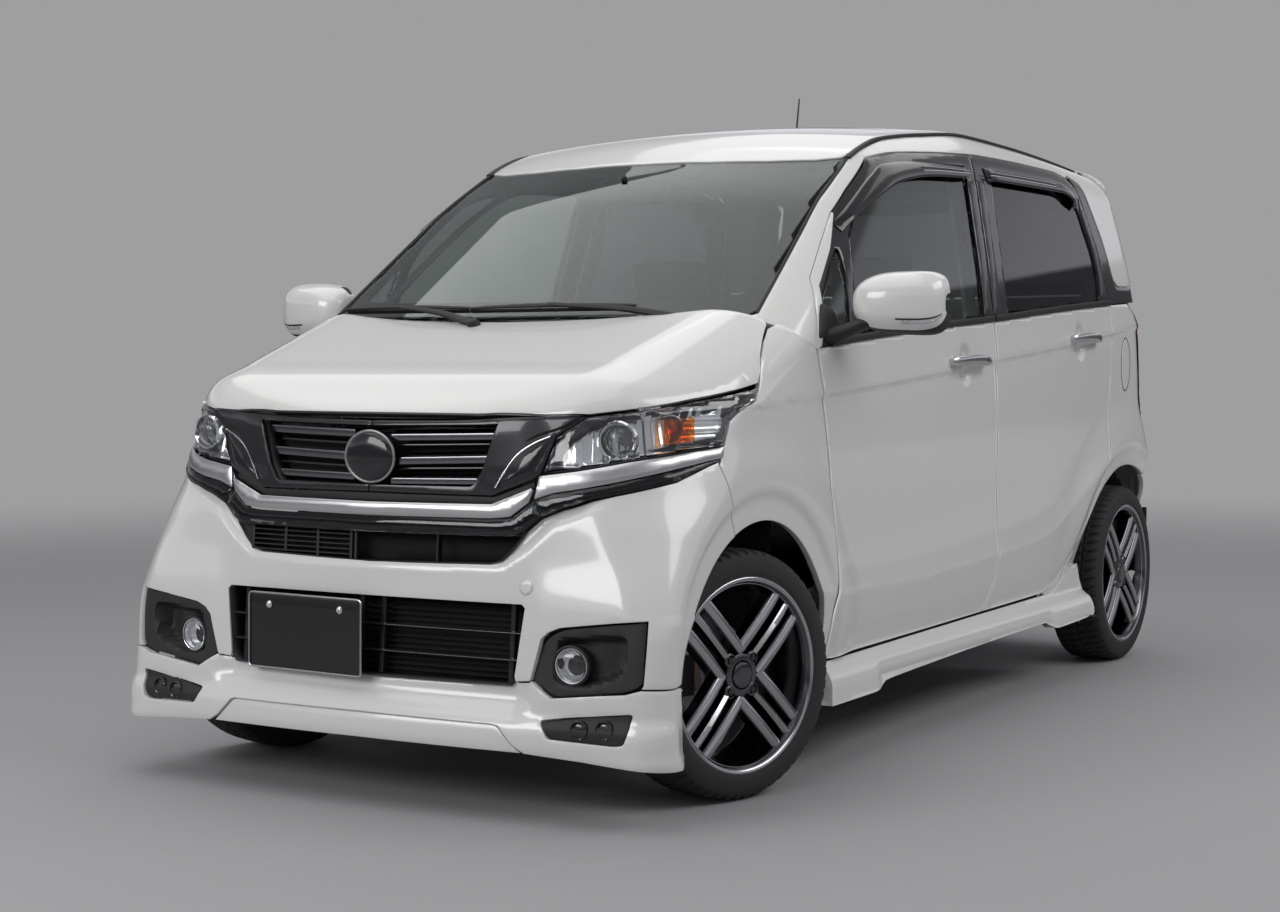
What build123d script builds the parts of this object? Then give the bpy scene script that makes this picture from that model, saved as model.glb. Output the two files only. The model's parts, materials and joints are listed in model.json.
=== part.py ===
from build123d import *
import os
from collections import namedtuple
from math import cos, radians, sin, sqrt

# Kei tall wagon. Millimetres, +Z up, the front at -Y and the car's own left at +X.
# The origin is on the ground, at the middle of the overall length and width.

# Driving dimensions
LENGTH = 3395.0
WIDTH = 1475.0
FRONT_AXLE_Y = -1185.0
WHEELBASE = 2520.0
TYRE_RADIUS = 277.5
TYRE_WIDTH = 165.0
RIM_RADIUS = 212.0
WHEEL_CENTRE_X = 637.0
STEER_AT_REST = -16.0
KINGPIN_X = 597.0
PANEL_GAP = 5.5
LAYER_GAP = 6.0
DOOR_WALL = 60.0
DOOR_FRAME = 26.0
PILLAR_WALL = 30.0
SKIN = 22.0
GLASS = 5.0
ARCH_RADIUS = 338.0
BELT_Z = 1053.0
FLOOR_Z = 270.0

# Worked out from them
NOSE_Y = -LENGTH / 2
TAIL_Y = LENGTH / 2
HALF_WIDTH = WIDTH / 2
REAR_AXLE_Y = FRONT_AXLE_Y + WHEELBASE
FRONT_ARCH = (FRONT_AXLE_Y + 14, TYRE_RADIUS)
REAR_ARCH = (REAR_AXLE_Y, TYRE_RADIUS + 3)
FLOOR_TOP = FLOOR_Z + 25

# Horizontal outlines of the body: half width of the side, the nose's and the tail's
# place on the centre line, the radius of their bow and of the corner beside it.
Row = namedtuple("Row", "z half nose nose_bow nose_corner tail tail_bow tail_corner")
LOWER = [
    Row(175, 706, NOSE_Y + 26, 4500, 120, TAIL_Y - 24, 6000, 110),
    Row(290, 713, NOSE_Y + 34, 6000, 135, TAIL_Y - 1, 6000, 120),
    Row(420, 726, NOSE_Y + 48, 9000, 150, TAIL_Y - 6, 6000, 125),
    Row(640, 719, NOSE_Y + 62, 4200, 190, TAIL_Y - 38, 5000, 120),
    Row(880, 727, NOSE_Y + 73, 1900, 250, TAIL_Y - 95, 4000, 120),
    Row(BELT_Z, 714, NOSE_Y + 90, 1750, 255, TAIL_Y - 108, 4000, 120),
]
UPPER = [
    Row(BELT_Z, 714, -1130, 1610, 100, TAIL_Y - 108, 4000, 120),
    Row(1300, 661, -767, 1600, 90, TAIL_Y - 147, 4000, 120),
    Row(1497, 616, -478, 1583, 80, TAIL_Y - 198, 4000, 120),
    Row(1570, 588, -371, 1583, 75, TAIL_Y - 222, 4000, 110),
    Row(1640, 505, -268, 1583, 60, TAIL_Y - 290, 4000, 90),
]
# The roof's centre line as (y, z), its fall at the sides, and the bonnet's line.
ROOF_LINE = [(-1300, 1440), (-480, 1497), (-330, 1549), (-160, 1583), (70, 1611), (350, 1632), (700, 1622),
             (1000, 1606), (1300, 1584), (1700, 1550)]
ROOF_SIDE_X = 800.0
ROOF_SIDE_DROP = 72.0
BONNET_LINE = [(-1900, 770), (-1640, 838), (-1503, 935), (-1130, BELT_Z + 3), (-700, 1200)]
BONNET_CREASE_R = 90.0
# Three points of the plane that shapes each shoulder of the bonnet.
SHOULDER = [(600, -1365, 991), (720, -1190, 915), (630, -1520, 884)]

# Side view outlines as (y, z)
A_LINE = [(-332, 1476), (-491, 1387), (-684, 1248), (-817, 1109), (-851, 1039), (-874, 992)]
FRONT_DOOR_EDGE = A_LINE + [(-815, 689), (-790, 352), (-789, 257)]
B_LINE = [(232, 272), (232, 636), (222, 1055), (290, 1520)]
FRONT_DOOR_TOP = [(74, 1513), (-178, 1500)]
REAR_DOOR_TOP = [(671, 1524), (1033, 1514)]
REAR_DOOR_EDGE = [(1088, 1460), (1147, 1304), (1188, 1128), (1186, 921), (1148, 650), (996, 461), (826, 323),
                  (697, 283)]
FRONT_GLASS = [(-600, 1028), (168, 1072), (232, 1462), (-160, 1452), (-330, 1405), (-570, 1262)]
VENT_GLASS = [(-775, 1035), (-640, 1028), (-612, 1230), (-660, 1190), (-765, 1078)]
REAR_GLASS = [(300, 1085), (1085, 1130), (1105, 1270), (1085, 1365), (1010, 1464), (372, 1470)]
# Front view outlines as (x, z), right half
SCREEN = [(612, 1064), (547, 1487)]
TAIL_GLASS = [(545, 1090), (475, 1440)]
FACE = [(412, 684), (495, 852)]
GRILLE = [(254, 693), (328, 841)]
LOWER_OPENING = [(375, 277), (402, 459)]
ROOF_EDGE_X = 560.0
TAILGATE_HALF = [(604, 530), (612, 1050), (535, 1500)]


def points_right_of(y0, bow, side, corner):
    """Points of an end of an outline: the bow's end, the corner's middle and its end, for y0 < 0."""
    centre_x = side - corner
    centre_y = y0 + bow - sqrt((bow - corner) ** 2 - centre_x ** 2)
    to_bow = (centre_x / (bow - corner), (centre_y - y0 - bow) / (bow - corner))
    bow_end = (centre_x + corner * to_bow[0], centre_y + corner * to_bow[1])
    mid = (to_bow[0] + 1, to_bow[1])
    size = sqrt(mid[0] ** 2 + mid[1] ** 2)
    corner_mid = (centre_x + corner * mid[0] / size, centre_y + corner * mid[1] / size)
    return bow_end, corner_mid, (side, centre_y)


def outline(row):
    """The closed horizontal outline of a row, with eight edges."""
    a, b, c = points_right_of(row.nose, row.nose_bow, row.half, row.nose_corner)
    d, e, f = points_right_of(-row.tail, row.tail_bow, row.half, row.tail_corner)
    d, e, f = [(x, -y) for x, y in (d, e, f)]
    left = [(-x, y) for x, y in (a, b, c, d, e, f)]
    edges = [
        ThreePointArc(left[0], (0, row.nose), a), ThreePointArc(a, b, c), Line(c, f), ThreePointArc(f, e, d),
        ThreePointArc(d, (0, row.tail), left[3]), ThreePointArc(left[3], left[4], left[5]),
        Line(left[5], left[2]), ThreePointArc(left[2], left[1], left[0]),
    ]
    return Plane.XY.offset(row.z) * make_face(edges)


def inset(row, wall, rake):
    """The outline of a row moved inwards by a wall; the screen's rake widens its step at the nose."""
    corner_n = max(row.nose_corner - wall, 12)
    corner_t = max(row.tail_corner - wall, 12)
    return Row(row.z, row.half - wall, row.nose + wall * rake, row.nose_bow - wall, corner_n,
               row.tail - wall, row.tail_bow - wall, corner_t)


def side_prism(points, x0=-900.0, x1=900.0):
    """A side view outline of (y, z) points, pushed from x0 to x1."""
    plane = Plane(origin=(x0, 0, 0), x_dir=(0, 1, 0), z_dir=(1, 0, 0))
    return extrude(plane * make_face(Polyline(*points, close=True)), amount=x1 - x0)


def front_prism(points, y0, y1):
    """A front view outline of (x, z) points, pushed from y0 to y1."""
    plane = Plane(origin=(0, y1, 0), x_dir=(1, 0, 0), z_dir=(0, -1, 0))
    return extrude(plane * make_face(Polyline(*points, close=True)), amount=y1 - y0)


def plan_prism(points, z0, z1):
    """A plan outline of (x, y) points, pushed from z0 to z1."""
    return extrude(Plane.XY.offset(z0) * make_face(Polyline(*points, close=True)), amount=z1 - z0)


def grown_side_prism(points, by, x0=-900.0, x1=900.0):
    """A side view outline, grown by a distance with sharp corners, pushed from x0 to x1."""
    plane = Plane(origin=(x0, 0, 0), x_dir=(0, 1, 0), z_dir=(1, 0, 0))
    face = offset(make_face(Polyline(*points, close=True)), amount=by, kind=Kind.INTERSECTION)
    return extrude(plane * face, amount=x1 - x0)


def both_sides(points):
    """A right half outline from its lower to its upper point, closed with its mirror image."""
    return points + [(-x, z) for x, z in reversed(points)]


def block(x0, x1, y0, y1, z0, z1):
    """A box between two corners."""
    centre = Pos((x0 + x1) / 2, (y0 + y1) / 2, (z0 + z1) / 2)
    return centre * Box(abs(x1 - x0), abs(y1 - y0), abs(z1 - z0))


def x_cylinder(x0, x1, y, z, radius):
    """A cylinder along X."""
    plane = Plane(origin=(x0, y, z), x_dir=(0, 1, 0), z_dir=(1, 0, 0))
    return extrude(plane * Circle(radius), amount=x1 - x0)


def bonnet_cut(wall):
    """What lies above the bonnet's line and its shoulders, lowered by a wall."""
    line = [(y, z - wall) for y, z in BONNET_LINE]
    path = FilletPolyline(*line, radius=BONNET_CREASE_R)
    top = Polyline(line[-1], (line[-1][0], 1500), (line[0][0], 1500), line[0])
    plane = Plane(origin=(-900, 0, 0), x_dir=(0, 1, 0), z_dir=(1, 0, 0))
    above = extrude(plane * make_face([path, top]), amount=1800)
    p, q, r = [Vector(*point) for point in SHOULDER]
    normal = (q - p).cross(r - p).normalized()
    normal = normal if normal.X > 0 else -normal
    chop = Plane(origin=p - normal * wall, z_dir=normal) * Pos(0, 0, 400) * Box(1600, 1600, 800)
    chop = chop & block(0, 1200, -2200, -860, 600, 1600)
    return above & block(-900, 900, -2200, -1050, 500, 1600), chop, mirror(chop, Plane.YZ)


def lower_body(wall, rake=1.0):
    """The closed body below the belt, smaller by a wall all round but not at its bottom."""
    solid = loft([outline(inset(row, wall, rake)) for row in LOWER])
    for cut in bonnet_cut(wall):
        solid -= cut
    return solid


def roof_block(wall):
    """All that is below the roof's crowned surface, lowered by a wall."""
    sections = []
    for y, z in ROOF_LINE:
        side = z - wall - ROOF_SIDE_DROP
        arc = ThreePointArc((-ROOF_SIDE_X, side), (0, z - wall), (ROOF_SIDE_X, side))
        rest = Polyline((ROOF_SIDE_X, side), (ROOF_SIDE_X, 900), (-ROOF_SIDE_X, 900), (-ROOF_SIDE_X, side))
        plane = Plane(origin=(0, y, 0), x_dir=(1, 0, 0), z_dir=(0, -1, 0))
        sections.append(plane * make_face([arc, rest]))
    return loft(sections, ruled=True)


def upper_body(wall):
    """The closed glasshouse above the belt, smaller by a wall."""
    rake = 1.8
    return loft([outline(inset(row, wall, rake)) for row in UPPER]) & roof_block(wall)


LOW = {wall: lower_body(wall) for wall in (0.0, SKIN, DOOR_WALL, DOOR_WALL + LAYER_GAP)}
LOW_INNER = lower_body(DOOR_WALL + LAYER_GAP + PILLAR_WALL)
UP = {wall: upper_body(wall) for wall in (0.0, GLASS, SKIN, DOOR_FRAME, DOOR_FRAME + LAYER_GAP)}
UP_INNER = upper_body(DOOR_FRAME + LAYER_GAP + PILLAR_WALL)

nodes = {}


def keep(name, *solids):
    """Give a node its solids."""
    found = []
    for shape in solids:
        found += [solid for solid in shape.solids() if solid.volume > 500]
    nodes[name] = found


def pair(name, solid):
    """Give a left node and its mirror image on the right."""
    keep(name + "_left", solid)
    keep(name + "_right", mirror(solid, Plane.YZ))


# Doors, as thick as the whole door below the belt and as its frame above it
front_door = FRONT_DOOR_EDGE + B_LINE + FRONT_DOOR_TOP
rear_b_line = [(y + PANEL_GAP, z) for y, z in B_LINE]
rear_door = rear_b_line + REAR_DOOR_TOP + REAR_DOOR_EDGE
low_door_layer = LOW[0.0] - LOW[DOOR_WALL]
up_door_layer = UP[0.0] - UP[DOOR_FRAME]
glass_layer = UP[GLASS] - upper_body(2 * GLASS)
door_layer_front = low_door_layer & block(0, 900, -1000, 320, 200, 1100)
door_layer_rear = low_door_layer & block(0, 900, 150, 1300, 200, 1100)
up_layer_side = up_door_layer & block(300, 900, -1000, 1300, 1000, 1640)
vent = side_prism(VENT_GLASS, 300, 900)
front_pane = side_prism(FRONT_GLASS, 300, 900)
rear_pane = side_prism(REAR_GLASS, 300, 900)
front_door_prism = side_prism(front_door, 300, 900)
rear_door_prism = side_prism(rear_door, 300, 900)
# Pull handles as (y, z) of their middles
FRONT_HANDLE = (13.0, 957.0)
REAR_HANDLE = (925.0, 1020.0)
HANDLE_LENGTH = 240.0
HANDLE_HIGH = 24.0
HANDLE_X = 730.0
HANDLE_THICK = 14.0
HANDLE_FOOT = 26.0
HANDLE_EDGE = 5.0


def handle(y, z):
    """A pull handle: a bar on two feet that stand in the door's skin."""
    low, high = y - HANDLE_LENGTH / 2, y + HANDLE_LENGTH / 2
    grip = block(HANDLE_X, HANDLE_X + HANDLE_THICK, low, high, z - HANDLE_HIGH / 2, z + HANDLE_HIGH / 2)
    grip = fillet(grip.edges().filter_by(Axis.Y), HANDLE_EDGE)
    foot_x = HANDLE_X - DOOR_WALL / 2
    foot_z = HANDLE_HIGH / 2 - HANDLE_EDGE
    for y0, y1 in ((low, low + HANDLE_FOOT), (high - HANDLE_FOOT, high)):
        grip += block(foot_x, HANDLE_X + HANDLE_EDGE, y0, y1, z - foot_z, z + foot_z)
    return grip


door_front = (door_layer_front & front_door_prism) + (up_layer_side & front_door_prism - vent - front_pane)
door_front += handle(*FRONT_HANDLE)
door_rear = (door_layer_rear & rear_door_prism) + (up_layer_side & rear_door_prism - rear_pane)
door_rear += handle(*REAR_HANDLE)
pair("door_front", door_front)
pair("door_rear", door_rear)
pair("glass_front", (glass_layer & (vent + front_pane)))
pair("glass_rear", (glass_layer & rear_pane))

# Side frames: sills, pillars, roof rails and rear quarters behind and round the doors
low_wall = LOW[0.0] - LOW_INNER
up_wall = UP[0.0] - UP_INNER
FRAME_FRONT_Y = -905.0
FRAME_LAP = 26.0
tail_cut = front_prism(both_sides(TAILGATE_HALF), 1380, 1800)
door_zone = grown_side_prism(front_door, PANEL_GAP, 300, 900) + grown_side_prism(rear_door, PANEL_GAP, 300, 900)
low_outer = door_zone - LOW[DOOR_WALL + LAYER_GAP]
up_outer = door_zone - UP[DOOR_FRAME + LAYER_GAP]
openings = grown_side_prism(front_door, -FRAME_LAP, 300, 900)
openings += grown_side_prism(rear_door, -FRAME_LAP, 300, 900)
door_front_edge = [(y - PANEL_GAP, z) for y, z in FRONT_DOOR_EDGE[-4:]]
fender_edge = [(-2000, 992)] + door_front_edge + [(door_front_edge[-1][0], 100), (-2000, 100)]
fender_zone = side_prism(fender_edge, 300, 900) - LOW[DOOR_WALL + LAYER_GAP]
rear_arch = x_cylinder(300, 900, *REAR_ARCH, ARCH_RADIUS)
BUMPER_TOP = 560.0
rear_bumper_zone = block(-900, 900, 1380, 1800, 0, BUMPER_TOP + LAYER_GAP)
low_frame = low_wall & block(560, 900, FRAME_FRONT_Y, 1800, 230, BELT_Z)
low_frame = low_frame - (low_outer & LOW[0.0]) - openings - (fender_zone & LOW[0.0])
low_frame = low_frame - tail_cut - rear_bumper_zone - rear_arch
screen_cut = front_prism(both_sides(SCREEN), -1300, -150)
up_frame = up_wall & block(ROOF_EDGE_X, 900, -1200, 1800, BELT_Z, 1700)
a_pillar = up_wall & block(400, ROOF_EDGE_X, -1200, -200, BELT_Z, 1487) - screen_cut
up_frame = up_frame + a_pillar - up_outer - openings - screen_cut - tail_cut
side_frame = low_frame + up_frame - x_cylinder(300, 900, *FRONT_ARCH, ARCH_RADIUS)
FUEL_CENTRE = (1322.0, 940.0)
fuel_plane = Plane(origin=(500, *FUEL_CENTRE), x_dir=(0, 1, 0), z_dir=(1, 0, 0))
fuel_prism = fuel_plane * SlotOverall(163, 80, rotation=90)
fuel_cut = extrude(offset(fuel_prism, amount=PANEL_GAP), amount=400) - LOW[DOOR_WALL]
keep("fuel_lid", (LOW[0.0] - LOW[SKIN]) & extrude(fuel_prism, amount=400))

# Front end
FENDER_TOP = [(-879.5, BELT_Z), (-1030, 1047), (-1190, 915)]
LAMP_SIDE = [(-1190, 913), (-1225, 872), (-1262, 866), (-1290, 752), (-1600, 705), (-1650, 845), (-1585, 861),
             (-1520, 884)]
LAMP_INNER = [(430, 715), (505, 862)]
LAMP_GAP = 3.0
BUMPER_SPLIT = [(-1290, 752), (-1395, 540)]
FENDER_LAP = 4.0
LIP_TOP = 228.0
SKIRT_TOP = 232.0
front_arch = x_cylinder(300, 900, *FRONT_ARCH, ARCH_RADIUS)
skin = LOW[0.0] - LOW[SKIN]
front_skin = skin & block(-900, 900, -1800, -700, 150, 1200)
front_deep = (LOW[0.0] - LOW[DOOR_WALL]) & block(-900, 900, -1800, -1150, 150, 1200)
back_layer = (LOW[SKIN] - LOW[DOOR_WALL]) & block(-900, 900, -1800, -1250, 150, 1200)
lamp_sight = LAMP_INNER + [(900, 1000), (900, 600)]
lamp_zone = side_prism(LAMP_SIDE, 300, 900) & front_prism(lamp_sight, -1800, -1000)
gap_sight = [(x - LAMP_GAP, z + dz) for (x, z), dz in zip(LAMP_INNER, (-15, 8))] + lamp_sight[2:]
lamp_gap = grown_side_prism(LAMP_SIDE, LAMP_GAP, 300, 900) & front_prism(gap_sight, -1800, -1000)
lamp = front_deep & lamp_zone
keep("headlamps", lamp, mirror(lamp, Plane.YZ))
fender_front = [(y + FENDER_LAP, z) for y, z in BUMPER_SPLIT]
fender_side = FENDER_TOP + [(-1262, 760)] + fender_front + [(fender_front[-1][0], 200)]
fender_side += [(door_front_edge[-1][0], SKIRT_TOP)] + door_front_edge[::-1]
fender = (front_skin & side_prism(fender_side, 300, 900)) - front_arch - lamp_gap - side_frame
keep("front_fenders", fender, mirror(fender, Plane.YZ))
BONNET_EDGE = [(-1700, 848), (-1585, 863), (-1520, 889), (-1190, 920), (-1034, 1050), (-1034, 1200),
               (-1700, 1200)]
COWL_GAP = 20.0
screen_base = UPPER[0]
screen_bow = Pos(0, screen_base.nose + screen_base.nose_bow, 1000) * Cylinder(screen_base.nose_bow + COWL_GAP, 600)
bonnet = (front_skin & side_prism(BONNET_EDGE)) - screen_bow
keep("bonnet", bonnet)
BAND = [(400, 640), (400, 668)]
SLOT = [(372, 530), (392, 630)]
FOG = [(500, 275), (590, 275), (630, 345), (640, 385), (545, 385), (500, 370)]
LIP_GAP = 4.0
GRILLE_BARS = [(700, 722), (752, 774), (802, 824)]
BAR_LAP = 8.0
EMBLEM = (760.0, 56.0)
EMBLEM_THICK = 40.0
face_shape = front_prism(both_sides(FACE), -1800, -1300)
grille_hole = front_prism(both_sides(GRILLE), -1800, -1300)
band = front_prism(both_sides(BAND), -1800, -1300)
slots = front_prism(both_sides(SLOT), -1800, -1300)
lower_hole = front_prism(both_sides(LOWER_OPENING), -1800, -1300)
fog_hole = front_prism(FOG, -1800, -1300)
bumper_side = [(-1800, LIP_TOP + LIP_GAP), (-1395, LIP_TOP + LIP_GAP)] + BUMPER_SPLIT[::-1]
bumper_side += [(-1300, 800), (-1800, 843)]
bumper = (front_skin & side_prism(bumper_side)) - face_shape - band - slots - lower_hole
for cut in (front_arch, lamp_gap, lamp, fog_hole):
    bumper = bumper - cut - mirror(cut, Plane.YZ)
keep("front_bumper", bumper)
# The face panel between the lamps, with the grille's bars and a bare round pad behind its opening
face = (front_skin & face_shape) - grille_hole
for cut in (lamp_gap, lamp):
    face = face - cut - mirror(cut, Plane.YZ)
wide_grille = [(x + BAR_LAP, z) for x, z in GRILLE]
bars = back_layer & front_prism(both_sides(wide_grille), -1800, -1300)
slabs = [block(-400, 400, -1800, -1300, z0, z1) for z0, z1 in GRILLE_BARS]
bars = bars & (slabs[0] + slabs[1] + slabs[2])
pad = Pos(0, NOSE_Y + 2 * SKIN + EMBLEM_THICK, EMBLEM[0]) * Rot(X=90) * Cylinder(EMBLEM[1], EMBLEM_THICK)
post = block(-30, 30, -1800, -1300, GRILLE_BARS[0][0], GRILLE_BARS[-1][1]) & back_layer
keep("upper_grille", face + bars + pad + (post - bonnet))
keep("chrome_band", front_skin & band)
PLATE = (-212.4, 357.5)
PLATE_HOLE_X = 105.0
PLATE_HOLE_R = 3.3
BRACKET_HALF = (125.0, 25.0)
BRACKET_Y = (-1662.0, -1618.0)
bracket = block(PLATE[0] - BRACKET_HALF[0], PLATE[0] + BRACKET_HALF[0], *BRACKET_Y, PLATE[1] - BRACKET_HALF[1],
                PLATE[1] + BRACKET_HALF[1])
lower_grille = (back_layer & lower_hole) + bracket
for side in (-1, 1):
    plate_hole = Rot(X=90) * Cylinder(PLATE_HOLE_R, 200)
    lower_grille -= Pos(PLATE[0] + side * PLATE_HOLE_X, -1600, PLATE[1]) * plate_hole
keep("lower_grilles", back_layer & slots, lower_grille)
FOG_LAMP = (510.5, 334.0)
FOG_RADIUS = 38.0
fog = (back_layer & fog_hole) + (Pos(FOG_LAMP[0], -1600, FOG_LAMP[1]) * Rot(X=90) * Cylinder(FOG_RADIUS, 30))
keep("fog_lamps", fog, mirror(fog, Plane.YZ))
LIP = [Row(140, 728, NOSE_Y + 12, 4500, 118, 0, 6000, 120), Row(170, 736, NOSE_Y, 4500, 120, 0, 6000, 120),
       Row(LIP_TOP, 731, NOSE_Y + 14, 4500, 125, 0, 6000, 120)]
lip_inside = loft([outline(inset(row, SKIN, 1)) for row in LIP], ruled=True)
lip = loft([outline(row) for row in LIP], ruled=True) - lip_inside
lip = (lip & block(-900, 900, -1800, -1340, 100, 300)) - front_arch - mirror(front_arch, Plane.YZ)
keep("front_spoiler", lip)

# Glasshouse
screen_shape = front_prism(both_sides(SCREEN), -1300, -150)
keep("windscreen", (UP[0.0] - UP[GLASS]) & screen_shape)
ROOF_REAR_Y = 1300.0
roof = (UP[0.0] - UP[SKIN]) & block(-ROOF_EDGE_X, ROOF_EDGE_X, -700, ROOF_REAR_Y, 1487, 1700)
ANTENNA = (-410.0, 1225.0)
MAST_LENGTH = 268.0
MAST_LEAN = -17.0
MAST_RADIUS = 4.0
rod = Rot(X=MAST_LEAN) * Pos(0, 0, MAST_LENGTH / 2) * Cylinder(MAST_RADIUS, MAST_LENGTH)
mast = Pos(*ANTENNA, 1585) * (Pos(0, 0, 14) * Cone(26, 12, 40) + rod)
keep("roof", roof + mast)
gate_half = [(x - PANEL_GAP, z) for x, z in TAILGATE_HALF]
gate_half[0] = (gate_half[0][0], BUMPER_TOP + PANEL_GAP)
low_tail = both_sides(gate_half)
tail_prism = front_prism(low_tail, 1380, 1800)
tail_pane = front_prism(both_sides(TAIL_GLASS), 1380, 1800)
TAIL_EDGE_Y = ROOF_REAR_Y + LAYER_GAP
tail_top = block(-ROOF_EDGE_X + PANEL_GAP, ROOF_EDGE_X - PANEL_GAP, TAIL_EDGE_Y, 1800, 1500, 1700)
gate = (low_door_layer & tail_prism) + (up_door_layer & tail_prism - tail_pane) + (up_door_layer & tail_top)
keep("tailgate", gate)
keep("tailgate_glass", (UP[0.0] - UP[GLASS]) & tail_pane)

# Rear end
both_rear_arches = rear_arch + mirror(rear_arch, Plane.YZ)
rear_bumper = (low_door_layer & block(-900, 900, 1390, 1800, 175, BUMPER_TOP)) - both_rear_arches
keep("rear_bumper", rear_bumper)
TAIL_LAMP = (620.0, 1505.0, 800.0, 1030.0)
lamp_box = block(TAIL_LAMP[0], 900, TAIL_LAMP[1], 1800, TAIL_LAMP[2], TAIL_LAMP[3])
tail_lamp = skin & lamp_box
keep("tail_lamps", tail_lamp, mirror(tail_lamp, Plane.YZ))
side_frame = side_frame - tail_lamp
keep("side_frame_left", side_frame - fuel_cut)
keep("side_frame_right", mirror(side_frame, Plane.YZ))
spoiler_top = [(1318, 1592), (1560, 1562), (1640, 1528), (1648, 1508), (1560, 1512), (1430, 1520)]
spoiler = side_prism(spoiler_top, -545, 545) - UP[0.0]
fin = side_prism([(1470, 1530), (1640, 1520), (1650, 1400), (1600, 1330), (1560, 1360)], 545, 562)
fin = fin - UP[0.0]
keep("rear_spoiler", spoiler + fin + mirror(fin, Plane.YZ))

# Skirts and mirrors
SKIRT_INNER_X = 660.0
SKIRT = [(-838, 155), (-838, 240), (1000, 262), (1000, 180), (905, 176), (660, 172), (600, 196), (-480, 178),
         (-540, 158)]
skirt = side_prism(SKIRT, SKIRT_INNER_X, HALF_WIDTH) - (LOW[0.0] & block(-900, 900, -1000, 1300, 230, 500))
skirt = skirt - front_arch - rear_arch - fender
keep("side_skirts", skirt, mirror(skirt, Plane.YZ))
MIRROR_X = (765.0, 975.0)
MIRROR_MID = (-760.0, 1100.0)
MIRROR_HALF = (50.0, 65.0)
STALK_HALF = 30.0
mirror_y, mirror_z = MIRROR_MID
mirror_low = mirror_z - MIRROR_HALF[1]
head = block(*MIRROR_X, mirror_y - MIRROR_HALF[0], mirror_y + MIRROR_HALF[0], mirror_low,
             mirror_z + MIRROR_HALF[1])
head = fillet(head.edges().filter_by(Axis.Y), 40)
head = fillet(head.faces().sort_by(Axis.Y)[0].edges(), 25)
stalk = block(700, MIRROR_X[0] + STALK_HALF, mirror_y - STALK_HALF, mirror_y + STALK_HALF, mirror_low,
              mirror_low + STALK_HALF)
pair("mirror", (head + stalk) - UP[0.0] - LOW[0.0])

# Cowl under the windscreen
cowl = (UP[0.0] - UP_INNER) & block(-600, 600, -1200, -900, BELT_Z, 1062)
cowl_tray = block(-580, 580, -1085, -912, 985, BELT_Z) & LOW[SKIN]
keep("cowl", cowl + cowl_tray - side_frame - mirror(side_frame, Plane.YZ))

# Floor, firewall, wheelhouses and front rails
INNER_X = 600.0
FRONT_FLOOR_Y = -905.0
KICK_Y = 900.0
REAR_FLOOR_Z = 420.0
floor = block(-INNER_X, INNER_X, FRONT_FLOOR_Y, KICK_Y, FLOOR_Z, FLOOR_TOP)
floor += block(-INNER_X, INNER_X, KICK_Y - 20, KICK_Y, FLOOR_TOP, REAR_FLOOR_Z)
floor += block(-INNER_X, INNER_X, KICK_Y - 20, 1590, REAR_FLOOR_Z, REAR_FLOOR_Z + 20)
floor += block(-INNER_X, INNER_X, FRONT_FLOOR_Y, FRONT_FLOOR_Y + 20, FLOOR_TOP, 985)
tub = x_cylinder(440, 629, *REAR_ARCH, ARCH_RADIUS + 12) & block(400, 700, 900, 1600, REAR_FLOOR_Z, 700)
hollow = x_cylinder(452, 900, *REAR_ARCH, ARCH_RADIUS)
front_tub = x_cylinder(390, 640, *FRONT_ARCH, ARCH_RADIUS + 12)
front_tub = front_tub & block(380, 700, FRONT_FLOOR_Y, -700, FLOOR_Z, 700)
tub += front_tub
hollow += x_cylinder(402, 900, *FRONT_ARCH, ARCH_RADIUS)
floor = floor + tub + mirror(tub, Plane.YZ)
floor = floor - hollow - mirror(hollow, Plane.YZ)
rail = block(335, 385, -1560, FRONT_FLOOR_Y, 340, 420)
tower = block(375, 385, -1290, -1090, 420, 800) + block(375, 640, -1290, -1090, 790, 800)
rail += tower
beam = block(-385, 385, -1560, -1530, 350, 500)
floor = floor + rail + mirror(rail, Plane.YZ) + beam
floor = floor - rear_bumper - side_frame - mirror(side_frame, Plane.YZ)
# A lug to tie the car down by, and the pads that a jack lifts it by
TIE_DOWN = (430.0, 1566.0, 155.0)
TIE_HOLE_R = 14.0
TIE_HALF = (30.0, 6.0)
JACK_PAD = (540.0, 600.0, 222.0)
JACK_PAD_Y = [(-690, -620), (770, 840)]
tie_x, tie_y, tie_z = TIE_DOWN
tie_front, tie_rear = tie_y - TIE_HALF[1], tie_y + TIE_HALF[1]
lug = block(tie_x - TIE_HALF[0], tie_x + TIE_HALF[0], tie_front, tie_rear, tie_z - TIE_HALF[0], REAR_FLOOR_Z)
floor = floor + (lug - Pos(*TIE_DOWN) * Rot(X=90) * Cylinder(TIE_HOLE_R, 4 * TIE_HALF[1]))
for y0, y1 in JACK_PAD_Y:
    jack_pad = block(JACK_PAD[0], JACK_PAD[1], y0, y1, JACK_PAD[2], FLOOR_Z)
    floor = floor + jack_pad + mirror(jack_pad, Plane.YZ)
keep("floor_pan", floor)

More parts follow.
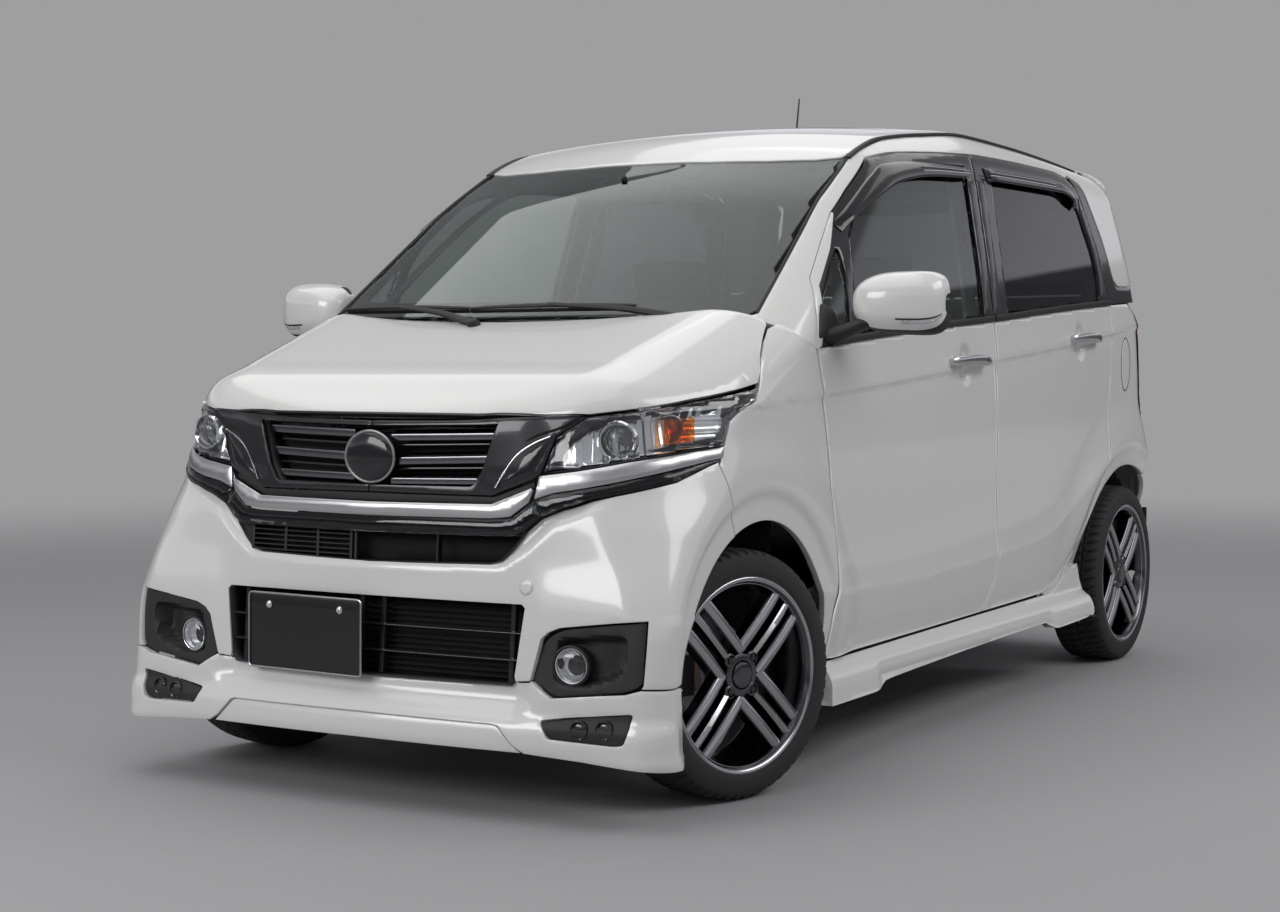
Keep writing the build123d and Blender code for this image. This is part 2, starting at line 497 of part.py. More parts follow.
# Inside
DASH = [(-884, 640), (-884, 1000), (-640, 985), (-575, 935), (-570, 800), (-640, 640)]
WHEEL_X = -330.0
STEER_TILT = 25.0
steer_axis = Vector(0, cos(radians(STEER_TILT)), sin(radians(STEER_TILT)))
steer_centre = Vector(WHEEL_X, -395, 880)
steer_plane = Plane(origin=steer_centre, x_dir=(1, 0, 0), z_dir=steer_axis)
column_hole = steer_plane * Pos(0, 0, -150) * Cylinder(25, 260)
keep("dashboard", side_prism(DASH, -INNER_X, INNER_X) - column_hole)
ring = Torus(180, 15) + Pos(0, 0, -10) * Cylinder(60, 36) + Pos(0, 0, -110) * Cylinder(18, 200)
for angle in (0, 180, 270):
    ring += Rot(Z=angle) * Pos(115, 0, -6) * Box(130, 34, 14)
STEER_RATIO = 16.0
keep("steering_wheel", steer_plane * Rot(Z=STEER_RATIO * STEER_AT_REST) * ring)


def seat(x, y, width):
    """A seat: a base, a cushion, a leaning back and a headrest."""
    base = block(x - width / 2 + 60, x + width / 2 - 60, y - 200, y + 200, FLOOR_TOP, 440)
    cushion = fillet(block(x - width / 2, x + width / 2, y - 270, y + 250, 430, 560).edges().filter_by(Axis.X), 40)
    back = Pos(x, y + 240, 500) * Rot(X=-14) * Pos(0, 0, 310) * Box(width - 20, 110, 620)
    rest = Pos(x, y + 240, 500) * Rot(X=-14) * Pos(0, 0, 700) * Box(270, 90, 170)
    post = Pos(x, y + 240, 500) * Rot(X=-14) * Pos(0, 0, 610) * Box(120, 20, 60)
    return base + cushion + back + fillet(rest.edges().filter_by(Axis.X), 30) + post


keep("front_seats", seat(330, -140, 490), seat(-330, -140, 490))
bench_cushion = block(-585, 585, 470, 990, REAR_FLOOR_Z + 22, 550)
bench = block(-560, 560, 520, 870, FLOOR_TOP, 445) + fillet(bench_cushion.edges().filter_by(Axis.X), 40)
bench += Pos(0, 950, 500) * Rot(X=-18) * Pos(0, 0, 250) * Box(1000, 110, 500)
for x in (-290, 290):
    bench += Pos(x, 950, 500) * Rot(X=-18) * Pos(0, 0, 575) * Box(270, 80, 160)
keep("rear_seat", bench)

# Mechanical parts
keep("engine_block", block(-300, 300, -1480, -1000, 300, 800))
ARM_Z = 146.0
arm = plan_prism([(350, FRONT_AXLE_Y - 60), (350, FRONT_AXLE_Y + 60), (KINGPIN_X - 4, FRONT_AXLE_Y + 9),
                  (KINGPIN_X - 4, FRONT_AXLE_Y - 9)], ARM_Z - 12, ARM_Z + 12)
cross = block(-360, 360, -1250, -1130, ARM_Z - 12, 250)
posts = block(335, 360, -1250, -1130, 240, 340)
cross = cross + arm + mirror(arm, Plane.YZ) + posts + mirror(posts, Plane.YZ)
keep("front_crossmember", cross)
beam = x_cylinder(-530, 530, REAR_AXLE_Y, TYRE_RADIUS, 28)
link = block(400, 440, 830, REAR_AXLE_Y, 225, 262) + block(400, 440, 830, 880, 225, FLOOR_Z)
link += block(400, 440, REAR_AXLE_Y - 60, REAR_AXLE_Y + 20, 225, 290)
spring = Pos(395, REAR_AXLE_Y, 0) * Pos(0, 0, (300 + REAR_FLOOR_Z) / 2) * Cylinder(40, REAR_FLOOR_Z - 300)
spindle = x_cylinder(520, WHEEL_CENTRE_X + 10, REAR_AXLE_Y, TYRE_RADIUS, 22)
plate = x_cylinder(520, 532, REAR_AXLE_Y, TYRE_RADIUS, 90)
side = link + spring + spindle + plate
keep("rear_axle", beam + side + mirror(side, Plane.YZ))
muffler = fillet(block(-330, 150, 1420, 1560, 255, 400).edges().filter_by(Axis.X), 40)
tip = Pos(-300, 1600, 148) * Rot(X=90) * (Cylinder(24, 170) - Pos(0, 0, -20) * Cylinder(20, 150))
pipe = block(-320, -280, 1490, 1530, 135, 290)
hanger = block(-60, -40, 1470, 1510, 390, REAR_FLOOR_Z)
keep("exhaust", muffler + pipe + hanger + tip)

# Wheels, in a frame with the outer side at +X and the centre at the origin
TYRE_SECTION = [(-TYRE_WIDTH / 2 + 8, RIM_RADIUS), (-TYRE_WIDTH / 2, 235), (-TYRE_WIDTH / 2 + 2, 256),
                (-TYRE_WIDTH / 2 + 14, TYRE_RADIUS - 4), (-TYRE_WIDTH / 2 + 26, TYRE_RADIUS)]
tyre_points = TYRE_SECTION + [(-x, r) for x, r in reversed(TYRE_SECTION)]


def about_x(points):
    """A section of (x, radius) points turned about the X axis."""
    return revolve(Plane.XY * make_face(Polyline(*points, close=True)), Axis.X)


tyre = about_x(tyre_points)
BARREL = 198.0
barrel = about_x([(-76, RIM_RADIUS), (78, RIM_RADIUS), (78, BARREL + 5), (60, BARREL), (-76, BARREL)])
HUB = x_cylinder(-30, 66, 0, 0, 66)
rim_parts = [barrel, HUB]
for group in (45, 135, 225, 315):
    for shift in (-42, 0, 42):
        bar = block(40, 72, 45, 204, shift - 9, shift + 9)
        rim_parts.append(Rot(X=group) * bar)
SPINDLE_HOLE = x_cylinder(-95, 20, 0, 0, 23)


def rim(brake_radius, brake_x0, brake_x1):
    """A wheel with its brake disc or drum and the bore for its spindle."""
    body = rim_parts[0]
    for piece in rim_parts[1:]:
        body += piece
    body += x_cylinder(brake_x0, brake_x1, 0, 0, brake_radius)
    return body - SPINDLE_HOLE


DISC_RADIUS = 112.0
DISC_X = (-42.0, -28.0)
BALL_X = -58.0
front_rim = rim(DISC_RADIUS, *DISC_X)
rear_rim = rim(100, -90, -28)
carrier = x_cylinder(-100, -60, 0, 0, 55) + x_cylinder(-62, 10, 0, 0, 22)
carrier += block(-113, -88, -30, 30, -88, 130) + Pos(-115, 0, 0) * Pos(0, 0, 290) * Cylinder(24, 400)
carrier += Pos(BALL_X, 0, -82) * Cylinder(10, 63) + block(-100, -52, -20, 20, -75, -50)
caliper = block(-70, -8, -155, -75, -45, 45) - x_cylinder(DISC_X[0] - 5, DISC_X[1] + 5, 0, 0, DISC_RADIUS + 6)
carrier += caliper + block(-90, -66, -110, -20, -30, 30)
for side_name, sign in (("left", 1), ("right", -1)):
    turn = Pos(sign * KINGPIN_X, FRONT_AXLE_Y, TYRE_RADIUS) * Rot(Z=STEER_AT_REST)
    for name, piece in (("tyre_front_", tyre), ("rim_front_", front_rim), ("knuckle_", carrier)):
        shape = piece if sign > 0 else mirror(piece, Plane.YZ)
        keep(name + side_name, turn * Pos(sign * (WHEEL_CENTRE_X - KINGPIN_X), 0, 0) * shape)
    for name, piece in (("tyre_rear_", tyre), ("rim_rear_", rear_rim)):
        shape = piece if sign > 0 else mirror(piece, Plane.YZ)
        keep(name + side_name, Pos(sign * WHEEL_CENTRE_X, REAR_AXLE_Y, TYRE_RADIUS) * shape)

os.makedirs("parts", exist_ok=True)
for name, solids in nodes.items():
    export_step(Compound(solids), "parts/" + name + ".step")
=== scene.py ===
"""A kei-class tall wagon with an aero kit: its painted panels, glass, lamps, wheels and cabin."""
import json
from math import cos, pi, radians, sin, sqrt

import bmesh
import bpy
import numpy as np
from bpy.props import FloatProperty, FloatVectorProperty, IntProperty, PointerProperty
from bpy.types import Operator, Panel, PropertyGroup
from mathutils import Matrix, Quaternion, Vector
from mathutils.geometry import delaunay_2d_cdt

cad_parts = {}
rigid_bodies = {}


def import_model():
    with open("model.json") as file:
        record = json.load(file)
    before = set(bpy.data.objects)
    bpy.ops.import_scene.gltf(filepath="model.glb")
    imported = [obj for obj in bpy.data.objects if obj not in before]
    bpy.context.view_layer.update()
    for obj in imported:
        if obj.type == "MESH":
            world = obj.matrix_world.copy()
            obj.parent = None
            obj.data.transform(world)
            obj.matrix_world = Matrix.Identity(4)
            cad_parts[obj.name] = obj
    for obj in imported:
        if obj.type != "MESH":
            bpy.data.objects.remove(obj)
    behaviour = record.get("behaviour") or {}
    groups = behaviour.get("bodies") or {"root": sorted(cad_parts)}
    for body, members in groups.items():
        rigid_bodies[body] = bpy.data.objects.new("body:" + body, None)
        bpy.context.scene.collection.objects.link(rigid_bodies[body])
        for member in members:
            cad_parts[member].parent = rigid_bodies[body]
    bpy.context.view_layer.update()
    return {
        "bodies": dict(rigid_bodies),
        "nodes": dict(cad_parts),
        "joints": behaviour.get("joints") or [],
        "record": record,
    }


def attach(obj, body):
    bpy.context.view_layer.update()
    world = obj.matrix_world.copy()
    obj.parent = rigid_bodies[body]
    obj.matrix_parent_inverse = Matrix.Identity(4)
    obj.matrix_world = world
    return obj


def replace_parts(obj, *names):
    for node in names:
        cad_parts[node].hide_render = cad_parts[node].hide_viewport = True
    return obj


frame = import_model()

bl_info = {
    "name": "Tall wagon car",
    "version": (1, 0),
    "blender": (4, 5, 0),
    "location": "View3D > Sidebar > Car",
    "description": "Builds the skin, glass, lamps, wheels and cabin of a small tall wagon on its fixed frame",
    "category": "Add Mesh",
}

# ---------------------------------------------------------------- the body's form
# Metres. The front is at -Y and the car's own left at +X, as in the frame.
FRONT_ARCH, REAR_ARCH = (-1.166, 0.272), (1.333, 0.2805)
ARCH_R = 0.341
# Degrees that the front wheels are turned by, and how far the steering wheel turns for each.
STEER, STEER_RATIO = -16., 16.

# Lines that shape the side, as (y, z): the belt, the crease at the handles and the sculpted line.
BELT = [(-1.20, .975), (-.842, .997), (-.657, 1.012), (-.094, 1.050), (.242, 1.069), (.68, 1.098),
        (1.018, 1.118), (1.359, 1.134), (1.7, 1.145)]
CREASE = [(-1.50, .845), (-1.179, .865), (-.872, .886), (-.092, .938), (.195, .961), (.849, 1.009),
          (1.092, 1.031), (1.7, 1.075)]
SCULPT = [(-1.7, .44), (-.90, .432), (-.757, .419), (-.323, .411), (.25, .428), (.50, .440), (.675, .463),
          (.82, .512), (.95, .569), (1.138, .640), (1.324, .676), (1.50, .655), (1.7, .60)]
# The door's section from the sculpted line (0) to the crease (1), as half widths.
SECTION = [(0., .7225), (.05, .7190), (.14, .7150), (.28, .7135), (.45, .7155), (.70, .7185), (.90, .7180),
           (.962, .7158), (1.0, .7240)]
# The glasshouse's half width, by height above the belt.
LEAN = [(0.0, .7125), (.12, .692), (.25, .664), (.40, .630), (.475, .6085), (.52, .596), (.60, .56)]
# By height: the nose on the centre line, its bow's radius, its corner's radius and half width.
NOSE_ROWS = [(.10, -1.683, 4.5, .06, .733), (.17, -1.6975, 4.5, .06, .7365), (.205, -1.693, 4.5, .06, .7365),
             (.235, -1.672, 5.0, .065, .734), (.40, -1.650, 7.0, .085, .733), (.60, -1.636, 4.2, .17, .7275),
             (.70, -1.632, 2.8, .215, .7245), (.87, -1.625, 1.908, .25, .722), (1.10, -1.600, 1.7, .255, .716)]
TAIL_ROWS = [(.10, 1.672, 6., .11), (.20, 1.690, 6., .12), (.35, 1.6966, 6., .12), (.50, 1.678, 6., .12),
             (.70, 1.650, 5., .12), (.83, 1.612, 4., .12), (1.0, 1.592, 4., .12), (1.2, 1.572, 4., .12),
             (1.4, 1.53, 4., .115), (1.55, 1.48, 4., .11), (1.7, 1.42, 4., .10)]
SCREEN_ROWS = [(.95, -1.286, 1.61, .10), (1.056, -1.130, 1.61, .10), (1.30, -.770, 1.60, .09),
               (1.497, -.480, 1.583, .08), (1.60, -.328, 1.583, .07), (1.75, -.107, 1.583, .07)]
ROOF = [(-1.4, 1.30), (-.70, 1.44), (-.48, 1.497), (-.33, 1.549), (-.16, 1.583), (.07, 1.611), (.35, 1.632),
        (.70, 1.622), (1.0, 1.606), (1.3, 1.584), (1.7, 1.55)]
ROOF_CROWN = .115
BONNET = [(-1.9, .66), (-1.70, .785), (-1.615, .851), (-1.56, .893), (-1.503, .935), (-1.40, .969),
          (-1.13, 1.056), (-.9, 1.128), (-.6, 1.2)]
# Three points of the plane that shapes each shoulder of the bonnet.
SHOULDER = [(.600, -1.365, .991), (.720, -1.190, .915), (.630, -1.520, .884)]


def smooth_curve(table, column=1):
    """A monotone cubic through a table's points, as a function of its first column (slopes by harmonic mean)."""
    t = np.asarray(table, float)
    x, y = t[:, 0], t[:, column]
    h, d = np.diff(x), np.diff(y) / np.diff(x)
    m = np.zeros_like(x)
    w1, w2 = 2 * h[1:] + h[:-1], h[1:] + 2 * h[:-1]
    with np.errstate(divide="ignore", invalid="ignore"):
        m[1:-1] = np.where(d[:-1] * d[1:] > 0, (w1 + w2) / (w1 / d[:-1] + w2 / d[1:]), 0)
    m[0], m[-1] = d[0], d[-1]

    def curve(q):
        q = np.asarray(q, float)
        i = np.clip(np.searchsorted(x, q) - 1, 0, len(x) - 2)
        s = (q - x[i]) / h[i]
        inside = (y[i] * (1 + 2 * s) * (1 - s) ** 2 + m[i] * h[i] * s * (1 - s) ** 2
                  + y[i + 1] * s * s * (3 - 2 * s) - m[i + 1] * h[i] * s * s * (1 - s))
        return np.where(q < x[0], y[0] + m[0] * (q - x[0]), np.where(q > x[-1], y[-1] + m[-1] * (q - x[-1]), inside))
    return curve


belt, crease, sculpt, lean, section = (smooth_curve(t) for t in (BELT, CREASE, SCULPT, LEAN, SECTION))
nose_y, nose_bow, nose_corner, nose_half = (smooth_curve(NOSE_ROWS, k) for k in (1, 2, 3, 4))
tail_y, tail_bow, tail_corner = (smooth_curve(TAIL_ROWS, k) for k in (1, 2, 3))
screen_y, screen_bow, screen_corner = (smooth_curve(SCREEN_ROWS, k) for k in (1, 2, 3))
roof_z, bonnet_z = smooth_curve(ROOF), smooth_curve(BONNET)


def step(x, a, b):
    """0 up to a and 1 from b, with a cubic ease between them."""
    t = np.clip((x - a) / (b - a), 0, 1)
    return t * t * (3 - 2 * t)


def rounded_max(a, b, r):
    """The larger of two distances, with the corner between them turned by a radius r."""
    u, v = np.maximum(a + r, 0), np.maximum(b + r, 0)
    return np.where((a > -r) & (b > -r), np.sqrt(u * u + v * v) - r, np.maximum(a, b))


# Cups behind the door handles: centre along the car, half length and half height, depth.
HANDLE_CUPS = [(.010, .953, .044, .061, .017), (.905, 1.013, .044, .061, .017)]


def side_x(y, z):
    """Half width of the side: a section between the lines, the arches' bulges and the handles' cups."""
    zb, zu, zl = belt(y), crease(y), sculpt(y)
    t = np.clip((z - zl) / (zu - zl), 0, 1)
    fade = (0.25 + 0.75 * step(y, -1.15, -.55)) * (1 - .6 * step(y, 1.15, 1.5))
    soft = .7185 + .004 * np.sin(np.pi * t)
    mid = soft + (section(t) - soft) * fade
    tuck = (.12 + .88 * step(y, -1.42, -.80)) * (1 - .8 * step(y, 1.25, 1.55))
    low = .7225 - (.20 * (zl - z) + .06 * np.maximum(0, .33 - z)) * tuck
    high = .7240 - .0115 * np.clip((z - zu) / (zb - zu), 0, 1.0)
    x = np.where(z < zl, low, np.where(z < zu, mid, np.where(z < zb, high, lean(z - zb))))
    r = np.hypot(y - FRONT_ARCH[0], z - FRONT_ARCH[1])
    x = x + .0145 * (1 - step(r, .43, .555)) - .011 * (1 - step(r, .385, .418))
    r = np.hypot(y - REAR_ARCH[0], z - REAR_ARCH[1])
    x = x + .012 * (1 - step(r, .42, .57)) * step(z, .3, .5) - .007 * (1 - step(r, .385, .418))
    for cy, cz, a, b, depth in HANDLE_CUPS:
        x = x - depth * (1 - step(np.hypot((y - cy) / a, (z - cz) / b), .52, 1.0))
    return x + (nose_half(z) - .7215) * (1 - step(y, -1.62, -1.42))


def bow_distance(x, y, front, bow):
    """Distance outside an end's bow, a circle that passes through (0, front), for an end facing -Y."""
    return np.hypot(x, y - front - bow) - bow


def shoulder_f(x, y, z):
    """Distance above the plane of each bonnet shoulder."""
    p, q, r = (np.array(v) for v in SHOULDER)
    n = np.cross(q - p, r - p)
    n = n / np.linalg.norm(n) * np.sign(n[0])
    return n[0] * (np.abs(x) - p[0]) + n[1] * (y - p[1]) + n[2] * (z - p[2])


def bonnet_f(x, y, z):
    """Distance above the bonnet: its centre line carried across, cut by the shoulders."""
    slope = (bonnet_z(y + .005) - bonnet_z(y - .005)) / .01
    return rounded_max((z - bonnet_z(y)) / np.sqrt(1 + slope ** 2), shoulder_f(x, y, z), .10)


def sides_f(x, y, z):
    """Distance outside the two sides and the tail."""
    tail = bow_distance(x, -y, -tail_y(z), tail_bow(z))
    return rounded_max(np.abs(x) - side_x(y, z), tail, tail_corner(z))


def lower_f(x, y, z):
    """Distance outside the body below the belt: sides, tail, nose and bonnet, with turned corners."""
    f = rounded_max(sides_f(x, y, z), bow_distance(x, y, nose_y(z), nose_bow(z)), nose_corner(z))
    return rounded_max(f, np.where(y < -.8, bonnet_f(x, y, z), -1), .035)


def upper_f(x, y, z):
    """Distance outside the glasshouse: sides, tail, windscreen and roof, with turned corners."""
    screen = .60 * bow_distance(x, y, screen_y(z), screen_bow(z))
    f = rounded_max(sides_f(x, y, z), screen, screen_corner(z))
    return rounded_max(f, z - roof_z(y) + ROOF_CROWN * x * x, .085)


# ---------------------------------------------------------------- drawing planes
# Outlines are drawn flat, in a plane whose every point has a ray that leaves the form once.
FAN_X, FAN_FRONT, FAN_REAR, FAN_RADIUS = .50, -1.38, 1.40, .25
FAN_END = FAN_X + FAN_RADIUS * pi / 2
HUB_Z = 1.0
SIDE_FROM, FRONT_FROM, REAR_FROM, ABOVE_FROM = .2, -.1, .9, .7   # where each view's rays start, inside the form
REACH, HALVINGS = 1.3, 28                 # how far a ray is followed, and how often its length is halved


def side_rays(p):
    """(y, z) looked at from the side."""
    n = len(p)
    return np.c_[np.full(n, SIDE_FROM), p], np.tile([1., 0, 0], (n, 1))


def wrap_rays(p, middle=FAN_FRONT, way=-1.):
    """(s, z) with s running round the car: across the end, a quarter fan at the corner, then along the side."""
    s, sign = np.abs(p[:, 0]), np.where(p[:, 0] < 0, -1., 1.)
    a = np.clip((s - FAN_X) / FAN_RADIUS, 0, pi / 2)
    x0, y0 = np.minimum(s, FAN_X), middle - way * np.maximum(s - FAN_END, 0)
    return np.c_[sign * x0, y0, p[:, 1]], np.c_[sign * np.sin(a), way * np.cos(a), np.zeros(len(p))]


def tail_rays(p):
    """(s, z) round the rear end."""
    return wrap_rays(p, FAN_REAR, 1.)


def front_rays(p):
    """(x, z) looked at from the front, for the windscreen."""
    n = len(p)
    return np.c_[p[:, 0], np.full(n, FRONT_FROM), p[:, 1]], np.tile([0., -1, 0], (n, 1))


def rear_rays(p):
    """(x, z) looked at from behind."""
    n = len(p)
    return np.c_[p[:, 0], np.full(n, REAR_FROM), p[:, 1]], np.tile([0., 1, 0], (n, 1))


def above_rays(p):
    """(x, y) looked at from above."""
    n = len(p)
    return np.c_[p, np.full(n, ABOVE_FROM)], np.tile([0., 0, 1], (n, 1))


HOOD_FOOT, HOOD_SCALE = (-1.10, .55), .5


def hood_rays(p):
    """(x, b) with b/HOOD_SCALE the angle, from upright towards the front, about a line across the engine bay."""
    n, a = len(p), p[:, 1] / HOOD_SCALE
    origin = np.c_[p[:, 0], np.full(n, HOOD_FOOT[0]), np.full(n, HOOD_FOOT[1])]
    return origin, np.c_[np.zeros(n), -np.sin(a), np.cos(a)]


def hood_flat(points):
    """Points of space as (x, b)."""
    x, y, z = np.asarray(points, float).T
    return np.c_[x, HOOD_SCALE * np.arctan2(HOOD_FOOT[0] - y, z - HOOD_FOOT[1])]


def arch_rays(p):
    """(a, y) with a the angle from upright about a line along the car at the height of the hub."""
    n = len(p)
    return np.c_[np.zeros(n), p[:, 1], np.full(n, HUB_Z)], np.c_[np.sin(p[:, 0]), np.zeros(n), np.cos(p[:, 0])]


def wrap_flat(points, middle=FAN_FRONT, way=-1.):
    """Points of space as (s, z)."""
    x, y, z = np.asarray(points, float).T
    along = (middle - y) * way
    a = np.arctan2(np.abs(x) - FAN_X, np.maximum(-along, 1e-9))
    s = np.where(along > 0, FAN_END + along, np.where(np.abs(x) < FAN_X, np.abs(x), FAN_X + FAN_RADIUS * a))
    return np.c_[np.where(x < 0, -s, s), z]


def side_s(points):
    """(y, z) of the side as (s, z) of the front wrap."""
    p = np.asarray(points, float)
    return np.c_[p[:, 0] - FAN_FRONT + FAN_END, p[:, 1]]


def side_t(points):
    """(y, z) of the side as (s, z) of the rear wrap."""
    p = np.asarray(points, float)
    return np.c_[FAN_REAR - p[:, 0] + FAN_END, p[:, 1]]


def arch_flat(points):
    """Points of space as (a, y)."""
    x, y, z = np.asarray(points, float).T
    return np.c_[np.arctan2(x, z - HUB_Z), y]


def cast(origin, way, form):
    """Where rays leave the form: its distance halved down between the origin and the reach."""
    lo, hi = np.zeros(len(origin)), np.full(len(origin), REACH)
    for _ in range(HALVINGS):
        mid = (lo + hi) / 2
        inside = form(*(origin + mid[:, None] * way).T) < 0
        lo, hi = np.where(inside, mid, lo), np.where(inside, hi, mid)
    return origin + ((lo + hi) / 2)[:, None] * way


def slope(points, form, e=6e-4):
    """Unit normals of the form: the slope of its distance."""
    g = np.stack([form(*(points + d).T) - form(*(points - d).T) for d in np.eye(3) * e], -1)
    return g / np.maximum(np.linalg.norm(g, axis=1, keepdims=True), 1e-12)


def on(rays, form):
    """A way to lay flat points on a form: returns their places and outward normals."""
    def place(p):
        origin, way = rays(p)
        points = cast(origin, way, form)
        return points, slope(points, form)
    return place


def plane(origin, u, v):
    """A way to lay flat points on a plane through an origin, with the axes u and v."""
    origin, u, v = (np.asarray(k, float) for k in (origin, u, v))
    n = np.cross(u, v)

    def place(p):
        return origin + p[:, :1] * u + p[:, 1:] * v, np.tile(n / np.linalg.norm(n), (len(p), 1))
    return place


# ---------------------------------------------------------------- outlines
def closed(points, pitch):
    """A closed outline with points along its straight runs, every kink kept."""
    p = np.asarray(points, float)
    q = np.roll(p, -1, axis=0)
    return np.concatenate([a + (b - a) * np.linspace(0, 1, max(1, int(np.ceil(np.linalg.norm(b - a) / pitch))),
                                                     endpoint=False)[:, None] for a, b in zip(p, q)])


def rounded(points, radius, steps=5):
    """A closed outline with its corners turned: each is cut back by up to a radius and bent through it."""
    p = np.asarray(points, float)
    before, after = np.roll(p, 1, axis=0) - p, np.roll(p, -1, axis=0) - p
    lb, la = np.linalg.norm(before, axis=1), np.linalg.norm(after, axis=1)
    r = np.broadcast_to(np.asarray(radius, float), len(p))
    cut = np.minimum(r, np.minimum(lb, la) * .48)[:, None]
    a, b = p + before / lb[:, None] * cut, p + after / la[:, None] * cut
    t = np.linspace(0, 1, steps)[None, :, None]
    return (a[:, None] * (1 - t) ** 2 + 2 * p[:, None] * t * (1 - t) + b[:, None] * t ** 2).reshape(-1, 2)


def curve(points, n=40):
    """A smooth open curve through points: each coordinate a monotone cubic of the length so far."""
    p = np.asarray(points, float)
    s = np.r_[0, np.cumsum(np.linalg.norm(np.diff(p, axis=0), axis=1))]
    q = np.linspace(0, s[-1], n)
    return np.stack([smooth_curve(np.c_[s, p[:, k]])(q) for k in range(p.shape[1])], -1)


def arc(centre, radius, start, end, n=40):
    """Points of a circle between two angles in degrees."""
    a = np.radians(np.linspace(start, end, n))
    return np.c_[centre[0] + radius * np.cos(a), centre[1] + radius * np.sin(a)]


def area(p):
    """An outline's area, more than 0 where it runs anticlockwise."""
    q = np.roll(p, -1, axis=0)
    return (p[:, 0] * q[:, 1] - p[:, 1] * q[:, 0]).sum() / 2


def inset(p, d):
    """An outline moved inwards by d, each point along the mean of its two edges' normals."""
    if not d:
        return p
    e = np.roll(p, -1, axis=0) - p
    n = np.c_[-e[:, 1], e[:, 0]] / np.maximum(np.linalg.norm(e, axis=1, keepdims=True), 1e-12)
    m = n + np.roll(n, 1, axis=0)
    m /= np.maximum((m * m).sum(1, keepdims=True) / 2, .35)
    return p + m * d * np.sign(area(p))


def join(*curves):
    """Curves end to end as one outline, points that repeat left out."""
    p = np.concatenate([np.asarray(c, float) for c in curves])
    keep = np.linalg.norm(p - np.roll(p, 1, axis=0), axis=1) > 1e-6
    return p[keep]


def whole(half):
    """A half outline, from the middle round to the middle, with its mirror image."""
    h = np.asarray(half, float)
    return join(h, h[::-1] * [-1, 1])


def within(points, outline):
    """Which points lie inside an outline: an odd count of edges crossed to their right."""
    x, y = points.T
    odd = np.zeros(len(points), bool)
    for (ax, ay), (bx, by) in zip(outline, np.roll(outline, -1, axis=0)):
        if ay != by:
            odd ^= ((ay > y) != (by > y)) & (x < (bx - ax) * (y - ay) / (by - ay) + ax)
    return odd


def edge_distance(points, outline):
    """Each point's distance from the nearest edge of an outline."""
    best = np.full(len(points), 1e9)
    for a, b in zip(outline, np.roll(outline, -1, axis=0)):
        d = b - a
        t = np.clip(((points - a) @ d) / max(d @ d, 1e-18), 0, 1)
        best = np.minimum(best, ((points - a - t[:, None] * d) ** 2).sum(1))
    return np.sqrt(best)


def fill(outline, holes=(), pitch=.012, stretch=1., lines=()):
    """Triangles of an outline less its holes: a grid of points joined to the edges and to the lines of creases
    (Delaunay's rule)."""
    rings = [outline, *holes]
    lo, hi = outline.min(0), outline.max(0)
    gx = np.arange(lo[0] + pitch / 2, hi[0], pitch / stretch)
    gy = np.arange(lo[1] + pitch / 2, hi[1], pitch)
    g = np.stack(np.meshgrid(gx, gy, indexing="ij"), -1).reshape(-1, 2)
    g = g[within(g, outline)]
    for ring in rings:
        g = g[edge_distance(g, ring) > pitch * .45]
    kept = []
    for line in lines:
        line = line[within(line, outline)]
        for ring in rings:
            line = line[edge_distance(line, ring) > pitch * .45]
        for hole in holes:
            line = line[~within(line, hole)]
        if len(line) > 1:
            g = g[edge_distance(g, np.concatenate([line, line[::-1]])) > pitch * .4]
            kept.append(line)
    for hole in holes:
        g = g[~within(g, hole)]
    points = np.concatenate([*rings, *kept, g])
    edges, start = [], 0
    for ring in rings:
        n = len(ring)
        edges += [(start + i, start + (i + 1) % n) for i in range(n)]
        start += n
    for line in kept:
        long = np.linalg.norm(np.diff(line, axis=0), axis=1) > pitch * 2.5
        edges += [(start + i, start + i + 1) for i in range(len(line) - 1) if not long[i]]
        start += len(line)
    found = delaunay_2d_cdt([Vector(p) for p in points.tolist()], edges, [], 0, 1e-8)
    points = np.array([tuple(v) for v in found[0]])
    faces = np.array([f for f in found[2] if len(f) == 3])
    centre = points[faces].mean(1)
    keep = within(centre, outline)
    for hole in holes:
        keep &= ~within(centre, hole)
    return points, faces[keep]


# ---------------------------------------------------------------- meshes
MIRROR_X = np.array([-1., 1, 1])
WELD = 2e-5                               # points nearer than this are one
EDGE_STEPS, EDGE_ANGLE = 2, radians(45)   # edges sharper than this are turned
BOTH = ("body", "body")


